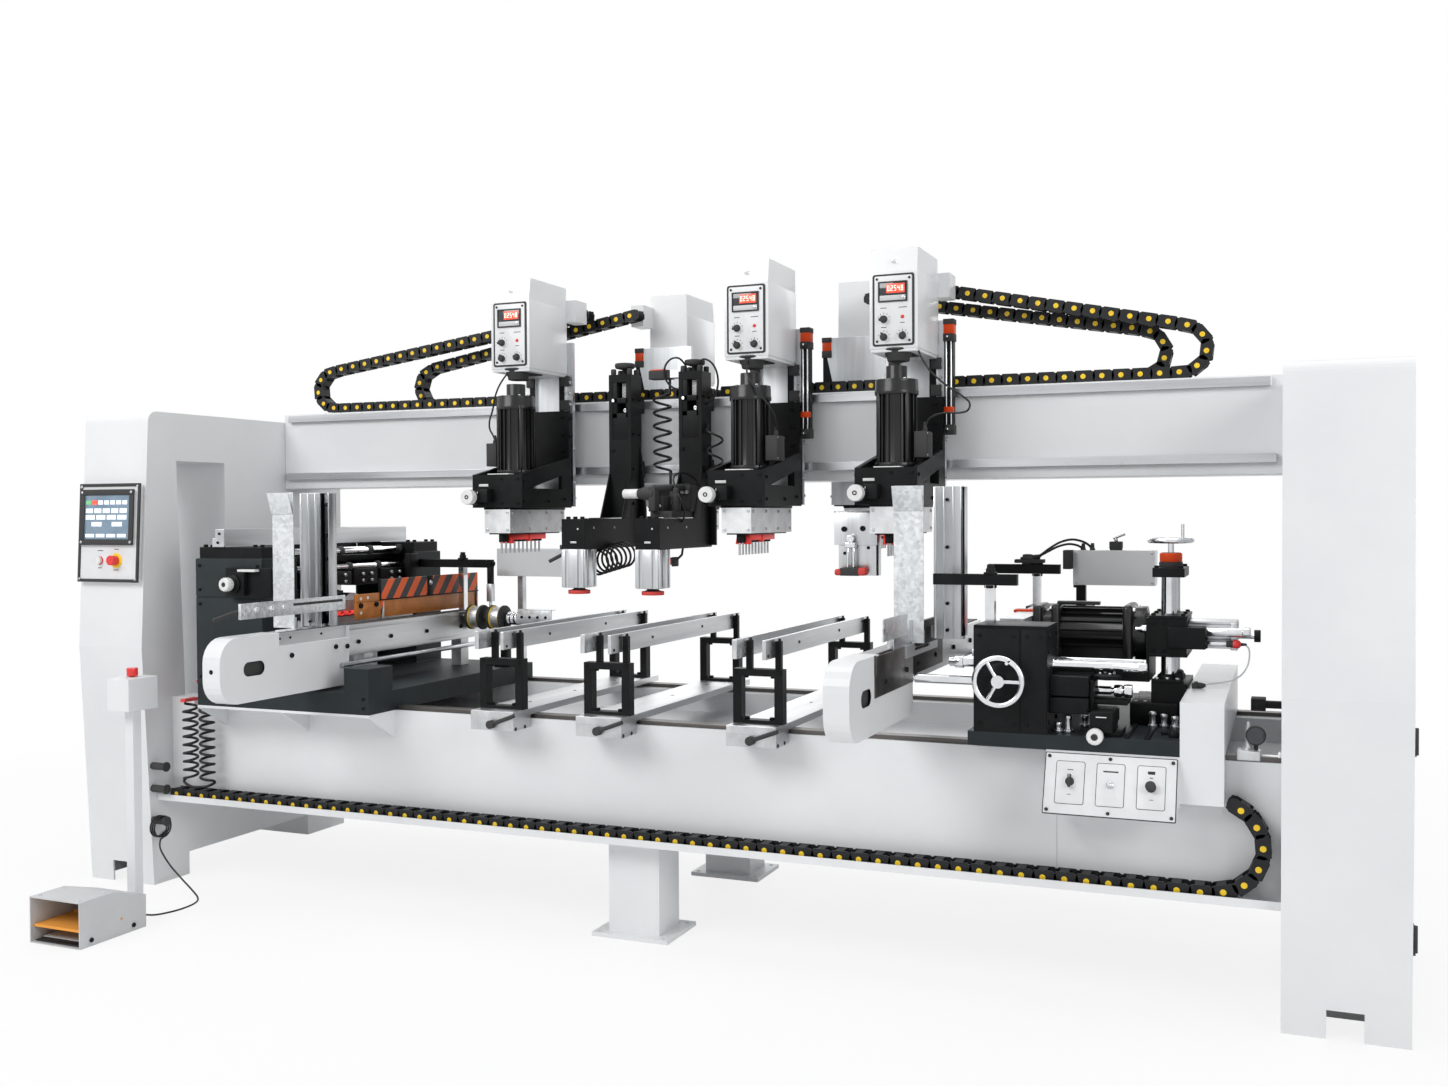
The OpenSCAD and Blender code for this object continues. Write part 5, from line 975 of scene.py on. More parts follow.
class Paintwork:
    """Finishes of every CAD node that stays in view."""

    def heads(self) -> list[Coat]:
        """Coats of the five drilling heads."""
        out = []
        f = Finishes
        for heads, rear in ((FRONT_HEADS, False), (REAR_HEADS, True)):
            for name, x in heads.items():
                def zone(finish: Finish, lo: Triple, hi: Triple) -> Area:
                    """Area of a finish in this head's own frame."""
                    return (finish, *spread(x, lo, hi, rear))

                out.append(Coat(f"{name}_carriage", f.BLACK, [
                    zone(f.ALLOY_UP, (-113, 49, 1540), (113, 71, 2240)),
                    zone(f.WHITE, (-90, 69.5, 2099), (90, 380, 2470)),
                    zone(f.WHITE, (60, -60, 2300), (140, 71, 2420)),
                    zone(f.STEEL, (-112, 71, 1540), (112, 84, 2098))], 2.0))
                low = [zone(f.CAST, (-66, 45, 1444), (66, 485, 1544.5)),
                    zone(f.BLACK, (-66, 45, 1409), (66, 485, 1444)), zone(f.STEEL, (-66, 125, 1300), (66, 485, 1409.5))]
                motor = zone(f.MOTOR, (-84, 240, 1675.5), (84, 430, 2050))
                out.append(Coat(f"{name}_ram", f.BLACK, [motor, *(low if rear else [])], 1.0))
                if not rear:
                    out.append(Coat(f"{name}_gearbox", f.CAST, low, 1.2))
                    out.append(Coat(f"{name}_spindle", f.BLACK, low[1:], 0.6))
                    out.append(Coat(f"{name}_knob", f.KNOB, [], 1.5))
        return out

    def clamps(self) -> list[Coat]:
        """Coats of the clamps and supports."""
        f, out = Finishes, []
        for name, x in CLAMPS.items():
            out.append(Coat(f"{name}_column", f.BLACK, [
                (f.ALLOY_UP, *spread(x, (-48, 449, 1238), (48, 541, 1384.5))),
                (f.CAST, *spread(x, (-200, 60, 2050), (-50.5, 160, 2100)))], 1.5))
            out.append(Coat(f"{name}_pad", f.PAD, [(f.CHROME, *spread(x, (-20, 470, 1231), (20, 520, 1500)))], 1.5))
        for name, x in SUPPORTS.items():
            legs = [(f.BLACK, (x - 100, y0, 805.5), (x + 100, y1, 1090)) for y0, y1 in ((40, 86), (1075, 1121))]
            bars = [(f.ALLOY, (x - 62, -40, 1029), (x - 44, 1200, 1100)),
                (f.ALLOY, (x + 44, -40, 1029), (x + 62, 1200, 1100))]
            out.append(Coat(f"{name}_frame", f.ALLOY, legs + bars, 1.2))
            out.append(Coat(f"{name}_lever", f.PLASTIC, [], 2.0))
        return out

    def left(self) -> list[Coat]:
        """Coats of the left unit, its conveyor and the foot switch."""
        f = Finishes
        return [Coat("left_housing", f.DARK,
            [(f.BLACK, (-1860, -60, 1350.5), (-1500, 1160, 1395)), (f.ALLOY, (-1800, -60, 1395.2), (-1700, 1160, 1500)),
            (f.WHITE, (-1180, 1085, 1238), (-690, 1155, 1370)), (f.STEEL, (-1090, 1085, 850), (-1050, 1155, 1237))],
            3.0), Coat("left_drill", f.CAST,
            [(f.MOTOR, (-1935, 440, 1000), (-1560.5, 660, 1210)), (f.BITS, (-1479.5, 200, 1000), (-1380, 900, 1200))],
            1.2), Coat("left_conveyor", f.ALLOY,
            [(f.WHITE, (-1323.5, -590, 850), (-1244, 121, 1091)), (f.BELT, (-1323, 121, 1086.5), (-1244, 1190, 1091)),
            (f.ZINC, (-1424, -106, 1091), (-1322, -98, 1620)), (f.ALLOY_UP, (-1375, -3, 1091), (-1272, 21, 1620)),
            (f.ZINC, (-1500, -200, 990), (-1323.5, 60, 1090)), (f.BLACK, (-1530, 900, 1091), (-1120, 1190, 1400)),
            (f.CHROME, (-1300, 964, 1091), (-1268, 996, 1280.5)),
            (f.ALLOY, (-1311, -278, 1040.5), (-1257, 119.5, 1091)), (f.CAST, (-1320, 200, 845), (-1250, 1180, 965)),
            (f.HAZARD, (-1332, 425, 1160), (-1322, 1165, 1255))], 1.5), Coat("pedal_box", f.GREY, [], 2.5),
            Coat("pedal", f.ORANGE, [], 2.0), Coat("estop_post", f.WHITE, [], 3.0), Coat("post_estop", f.RED, [], 1.0),
            Coat("panel_estop", f.RED, [], 1.0), Coat("start_button", f.KNOB, [], 0.6),
            Coat("hose_pegs", f.PLASTIC, [], 1.0), Coat("blow_gun", f.RED, [], 2.0),]

    def right(self) -> list[Coat]:
        """Coats of the right unit and its conveyor."""
        f = Finishes
        return [Coat("right_base", f.BLACK,
            [(f.DARK, (1220, 20, 775), (1870, 1160, 825.5)), (f.CHROME, (1776, 400, 960.5), (1828, 600, 1301.5)),
            (f.CHROME, (1257, 130, 1155.5), (1289, 1060, 1280.5)), (f.WHITE, (1400, 1045, 1238), (1710, 1155, 1375))],
            2.0), Coat("right_saddle", f.BLACK,
            [(f.ALLOY, (1860.5, 440, 1065), (2011, 560, 1155)), (f.CHROME, (2010, 440, 1060), (2063.5, 560, 1160))],
            2.0), Coat("right_drill", f.CAST,
            [(f.MOTOR, (1359.5, 380, 980), (1740, 620, 1230)), (f.BITS, (1180, 200, 1000), (1278.5, 980, 1200))], 1.2),
            Coat("right_top_wheel", f.CHROME, [], 0.0), Coat("right_side_wheel", f.CHROME, [], 0.0),
            Coat("right_conveyor", f.ALLOY,
            [(f.WHITE, (944, -590, 850), (1023.5, 121, 1091)), (f.BELT, (944, 121, 1086.5), (1023.5, 1190, 1091)),
            (f.ZINC, (962, 105, 1091), (1064, 111, 1620)), (f.ALLOY_UP, (1052, 287, 1091), (1154, 311, 1620)),
            (f.ALLOY, (957, -278, 1040.5), (1011, 119.5, 1091)), (f.CHROME, (1023.5, 100, 930), (1260, 1100, 985))],
            1.5), Coat("right_cover", f.WHITE, [], 3.0),]

    def hull(self) -> list[Coat]:
        """Coats of the portals, beam, bed and panel."""
        f = Finishes
        return [Coat("bed", f.WHITE, [], 4.0), Coat("left_portal", f.WHITE, [], 0.0),
            Coat("right_portal", f.WHITE, [(f.PLASTIC, (2488.2, -10, 200), (2600, 120, 1000))], 0.0),
            Coat("gantry_beam", f.WHITE, [], 4.0),
            # The bed rails take the darkened steel, a painted dark reflection.
            Coat("guide_rails", f.STEEL, [(f.STEEL_PAINTED_DARK, (-FAR, 100, 760), (FAR, 1170, 785))], 1.5),
            Coat("control_panel", f.PLATE, [], 1.5),
            Coat("cabinet_door", f.WHITE, [(f.PLASTIC, (2488.2, -10, 200), (2600, 120, 1000))], 1.5),]

    def build(self) -> None:
        """Paints every node."""
        for coat in [*self.hull(), *self.heads(), *self.clamps(), *self.left(), *self.right()]:
            coat.apply()


def slope(x: float, v: float, z: float) -> Vector:
    """Point on the left column's sloping face: x from the panel's middle, v out of the face, z up it."""
    t = math.radians(3.094)
    run = 270 + z
    return at(-2317 + x, -50 + run * math.sin(t) - v * math.cos(t), 980 + run * math.cos(t) + v * math.sin(t))


@dataclass
class OperatorPanel:
    """Operator panel on the left column: frame, screen with its keys, collars of the buttons."""

    wide: float = 165.0
    high: float = 404.0
    lip: float = 13.0
    bezel: tuple[float, float, float, float] = (-150.0, 141.0, 150.0, 379.0)

    def ring(self, name: str, x0: float, x1: float, z0: float, z1: float, v: float, rim: float, finish: Finish) -> None:
        """Makes a flat frame of four mitred bars, rim wide."""
        form = Form(name, slope)
        for a, b in (((x0, z0), (x1, z0 + rim)), ((x0, z1 - rim), (x1, z1)), ((x0, z0 + rim), (x0 + rim, z1 - rim)),
                     ((x1 - rim, z0 + rim), (x1, z1 - rim))):
            form.slab([(a[0], v, a[1]), (b[0], v, a[1]), (b[0], v, b[1]), (a[0], v, b[1])], (0, 8, 0))
        form.done(finish, "frame", 2.0)

    def screen(self) -> None:
        """Frame round the plate, the screen's bezel and glass, and the lit keys."""
        x0, x1, z0, z1 = self.bezel
        self.ring("panel_frame", -self.wide, self.wide, -2, self.high, 18, self.lip, Finishes.PLASTIC)
        self.ring("screen_bezel", x0, x1, z0, z1, 28, 24, Finishes.PLASTIC)
        Form("screen_glass", slope).slab([(x0 + 20, 29.5, z0 + 20), (x1 - 20, 29.5, z0 + 20), (x1 - 20, 29.5, z1 - 20),
                                          (x0 + 20, 29.5, z1 - 20)], (0, 2, 0)).done(Finishes.SCREEN, "frame", 0.3)
        keys = {Finishes.KEY: [], Finishes.LIT_GREEN: [], Finishes.LED: []}
        left, wide = x0 + 30, x1 - x0 - 60
        for k in range(7):
            keys[(Finishes.LIT_GREEN, Finishes.LED, Finishes.KEY)[min(k, 2)]].append((left + wide * k / 7, z1 - 62,
                wide / 7 - 7, 17))
        for row, parts in enumerate((5, 4)):
            for k in range(parts):
                keys[Finishes.KEY].append((left + wide * k / parts, z1 - 97 - 27 * row, wide / parts - 8, 19))
        for k in range(2):
            keys[Finishes.KEY].append((left + wide * (0.14 + 0.48 * k), z1 - 152, wide * 0.24, 18))
        for k in range(4):
            keys[Finishes.KEY].append((left + wide * k / 4, z0 + 32, wide / 4 - 10, 14))
        for finish, rows in keys.items():
            form = Form(f"screen_keys_{finish.name}", slope)
            for x, z, w, h in rows:
                form.slab([(x, 31, z), (x + w, 31, z), (x + w, 31, z + h), (x, 31, z + h)], (0, 1.2, 0))
            form.done(finish, "frame", 0.3)

    def buttons(self) -> None:
        """Collars of the start button and the stop button, screws and short marks."""
        (Form("start_collar", slope).turned((-44.3, 21, 87), OUT, [(0, 34), (2, 34), (3, 30), (4.5, 29), (4.5, 25)])
            .done(Finishes.RED, "frame", 0.4))
        Form("stop_collar", slope).turned((44.3, 21, 87), OUT, [(0, 62), (3, 62), (4.5, 58), (4.5, 34)]).done(
            Finishes.YELLOW, "frame", 0.5)
        marks = Form("button_marks", slope)
        for x, z, w in ((-44, 126, 30), (-44, 55, 22), (44, 132, 26), (44, 47, 30)):
            marks.slab([(x - w / 2, 21.6, z), (x + w / 2, 21.6, z), (x + w / 2, 21.6, z + 3), (x - w / 2, 21.6, z + 3)],
                (0, 0.8, 0))
        marks.done(Finishes.PLASTIC, "frame", 0.0)
        Form("frame_screws", slope).bolts([(x, 25, z) for x in (-152, 152) for z in (11, 391)]
                                          + [(x, 35, z) for x in (-138, 129) for z in (162, 367)], OUT, 11, 4).done(
            Finishes.STEEL, "frame", 0.3)

    def build(self) -> None:
        """Makes the panel's fittings."""
        self.screen()
        self.buttons()


def rounded(x0: float, x1: float, z0: float, z1: float, v: float, r: float) -> list[Triple]:
    """Outline of an upright plate with rounded corners, at depth v of a station."""
    out = []
    for cx, cz, a0 in ((x1 - r, z1 - r, 0), (x0 + r, z1 - r, 90), (x0 + r, z0 + r, 180), (x1 - r, z0 + r, 270)):
        for k in range(5):
            a = math.radians(a0 + 22.5 * k)
            out.append((cx + r * math.cos(a), v, cz + r * math.sin(a)))
    return out


@dataclass
class Fitted:
    """Trim that is modelled once and copied to several stations."""

    patterns: list[tuple[bpy.types.Object, Finish, str]] = field(default_factory=list)

    def keep(self, form: Form, finish: Finish, role: str = "", edge: float = 0.8) -> None:
        """Finishes a pattern and keeps it for a role, which says where its copies go."""
        self.patterns.append((form.done(finish, None, edge), finish, role))

    def stations(self, role: str) -> list[tuple[str, str, Matrix]]:
        """Name, body and placement of each station that has this role."""
        raise NotImplementedError

    def copy_out(self) -> None:
        """Copies every pattern to its stations, and drops the pattern."""
        for obj, finish, role in self.patterns:
            for name, body, move in self.stations(role):
                settle(copy_piece(obj, f"{name}_{obj.name}", move), finish, body)
            bpy.data.objects.remove(obj)


@dataclass
class Heads(Fitted):
    """Fittings of the drilling heads: modelled once at a station, copied to each head."""

    half: float = 88.0
    face: float = 373.0
    low: float = 2100.0
    crease: float = 2368.0
    roles: dict[str, tuple[str, tuple[str, ...]]] = field(default_factory=lambda: {
        "slide": ("slide", tuple(HEADS)), "lift": ("slide", ("head2", "head3", *REAR_HEADS)),
        "unit": ("unit", tuple(HEADS)), "front": ("unit", tuple(FRONT_HEADS)), "dial": ("dial", tuple(FRONT_HEADS)),
        "left": ("unit", ("head1", *REAR_HEADS)), "right": ("unit", ("head2", "head3"))})

    def stations(self, role: str) -> list[tuple[str, str, Matrix]]:
        """Heads of a role, a key of the roles."""
        body, heads = self.roles[role]
        return [(name, f"{name}_{body}", seat(HEADS[name], name in REAR_HEADS)) for name in heads]

    def cabinet(self) -> None:
        """Control box: skirt, lock and the boot under it."""
        h, f = self.half, self.face
        self.keep(Form("box_skirt", station).box((-h, 71, self.low - 1), (h, f, self.crease))
                  .dish(DOWN, 3, 12), Finishes.WHITE, "slide", 5.0)
        self.keep(Form("hood_lock", station)
            .turned((0, 362, 2408), (0, 1, 0.16), [(-2, 22), (2, 22), (3, 18), (5, 17), (6, 11), (12, 10), (12, 6)])
            .box((-2, 372, 2402), (2, 380, 2415)), Finishes.CHROME, "slide", 0.5)
        self.keep(Form("box_boot", station)
                  .turned((4, 322, 2101), DOWN, [(0, 118), (6, 118), (10, 100), (26, 92), (30, 84), (44, 78), (46, 60)])
                  .box((-46, 210, 2082), (52, 300, 2101)).box((-30, 225, 2062), (-4, 262, 2084)),
                  Finishes.PLASTIC, "slide", 1.2)
        self.keep(Form("box_boot_screws", station)
            .bolts([(-44, 355, 2098), (50, 355, 2098), (-60, 250, 2098), (66, 250, 2098)], DOWN, 11, 7), Finishes.STEEL,
            "slide", 0.4)

    def panel(self) -> None:
        """Front panel: border, plate, meter, knobs, lamp and marks."""
        f = self.face
        self.keep(Form("panel_border", station).slab(rounded(-76, 76, 2107, 2361, f - 1, 9), (0, 4, 0)),
                  Finishes.PLASTIC, "slide", 0.8)
        self.keep(Form("panel_plate", station).slab(rounded(-68, 68, 2114, 2354, f + 2.5, 5), (0, 2, 0)),
                  Finishes.PLATE, "slide", 0.5)
        self.keep(Form("meter", station).box((-54, f + 4, 2262), (52, f + 10, 2334)).dish(OUT, 4, -3),
                  Finishes.PLASTIC, "slide", 0.8)
        self.keep(Form("meter_strip", station)
            .box((-48, f + 6, 2267), (46, f + 8.4, 2285)), Finishes.GREY, "slide", 0.4)
        self.keep(Form("meter_window", station)
            .box((-48, f + 6, 2288), (46, f + 8, 2329)), Finishes.GLASS, "slide", 0.4)
        self.keep(Form("meter_light", station).box((-24, f + 7, 2293), (42, f + 8.8, 2325)), Finishes.LED, "slide", 0.4)
        digits = Form("meter_digits", station)
        lit = {0: "abcdef", 5: "acdfg", 8: "abcdefg", 2: "abged", 4: "fgbc"}
        for k, value in enumerate((0, 2, 5, 4, 8)):
            x, z, w, s = -20 + 12.4 * k, 2300, 7.5, 8.5
            bars = {"a": (x, z + 2 * s, x + w, z + 2 * s + 1.8), "g": (x, z + s, x + w, z + s + 1.8),
                    "d": (x, z, x + w, z + 1.8), "e": (x, z, x + 1.8, z + s), "f": (x, z + s, x + 1.8, z + 2 * s),
                    "c": (x + w - 1.8, z, x + w, z + s), "b": (x + w - 1.8, z + s, x + w, z + 2 * s)}
            for key in lit[value]:
                x0, z0, x1, z1 = bars[key]
                digits.box((x0, f + 8.4, z0), (x1, f + 9.4, z1))
        self.keep(digits, Finishes.LIT_PALE, "slide", 0.0)
        self.keep(Form("meter_button", station)
            .turned((38, f + 8, 2276), OUT, [(0, 13), (2, 13), (3, 9), (6, 9), (7, 7)], 20), Finishes.CHROME, "slide",
            0.3)
        spots = ((-34, 2202, 100), (-34, 2139, 20), (34, 2141, -25))
        rings, knobs, marks = Form("knob_rings", station), Form("knobs", station), Form("panel_marks", station)
        for x, z, a in spots:
            rings.turned((x, f + 4, z), OUT, [(0, 34), (1.2, 34), (2, 30)], 28)
            knobs.turned((x, f + 5.5, z), OUT, [(0, 27), (5, 27), (7, 24), (9, 23), (17, 21), (19, 17)], 24)
            c, s = math.cos(math.radians(a)), math.sin(math.radians(a))
            knobs.slab([(x + 15 * -s * q + 4 * c * p, f + 9, z + 15 * c * q + 4 * s * p)
                        for q, p in ((-0.8, -1), (-0.8, 1), (1, 1), (1, -1))], (0, 13, 0))
            for k in (-2, -1, 0, 1, 2):
                t = math.radians(90 + 34 * k)
                mx, mz = x + 21 * math.cos(t), z + 21 * math.sin(t)
                marks.box((mx - 1.1, f + 4, mz - 2.0), (mx + 1.1, f + 4.8, mz + 2.0))
        for x0, x1, z in ((-46, -24, 2240), (20, 50, 2240), (26, 42, 2186), (-44, -24, 2172)):
            marks.box((x0, f + 4, z), (x1, f + 4.7, z + 2.6))
        self.keep(rings, Finishes.KNOB, "slide", 0.3)
        self.keep(knobs, Finishes.PLASTIC, "slide", 0.8)
        self.keep(marks, Finishes.PLASTIC, "slide", 0.0)
        self.keep(Form("panel_lamp", station)
            .turned((34, f + 4, 2208), OUT, [(0, 13), (2, 13), (3, 9), (5, 8), (6.4, 5)], 20), Finishes.RED, "slide",
            0.2)
        self.keep(Form("panel_screws", station).bolts(grid((-59, 59), f + 4, (2124, 2344)), OUT, 9, 3.6),
                  Finishes.PLASTIC, "slide", 0.3)

    def slide(self) -> None:
        """Carriage: edge screws, lift cylinder fittings and the orange locks."""
        heights = (1585, 1650, 1790, 1870, 1960, 2040, 2075)
        self.keep(Form("edge_screws", station)
            .bolts([(113 * s, 60, z) for s in (-1, 1) for z in heights if s < 0 or z < 1800], RIGHT, 13, 6)
            .bolts([(s * 98, 70, z) for s in (-1, 1) for z in (1975, 2020, 2065)], OUT, 13, 7), Finishes.STEEL, "slide",
            0.4)
        self.keep(Form("lift_lock", station).box((111, 46, 2176), (149, 90, 2214))
            .box((112, 70, 1886), (148, 92, 1908)), Finishes.SIGNAL, "lift", 2.0)
        self.keep(Form("lift_ends", station).box((110, 44, 2212), (150, 92, 2232)).box((110, 44, 2150), (150, 92, 2178))
            .box((110, 46, 1806), (150, 90, 1842))
            .turned((130, 92, 1824), OUT, [(0, 16), (8, 16), (10, 12), (20, 11)], 16)
            .turned((130, 92, 2164), OUT, [(0, 16), (8, 16), (10, 12), (20, 11)], 16), Finishes.PLASTIC, "lift", 1.5)
        self.keep(Form("lift_tube", station).rod((121, 86, 1842), (121, 86, 2150), 7)
            .rod((139, 86, 1842), (139, 86, 2150), 7).turned((130, 104, 1824), OUT, [(0, 9), (7, 9), (9, 6)], 14)
            .turned((130, 104, 2164), OUT, [(0, 9), (7, 9), (9, 6)], 14), Finishes.CHROME, "lift", 0.4)
        self.keep(Form("guide_wipers", station).box((-100, 70, 1950), (-62, 86, 1992))
            .box((62, 70, 1950), (100, 86, 1992)).box((-100, 70, 2050), (-62, 86, 2092))
            .box((62, 70, 2050), (100, 86, 2092)), Finishes.PLASTIC, "slide", 1.5)

    def motor(self) -> None:
        """Motor: cap band, lid screws and terminal box, and the bright plate between the bracket's cheeks."""
        self.keep(Form("ram_back", station).box((-64, 104, 1560), (64, 107.5, 1678)), Finishes.ALLOY_UP, "unit", 0.4)
        self.keep(Form("motor_band", station)
            .turned((0, 333, 1936), UP, [(0, 146), (0, 156), (14, 156), (17, 153), (44, 152), (52, 144), (55, 110)], 48)
            .turned((0, 333, 1676), UP, [(0, 110), (0, 158), (18, 158), (20, 148)], 48), Finishes.MOTOR, "unit", 1.0)
        for k in range(4):
            a = math.radians(45 + 90 * k)
            x, v = 72 * math.cos(a), 333 + 72 * math.sin(a)
            self.keep(Form(f"motor_rib_{k}", station)
                .rod((x, v, 1682), (x, v, 1948), 15, 16), Finishes.MOTOR, "unit", 0.8)
        for side, role in ((-1, "left"), (1, "right")):
            a, b = sorted((72 * side, 118 * side))
            self.keep(Form(f"motor_box_{role}", station).box((a, 292, 1712), (b, 370, 1804)).dish((side, 0, 0), 5, 3)
                .turned((100 * side, 331, 1804), UP, [(0, 20), (5, 20), (6, 14), (10, 13)], 18), Finishes.PLASTIC, role,
                2.0)
            self.keep(Form(f"motor_box_screws_{role}", station).bolts(grid(118 * side, (300, 362), (1720, 1796)),
                      (side, 0, 0), 7, 3), Finishes.STEEL, role, 0.3)
        self.keep(Form("motor_screws", station)
            .bolts([(56 * math.cos(math.radians(a)), 333 + 56 * math.sin(math.radians(a)), 1990)
            for a in (45, 135, 225, 315)], UP, 11, 5), Finishes.STEEL, "unit", 0.3)

    def bracket(self) -> None:
        """Bracket: white strip painted as the top front edge highlight, screws, collar of the position knob and the
        gearbox trim.
        """
        # Painted highlight: a white strip along the bracket's top front edge stands for the bright edge line there.
        self.keep(Form("bracket_painted_highlight", station).box((-44, 440, 1674), (52, 479, 1678.5)), Finishes.KNOB, "unit", 0.6)
        self.keep(Form("knob_mark", station).box((-82, 478, 1628), (-40, 482, 1638))
            .box((-60, 528, 1600), (-58, 531, 1608)), Finishes.KNOB, "front", 0.5)
        self.keep(Form("knob_collar", station)
            .turned((-87.5, 529, 1586), OUT, [(-20, 44), (-20, 60), (-4, 60), (-2, 52), (0, 44), (0, 26)], 32)
            .box((-70, 479, 1566), (-20, 522, 1618))
            .turned((86, 479, 1650), OUT, [(0, 22), (2, 22), (2, 14), (-1, 14)], 24), Finishes.BLACK, "front", 1.5)
        side = [(113 * s, v, z) for s in (-1, 1)
            for v, z in ((462, 1570), (462, 1650), (270, 1570), (140, 1580), (95, 1840), (95, 1915))]
        self.keep(Form("bracket_screws", station).bolts([p for p in side if p[0] > 0], RIGHT, 13, 5)
                  .bolts([p for p in side if p[0] < 0], LEFT, 13, 5)
                  .bolts(grid((-82, 82), 105, (1780, 1850, 1920)), OUT, 14, 7), Finishes.BLACK, "unit", 0.4)
        self.keep(Form("bracket_face_screws", station).bolts(grid((20, 92), 480, (1562, 1658)), OUT, 12, 5),
                  Finishes.BLACK, "front", 0.4)
        self.keep(Form("gear_face_screws", station).bolts(grid((-46, 46), 480, (1458, 1526)), OUT, 11, 4),
                  Finishes.STEEL, "front", 0.3)
        self.keep(Form("gear_trim", station).box((-61, 47, 1537), (61, 480, 1546))
            .box((-40, 60, 1440), (40, 476, 1446)), Finishes.BLACK, "unit", 1.0)
        self.keep(Form("gear_screws", station).bolts(grid(58, (70, 200, 330, 460), (1460, 1524)), RIGHT, 11, 4)
                  .bolts(grid(-58, (70, 200, 330, 460), (1460, 1524)), LEFT, 11, 4), Finishes.STEEL, "unit", 0.3)
        self.keep(Form("bit_holder", station).box((-24, 146, 1418), (24, 402, 1441)).dish(DOWN, 7, -5)
                  .slab([(-30, 402, 1404), (30, 402, 1404), (24, 402, 1441), (-24, 402, 1441)], (0, 14, 0))
                  .box((-27, 268, 1410), (27, 282, 1441)), Finishes.BITS, "unit", 1.2)

    def dial(self) -> None:
        """Black hub and grip flutes of the white position knob."""
        hub = (Form("knob_hub", station)
            .turned((-87.5, 560, 1586), OUT, [(0, 17), (3.4, 17), (4.2, 15), (4.2, 9), (1, 8)], 24))
        self.keep(hub, Finishes.PLASTIC, "dial", 0.3)
        flutes = Form("knob_rim", station)
        for k in range(24):
            a = math.radians(15 * k)
            x, z = -87.5 + 27.6 * math.cos(a), 1586 + 27.6 * math.sin(a)
            flutes.rod((x, 533, z), (x, 557, z), 3.6, 8)
        self.keep(flutes, Finishes.KNOB, "dial", 0.0)

    def build(self) -> None:
        """Models the patterns and copies them to the heads they belong to."""
        self.cabinet()
        self.panel()
        self.slide()
        self.motor()
        self.bracket()
        self.dial()
        self.copy_out()


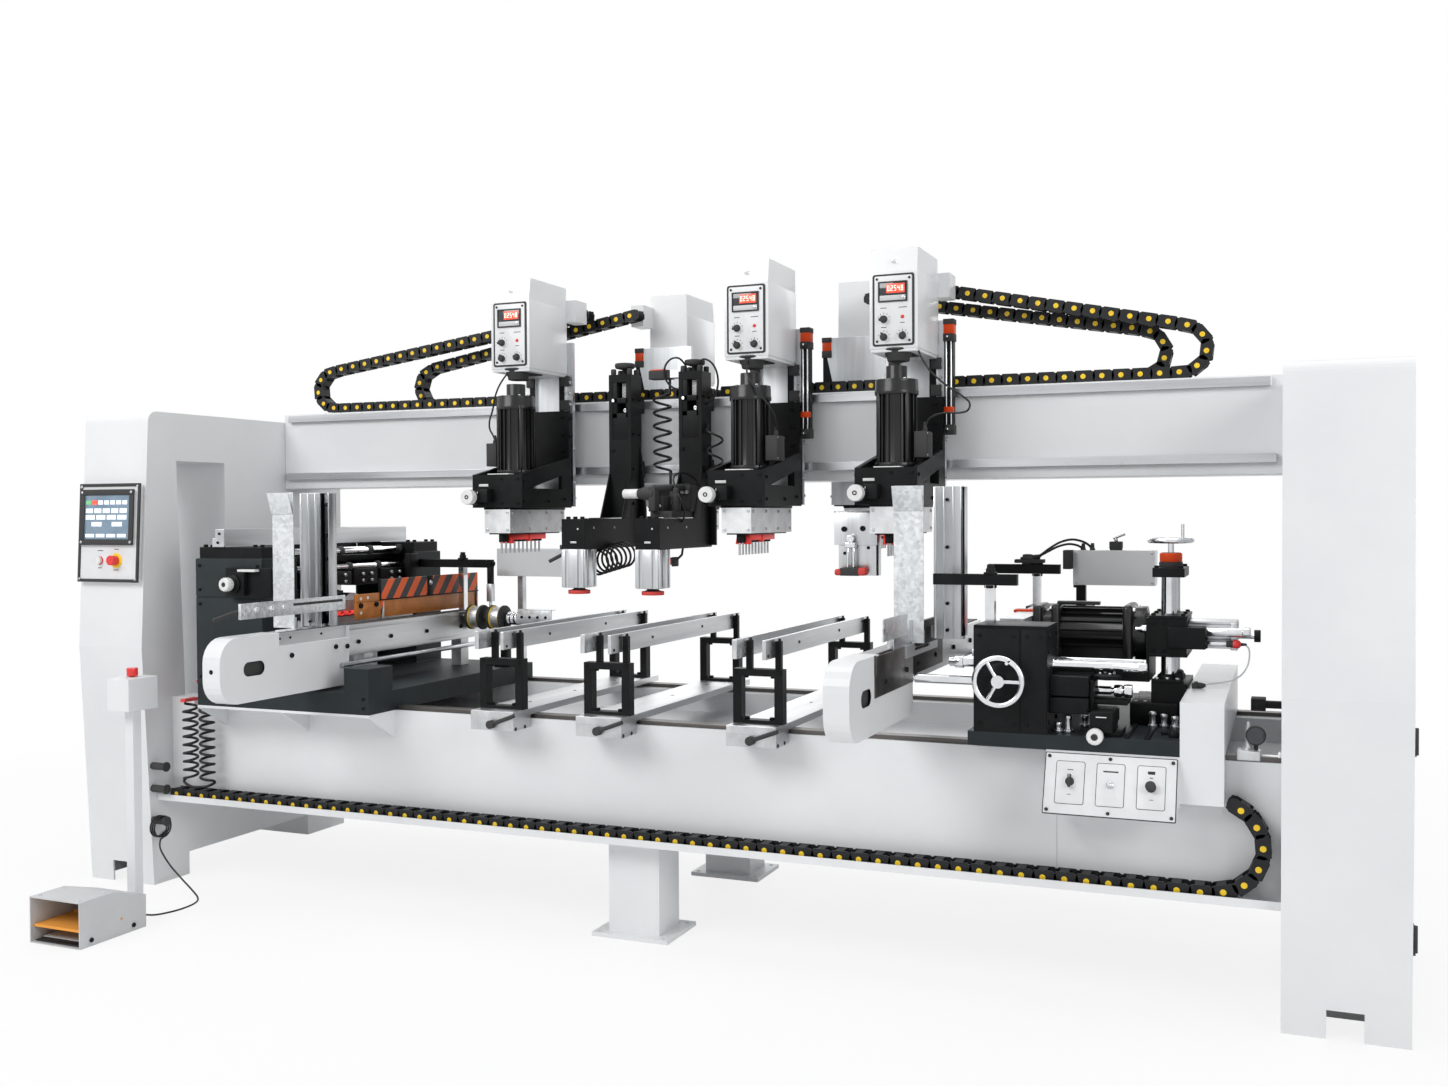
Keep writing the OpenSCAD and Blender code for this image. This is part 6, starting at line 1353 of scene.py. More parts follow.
@dataclass
class LeftUnit:
    """Left drilling unit: tower plates, valve gear, position knob and the fittings of its conveyor."""

    front: float = -50.0
    tower: tuple[float, float] = (-1855.0, -1520.0)
    seam: float = 1197.0
    conveyor: tuple[float, float] = (-1323.0, -1245.0)

    def towers(self) -> None:
        """Front plates with their seam, knob block and cap screws."""
        (x0, x1), y = self.tower, self.front
        Form("left_tower_plates").box((x0 + 2, y - 3, 850), (x1 - 2, y + 1, self.seam - 3)).box(
            (x0 + 2, y - 3, self.seam + 3), (x1 - 2, y + 1, 1347)).done(Finishes.DARK, "frame", 1.2)
        Form("left_plate_screws").bolts(grid((x0 + 22, x1 - 22), y - 3, (1226, 1322, 880, 1170)),
                                        FRONT, 13, 4).bolts(grid(-1050, y, (790, 825)), FRONT, 13, 4
                                        ).done(Finishes.BLACK, "frame", 0.4)
        (Form("left_knob_block").box((-1672, y - 36, 1203), (-1446, y, 1316), 3)
            .box((-1640, y - 60, 1210), (-1560, y - 30, 1300), 3)
            .turned((-1612, y - 60, 1254), FRONT, [(0, 74), (8, 74), (10, 62), (22, 60), (24, 40)], 36)
            .done(Finishes.BLACK, "frame", 1.5))
        Form("left_knob_strip").box((-1590, y - 62, 1302), (-1505, y - 35, 1311)).done(Finishes.KNOB, "frame", 0.8)
        knob = (Form("left_position_knob")
            .turned((-1612, y - 82, 1254), FRONT, [(0, 50), (26, 50), (30, 46), (31, 20), (28, 18)], 36))
        for k in range(18):
            a = math.radians(20 * k)
            x, z = -1612 + 25 * math.cos(a), 1254 + 25 * math.sin(a)
            knob.rod((x, y - 86, z), (x, y - 108, z), 4, 8)
        knob.done(Finishes.KNOB, "frame", 0.6)
        (Form("left_knob_hub").turned((-1612, y - 110, 1254), FRONT, [(0, 18), (2.6, 18), (3.4, 15), (3.4, 8), (1, 7)],
            24).done(Finishes.PLASTIC, "frame", 0.3))
        Form("left_cap_screws").bolts(grid((x0 + 25, x0 + 60, x1 - 60, x1 - 25), (-20, 120, 980, 1120), 1395),
                                      UP, 18, 10).bolts([(-1741, y, 1413), (-1733, y, 1448)], FRONT, 11, 4).done(
            Finishes.BLACK, "frame", 0.5)

    def gear(self) -> None:
        """Guide rods, valve boxes and the back sheet between the towers."""
        (Form("left_guide_rods").rod((-1600, 140, 1366), (-1600, 960, 1366), 26)
            .rod((-1556, 140, 1300), (-1556, 960, 1300), 22).rod((-1680, 140, 1372), (-1680, 960, 1372), 16)
            .done(Finishes.CHROME, "frame", 0.4))
        boxes = Form("left_valve_boxes").box((-1850, 150, 1208), (-1845, 950, 1392))
        for y0, y1, z0, z1 in ((190, 330, 1218, 1286), (352, 520, 1226, 1280), (540, 700, 1218, 1290),
                (724, 900, 1222, 1284)):
            boxes.box((-1650, y0, z0), (-1540, y1, z1), 4)
        boxes.box((-1700, 150, 1320), (-1640, 950, 1346), 3).box((-1530, 880, 1180), (-1500, 948, 1344), 3)
        boxes.done(Finishes.BLACK, "frame", 1.0)
        rings = Form("left_rod_rings")
        for y in (168, 520, 720, 934):
            (rings.turned((-1600, y, 1366), BACK, [(-9, 40), (9, 40)], 28)
                .turned((-1556, y, 1300), BACK, [(-8, 36), (8, 36)], 28))
        rings.done(Finishes.PLASTIC, "frame", 1.5)
        Form("left_fittings").bolts(grid(-1540, (230, 290, 400, 470, 590, 650, 790, 850), (1238, 1266)),
                                    RIGHT, 14, 12).done(Finishes.STEEL, "frame", 0.4)

    def uprights(self) -> None:
        """Bent tip of the sheet, ribs and side plate of the profile, and the fence bar they carry."""
        tip = [(-1423, -105, 1523), (-1323, -105, 1523), (-1323, -132, 1604), (-1423, -132, 1604)]
        Form("left_sheet_tip").slab(tip, (0, -3, 0)).done(Finishes.ZINC, "frame", 0.6)
        ribs = Form("left_profile_ribs")
        for x0, x1 in ((-1373, -1366), (-1337, -1333), (-1303, -1299), (-1280, -1273)):
            ribs.box((x0, -8, 1091), (x1, 0, 1604))
        (ribs.box((-1279, -8, 1100), (-1273, 66, 1604)).box((-1262, 20, 1090), (-1257, 62, 1604))
            .box((-1279, 60, 1092), (-1257, 66, 1604)))
        ribs.done(Finishes.ALLOY_UP, "frame", 0.8)
        Form("left_profile_bolts").bolts(grid(-1273, 30, (1172, 1206, 1236, 1350, 1440, 1560)), RIGHT, 16, 9).bolts(
            [(-1330, -8, 1108), (-1348, -8, 1180)], FRONT, 9, 4).done(Finishes.BLACK, "frame", 0.4)
        fence = (Form("left_fence").box((-1262, -465, 1150), (-1254, 112, 1206))
            .box((-1265, -465, 1150), (-1262, -452, 1206)))
        fence.done(Finishes.ZINC, "frame", 1.0)
        Form("left_fence_slot").box((-1254.6, -190, 1182), (-1253.4, 94, 1192)).done(Finishes.PLASTIC, "frame", 0.2)
        (Form("left_fence_bolts").bolts([(-1254, -388, 1180), (-1254, -309, 1180), (-1254, -243, 1181)], RIGHT, 20, 7)
            .rod((-1373, -102, 1168), (-1262, -102, 1168), 16).rod((-1330, 9, 1172), (-1262, 9, 1172), 16)
            .done(Finishes.CHROME, "frame", 0.4))
        (Form("left_fence_lever").rod((-1268, -440, 1178), (-1290, -470, 1172), 16, 16)
            .rod((-1290, -470, 1172), (-1292, -548, 1156), 13, 16)
            .turned((-1292, -548, 1156), (0, -1, -0.2), [(-6, 13), (0, 15), (8, 14), (11, 8)], 16)
            .done(Finishes.PLASTIC, "frame", 0.8))

    def conveyor_trim(self) -> None:
        """Amber block behind the guard, lip, bolts, cover screws and the hold-down's foot."""
        x0, x1 = self.conveyor
        amber = (Form("left_amber_block").box((x0 - 14, 270, 1094), (x0 - 2, 1150, 1166))
            .box((x0 - 14, 270, 1160), (x0 - 2, 428, 1196)))
        amber.done(Finishes.AMBER, "frame", 2.0)
        (Form("left_amber_screws")
            .bolts([(x0 - 2, 300, 1178), (x0 - 2, 345, 1180), (x0 - 2, 300, 1120)], RIGHT, 14, 1.5)
            .done(Finishes.KNOB, "frame", 0.3))
        (Form("left_amber_stud").bolts([(x0 - 2, 398, 1150), (x0 - 2, 296, 1150)], RIGHT, 22, 9)
            .done(Finishes.BLACK, "frame", 0.4))
        (Form("left_guard_rim").box((x0 - 10, 424, 1164), (x0 + 1.5, 432, 1254))
            .box((x0 - 10, 424, 1163), (x0 + 1.5, 1164, 1168.5)).box((x0 - 3, 760, 1166), (x0 + 2.2, 800, 1252))
            .done(Finishes.BLACK, "frame", 0.8))
        (Form("left_guard_stud").turned((x0 + 1, 780, 1222), RIGHT, [(0, 22), (3, 22), (4, 16), (8, 14), (9, 9)], 20)
            .done(Finishes.STEEL, "frame", 0.3))
        (Form("left_conveyor_lips").box((x1 - 4, 124, 1066), (x1 + 2, 1176, 1086))
            .box((x1 - 3, 124, 968), (x1 + 1.5, 1176, 984)).done(Finishes.ALLOY, "frame", 0.8))
        (Form("left_conveyor_bolts")
            .bolts([(x1, y, z) for y, z in ((178, 1017), (389, 1022), (640, 1022), (900, 1022), (1120, 1022))], RIGHT,
            17, 7).bolts([(x1, -215, 1001), (x1, 37, 1010), (x1, 106, 1006)], RIGHT, 19, 8)
            .bolts([(-1284, -580, 976)], FRONT, 17, 0.8).done(Finishes.BLACK, "frame", 0.4))
        Form("left_cover_liner").box((x0 + 8, -486, 935), (x1 - 12, -334, 1008)).done(Finishes.PLASTIC, "frame", 1.0)
        Form("left_notch_screws").bolts(grid(-1258, (-262, -205, -30), 1066), RIGHT, 9, 3).bolts(
            grid(-1284, (-262, -190), 1090), UP, 9, 0.5).done(Finishes.BLACK, "frame", 0.3)
        Form("left_drive_rod").rod((-1234, 60, 936), (-1234, 1000, 936), 20).done(Finishes.STEEL, "frame", 0.4)
        Form("left_hold_leg").box((-1150, 968, 1206), (-1128, 992, 1283)).turned((-1284, 980, 1316), UP, [
            (0, 46), (8, 46), (8, 30), (20, 30), (22, 24), (34, 22), (34, 12), (28, 11)], 24).turned(
            (-1128, 980, 1299), RIGHT, [(0, 22), (8, 22), (10, 16)], 18).done(Finishes.BLACK, "frame", 1.0)
        (Form("left_hold_foot").box((-1152, 966, 1130), (-1126, 994, 1208))
            .rod((-1139, 980, 1092), (-1139, 980, 1132), 14).done(Finishes.ALLOY_UP, "frame", 1.0))

    def rollers(self) -> None:
        """Two feed rollers on one shaft with their bearing plate."""
        y, z = 960.0, 1060.0
        tread, disc, rim = Form("feed_treads"), Form("feed_discs"), Form("feed_rims")
        for x in (-1195.0, -1085.0):
            tread.turned((x, y, z), RIGHT, [(-24, 96), (24, 96)], 48)
            disc.turned((x, y, z), RIGHT, [(24, 110), (34, 110), (37, 104), (38, 40), (52, 36)], 48).turned(
                (x, y, z), LEFT, [(24, 110), (34, 110), (37, 104), (38, 40)], 48)
            rim.turned((x, y, z), RIGHT, [(20, 102), (24, 104)], 48).turned((x, y, z), LEFT, [(20, 102), (24, 104)], 48)
        tread.done(Finishes.ZINC, "frame", 0.6)
        disc.done(Finishes.PLASTIC, "frame", 1.2)
        rim.done(Finishes.YELLOW, "frame", 0.5)
        (Form("feed_shaft").rod((-1246, y, z), (-985, y, z), 20)
            .turned((-1010, y, z), RIGHT,
            [(-30, 30), (-30, 52), (-18, 56), (-12, 44), (0, 58), (10, 46), (22, 56), (30, 50), (30, 24)], 24)
            .done(Finishes.CHROME, "frame", 0.5))
        (Form("feed_plate").box((-982, y - 12, 1034), (-812, y - 4, 1100))
            .box((-982, y - 12, 1096), (-812, y + 34, 1100)).done(Finishes.ZINC, "frame", 1.0))
        Form("feed_plate_bolts").bolts(grid((-960, -920, -880, -840), y - 12, 1066), FRONT, 13, 4).done(
            Finishes.BLACK, "frame", 0.3)
        (Form("feed_stand").box((-1066, y - 20, 845), (-1034, y + 20, 1040), 2)
            .box((-1090, y - 34, 845), (-1010, y + 34, 857)).box((-1066, y - 8, 1030), (-975, y + 20, 1046))
            .done(Finishes.BLACK, "frame", 1.2))

    def build(self) -> None:
        """Makes the unit's fittings."""
        self.towers()
        self.gear()
        self.uprights()
        self.conveyor_trim()
        self.rollers()


def lectern(x: float, v: float, s: float) -> Vector:
    """Point on the right unit's sloping knob panel: x along it, v out of it, s up the slope."""
    t = math.radians(24.44)
    return at(1470 + x, -54 + s * math.sin(t) - v * math.cos(t), 598 + s * math.cos(t) + v * math.sin(t))


@dataclass
class RightUnit:
    """Right drilling unit on its carriage: tower, lift, feed, knob panel and air service."""

    deck: float = 825.0
    front: float = 30.0
    post: tuple[float, float] = (1802.0, 500.0)
    carriage: str = "right_carriage"

    def tower(self) -> None:
        """Front plates, screws, guide rod, valve box and coupling."""
        y, b = self.front, self.carriage
        (Form("right_tower_plates").box((1245, y - 3, 828), (1388, y + 1, 1150))
            .box((1394, y - 3, 828), (1471, y + 1, 1150)).box((1243, y + 2, 1155), (1473, y + 198, 1161))
            .box((1243, 952, 1155), (1473, 1148, 1161)).done(Finishes.BLACK, b, 1.2))
        Form("right_tower_screws").bolts(grid((1262, 1372, 1410, 1455), y - 3, (850, 1130)), FRONT, 12, 4).bolts(
            grid(1473, (60, 200), (860, 1080, 1130)), RIGHT, 14, 5).done(Finishes.BLACK, b, 0.4)
        (Form("right_wheel_boss")
            .turned((1330.6, y - 2, 990), FRONT, [(0, 110), (4, 110), (6, 92), (14, 60), (22, 44), (22, 30)], 40)
            .done(Finishes.BLACK, b, 0.8))
        (Form("right_guide_rod")
            .turned((1470, 150, 1031), RIGHT,
            [(0, 40), (6, 40), (6, 30), (262, 30), (262, 36), (274, 36), (280, 32), (288, 30)], 32)
            .rod((1473, 180, 1046), (1745, 180, 1046), 16).done(Finishes.CHROME, b, 0.5))
        (Form("right_valve_box").box((1473, 70, 942), (1592, 210, 1004), 4).box((1473, 66, 888), (1592, 214, 938), 4)
            .box((1592, 90, 900), (1606, 190, 990), 3)
            .turned((1640, 140, 992), UP, [(0, 60), (3, 84), (12, 88), (16, 80), (18, 50)], 40)
            .box((1600, 100, 918), (1706, 200, 932), 2).done(Finishes.BLACK, b, 1.0))
        (Form("right_coupling")
            .turned((1604, 140, 958), RIGHT,
            [(0, 26), (48, 26), (50, 18), (56, 18), (58, 34), (64, 38), (80, 38), (84, 30), (90, 42), (112, 42)], 32)
            .done(Finishes.CHROME, b, 0.5))
        (Form("right_disc_screws")
            .bolts([(1640 + 22 * math.cos(a), 140 + 22 * math.sin(a), 1010) for a in (0.4, 2.0, 3.5, 5.2)], UP, 10, 4)
            .done(Finishes.STEEL, b, 0.3))

    def deck_fittings(self) -> None:
        """Position knob, studs and rails on the base plate."""
        b, z = self.carriage, self.deck
        (Form("right_knob_block").box((1600, 40, z + 12), (1668, 190, z + 78), 5)
            .box((1608, 190, z + 20), (1660, 300, z + 60), 3)
            .turned((1618, 40, z + 4), FRONT, [(-6, 52), (4, 52), (8, 40)], 32).box((1590, 60, z), (1690, 200, z + 14))
            .done(Finishes.BLACK, b, 1.2))
        Form("right_knob_lines").box((1618, 39, z + 60), (1650, 41, z + 63)).done(Finishes.KNOB, b, 0.3)
        (Form("right_position_knob")
            .turned((1618, 34, z + 4), FRONT, [(0, 50), (22, 50), (27, 45), (28, 22), (25, 20)], 36)
            .done(Finishes.KNOB, b, 0.6))
        Form("right_knob_hub").turned((1618, 8, z + 4), FRONT, [(0, 20), (2, 20), (3, 16), (3, 9), (0.5, 8)], 24).done(
            Finishes.PLASTIC, b, 0.3)
        studs = Form("right_studs")
        for x, y, h in ((1496, 96, 34), (1527, 100, 56), (1560, 230, 40), (1762, 300, 52), (1796, 310, 44),
                (1830, 300, 40)):
            studs.turned((x, y, z), UP, [(0, 30), (10, 30), (11, 20), (h - 12, 20), (h - 12, 24), (h - 3, 24), (h, 19)],
                18)
        studs.done(Finishes.STEEL, b, 0.5)
        (Form("right_deck_strips").box((1480, 44, z), (1500, 340, z + 5)).box((1700, 44, z), (1716, 340, z + 5))
            .box((1760, 44, z), (1776, 280, z + 5)).box((1800, 150, z), (1850, 200, z + 12), 2)
            .turned((1842, 120, z), UP, [(0, 34), (14, 34), (18, 28), (18, 15), (10, 14)], 24)
            .done(Finishes.BLACK, b, 0.8))

    def lift(self) -> None:
        """Foot ribs, post collars, the indicator under the top wheel and the arm on the saddle."""
        (x, y), b = self.post, self.carriage
        ribs = Form("lift_foot_ribs").box((1852, 360, 948), (1864, 640, 960)).box((1752, 360, 960), (1852, 392, 972))
        for yy in (360, 414, 470, 522, 578, 630):
            ribs.box((1852, yy, 890), (1864, yy + 10, 950))
        for yy in (430, 570):
            ribs.turned((x, yy, 960), UP, [(0, 84), (10, 84), (13, 76), (22, 70), (26, 52)], 36)
        (ribs.box((1822, 388, 960), (1850, 412, 992), 2).turned((1836, 400, 990), UP, [(0, 18), (6, 18), (8, 14)], 16)
            .done(Finishes.BLACK, b, 1.0))
        Form("lift_foot_screws").bolts(grid((1768, 1800, 1832), 376, 972), UP, 15, 6).bolts(
            grid((1702, 1732), (380, 500, 620), 892), UP, 16, 7).done(Finishes.STEEL, b, 0.4)
        (Form("lift_dial_ring").turned((x, y, 1350), UP, [(0, 68), (0, 72), (26, 72), (29, 66)], 40)
            .done(Finishes.SIGNAL, b, 0.8))
        (Form("lift_dial_base").turned((x, y, 1330), UP, [(0, 76), (18, 76), (20, 66)], 40)
            .done(Finishes.PLASTIC, b, 0.8))
        Form("lift_cap_screws").bolts(grid((1764, 1840), (410, 590), 1332), UP, 15, 8).done(Finishes.BLACK, b, 0.4)
        c = "right_lift"
        (Form("saddle_arm").box((1800, 372, 1072), (1918, 442, 1142), 3).box((1742, 378, 1168), (1862, 622, 1178), 2)
            .box((1742, 376, 1044), (1862, 624, 1054), 2).done(Finishes.BLACK, c, 1.2))
        (Form("saddle_rods").turned((1918, 424, 1126), RIGHT, [(-4, 30), (108, 30), (110, 34), (132, 34), (134, 24)],
            32).turned((1918, 424, 1088), RIGHT, [(-4, 18), (62, 18)], 24)
            .turned((1744, 424, 1128), LEFT, [(-4, 34), (30, 34), (34, 28), (46, 28)], 28)
            .done(Finishes.CHROME, c, 0.4))
        (Form("saddle_cylinder").box((1862, 444, 1148), (2010, 556, 1160), 3)
            .box((1990, 442, 1066), (2012, 558, 1156), 3).box((1862, 447, 1098), (1992, 450, 1122))
            .box((1862, 552, 1098), (1992, 555, 1122)).done(Finishes.ALLOY, c, 1.0))
        Form("saddle_screws").bolts(grid((1756, 1790), 381, (1066, 1154)), FRONT, 13, 5).bolts(
            grid(1918, (382, 402), (1080, 1106)), RIGHT, 11, 5).bolts(
            grid((1756, 1848), (396, 500, 604), 1178), UP, 14, 7).done(Finishes.BLACK, c, 0.4)
        (Form("sensor_body").turned((1978, 424, 1088), RIGHT, [(0, 20), (14, 20), (14, 24), (20, 24)], 20)
            .done(Finishes.PLASTIC, c, 0.5))
        (Form("sensor_head").turned((1998, 424, 1088), RIGHT, [(0, 26), (12, 28), (20, 24), (24, 14)], 24)
            .done(Finishes.RED, c, 0.5))

    def feed(self) -> None:
        """Square end plates of the motor and the cylinder under it."""
        u = "right_feed_unit"
        plates = Form("right_motor_plates")
        for x0, x1 in ((1424, 1454), (1656, 1690)):
            plates.box((x0, 402, 1012), (x1, 598, 1208), 14)
        plates.box((1362, 408, 1018), (1392, 592, 1202), 10).box((1440, 440, 1204), (1580, 470, 1216), 2)
        plates.done(Finishes.MOTOR, u, 1.2)
        Form("right_motor_bolts").bolts(grid(1690, (420, 580), (1030, 1190)), RIGHT, 18, 8).bolts(
            grid(1424, (420, 580), (1030, 1190)), LEFT, 16, 7).done(Finishes.STEEL, u, 0.4)
        Form("right_feed_body").box((1470, 420, 996), (1622, 560, 1012), 3).done(Finishes.BLACK, u, 1.0)

    def rear(self) -> None:
        """Hold-down bolts, black hose fittings, and the rear box's shut-off lever and screws."""
        b = self.carriage
        tops = Form("right_hold_bolts")
        for y in (150, 1030):
            tops.turned((1273, y, 1316), UP,
                [(0, 44), (7, 44), (7, 30), (18, 30), (20, 24), (32, 22), (32, 12), (27, 11)], 24)
            tops.turned((1273, y, 1281), DOWN, [(0, 40), (8, 40), (10, 32)], 24)
        tops.done(Finishes.BLACK, b, 0.8)
        (Form("right_hose_block").box((1190, 1004, 1322), (1300, 1056, 1336), 2)
            .turned((1237, 1030, 1336), UP, [(0, 56), (8, 56), (10, 40), (18, 38), (20, 20)], 28)
            .turned((1237, 1030, 1322), DOWN, [(0, 44), (5, 44)], 28).box((1372, 1010, 1300), (1404, 1080, 1372), 3)
            .box((1404, 1060, 1228), (1426, 1110, 1245), 2).done(Finishes.PLASTIC, b, 1.2))
        (Form("rear_valve").box((1538, 1064, 1371), (1580, 1104, 1376)).box((1536, 1062, 1376), (1582, 1106, 1404), 3)
            .done(Finishes.PLASTIC, b, 1.0))
        (Form("rear_lever").turned((1559, 1084, 1404), UP, [(0, 14), (12, 14)], 18)
            .rod((1548, 1084, 1416), (1592, 1084, 1432), 10, 16).done(Finishes.STEEL, b, 0.8))
        Form("rear_box_screws").bolts(grid((1416, 1692), 1050, (1250, 1360)), FRONT, 9, 3).done(Finishes.STEEL, b, 0.3)

    def uprights(self) -> None:
        """Bent sheet tip, profile ribs, conveyor and fence parts, slide pad and the tower's foot."""
        b = self.carriage
        tip = [(963, 105, 1523), (1063, 105, 1523), (1063, 80, 1604), (963, 80, 1604)]
        Form("right_sheet_tip").slab(tip, (0, -3, 0)).done(Finishes.ZINC, b, 0.6)
        ribs = Form("right_profile_ribs")
        for x0, x1 in ((1053, 1060), (1086, 1090), (1118, 1122), (1146, 1153)):
            ribs.box((x0, 282, 1091), (x1, 290, 1604))
        ribs.box((1147, 282, 1100), (1153, 356, 1604)).done(Finishes.ALLOY_UP, b, 0.8)
        (Form("right_conveyor_bolts")
            .bolts([(1023, y, z)
            for y, z in ((-215, 1001), (37, 1010), (178, 1017), (420, 1022), (700, 1022), (980, 1022))], RIGHT, 18, 7)
            .bolts([(945, y, z) for y, z in ((-215, 1001), (37, 1010), (178, 1017), (420, 1022))], LEFT, 18, 7)
            .bolts(grid(1100, 282, (1120, 1210, 1400, 1560)), FRONT, 12, 5).done(Finishes.BLACK, b, 0.4))
        Form("right_cover_liner").box((957, -486, 935), (1011, -334, 1008)).done(Finishes.PLASTIC, b, 1.0)
        # The cover bar uses the same darkened steel, a painted dark reflection.
        (Form("right_cover_bar").box((1021, -328, 962), (1026, 118, 1086)).box((1021, -330, 1030), (1027, -316, 1090))
            .done(Finishes.STEEL_PAINTED_DARK, b, 0.6))
        (Form("right_tower_rod")
            .turned((1244, 150, 1031), LEFT, [(0, 34), (58, 34), (58, 42), (84, 42), (90, 34), (104, 32)], 32)
            .done(Finishes.CHROME, b, 0.5))
        (Form("right_conveyor_lips").box((943, 124, 1066), (949, 1176, 1086)).box((1019, 124, 1066), (1025, 1176, 1086))
            .done(Finishes.ALLOY, b, 0.8))
        Form("right_slide_pad").box((1262, 604, 1161), (1340, 664, 1172), 3).done(Finishes.SIGNAL, b, 1.0)
        Form("right_tower_foot").box((1688, 330, 824), (1836, 640, 898), 4).done(Finishes.BLACK, b, 1.5)
        (Form("right_fence_block").box((1000, -110, 1085), (1023, 104, 1138), 2)
            .box((1018, 60, 1097), (1028, 104, 1168), 1).done(Finishes.ALLOY, b, 0.6))
        Form("right_fence_plate").box((1022, -240, 1122), (1026, 44, 1192), 1).done(Finishes.ZINC, b, 0.4)
        (Form("right_fence_bar").box((1023, 121, 1076), (1037, 500, 1156), 2)
            .box((1022.5, 121, 985), (1027, 520, 1076), 1).done(Finishes.BLACK, b, 0.8))
        (Form("right_fence_lever").turned((1036, 484, 1132), RIGHT, [(0, 22), (10, 22), (13, 16)], 20)
            .rod((1044, 484, 1130), (1048, 506, 1200), 13).done(Finishes.PLASTIC, b, 0.8))

    def knob_panel(self) -> None:
        """Sloping knob panel with three framed fields: a selector, a lock and a mushroom button."""
        b = self.carriage
        (Form("knob_panel_body")
            .slab([(1471, -52, 597), (1471, 27, 773), (1471, 40, 779), (1471, 40, 640), (1471, 20, 598)], (388, 0, 0))
            .done(Finishes.WHITE, b, 2.0))
        Form("knob_panel_edge", lectern).slab(rounded(0, 390, 0, 193, 0, 4), (0, 2.4, 0)).done(Finishes.PLASTIC, b, 0.4)
        Form("knob_panel_plate", lectern).slab(rounded(3, 387, 3, 190, 2, 3), (0, 1.6, 0)).done(Finishes.PLATE, b, 0.4)
        lines, fields = Form("field_lines", lectern), Form("field_plates", lectern)
        for x0, x1 in ((35, 122), (156, 240), (275, 358)):
            lines.slab(rounded(x0, x1, 33, 167, 3, 7), (0, 1.1, 0))
            fields.slab(rounded(x0 + 1.8, x1 - 1.8, 34.8, 165.2, 3, 5.4), (0, 1.5, 0))
        lines.done(Finishes.PLASTIC, b, 0.0)
        fields.done(Finishes.PLATE, b, 0.2)
        (Form("field_knobs", lectern).turned((78, 4, 103), OUT, [(0, 27), (5, 27), (6, 23), (14, 22), (15, 18)], 24)
            .slab([(74, 10, 84), (82, 10, 84), (83, 10, 122), (73, 10, 122)], (0, 15, 0))
            .turned((316, 4, 101), OUT, [(0, 30), (4, 30), (5, 20), (14, 20), (15, 30), (21, 31), (26, 26), (28, 12)],
            28).done(Finishes.PLASTIC, b, 0.8))
        Form("selector_ring", lectern).turned((78, 3.5, 103), OUT, [(0, 36), (1.6, 36), (2.4, 32)], 28).box(
            (77, 24.6, 112), (79, 25.6, 121)).done(Finishes.KNOB, b, 0.3)
        (Form("field_lock", lectern)
            .turned((198, 4, 100), OUT, [(0, 24), (2, 24), (3, 20), (9, 19), (10, 13), (13, 12), (13, 7), (10, 6)], 24)
            .done(Finishes.STEEL, b, 0.4))
        marks = Form("field_marks", lectern)
        for x, s, w, h in ((78, 138, 18, 3), (198, 138, 44, 5), (316, 140, 20, 10), (316, 128, 10, 3),
                (78, 62, 12, 2.4), (318, 62, 12, 2.4)):
            marks.box((x - w / 2, 4.2, s), (x + w / 2, 5, s + h))
        marks.done(Finishes.PLASTIC, b, 0.0)
        Form("knob_panel_screws", lectern).bolts(grid((13, 195, 377), 3, (13, 180)), OUT, 11, 4).done(
            Finishes.PLASTIC, b, 0.4)

    def air_service(self) -> None:
        """Air regulator on its pipe beside the right column."""
        x, y, z = 2052.0, 150.0, 772.0
        (Form("regulator_block").box((x - 32, y - 34, z - 6), (x + 36, y + 34, z + 24), 4)
            .turned((x + 34, y, z), RIGHT, [(0, 30), (4, 30), (6, 24), (50, 24), (50, 44), (60, 44)], 28)
            .turned((x, y, z + 20), UP, [(0, 40), (6, 40), (9, 26), (24, 22), (26, 16), (70, 15), (76, 10), (88, 9)],
            24).done(Finishes.CAST, "frame", 1.0))
        (Form("regulator_bowl")
            .turned((x, y, z - 4), DOWN, [(0, 52), (8, 54), (14, 48), (66, 46), (76, 40), (84, 26), (92, 18)], 32)
            .done(Finishes.GLASS, "frame", 0.8))
        (Form("regulator_float").box((x - 9, y - 25.5, z - 40), (x + 9, y - 22.6, z - 16), 1.5)
            .done(Finishes.RED, "frame", 0.4))
        Form("regulator_gauge").turned((x + 22, y - 8, z + 70), FRONT, [(0, 58), (16, 58), (18, 52)], 32).rod(
            (x + 22, y, z + 22), (x + 22, y, z + 52), 13, 16).done(Finishes.PLASTIC, "frame", 1.0)
        (Form("gauge_face").turned((x + 22, y - 25, z + 70), FRONT, [(0, 50), (1.6, 50)], 32)
            .done(Finishes.GLASS, "frame", 0.2))
        (Form("column_box").box((2044, 760, 830), (2092, 830, 872), 3).box((2092, 780, 838), (2146, 810, 862), 2)
            .done(Finishes.PLASTIC, "frame", 1.2))

    def build(self) -> None:
        """Makes the unit's fittings."""
        self.tower()
        self.deck_fittings()
        self.lift()
        self.feed()
        self.rear()
        self.uprights()
        self.knob_panel()
        self.air_service()


def middle(x: float, y: float, z: float) -> Vector:
    """Point of a table support, in metres: x from its own middle, y and z as on the machine."""
    return Vector((x / 1000, (y - MID_Y) / 1000, z / 1000))


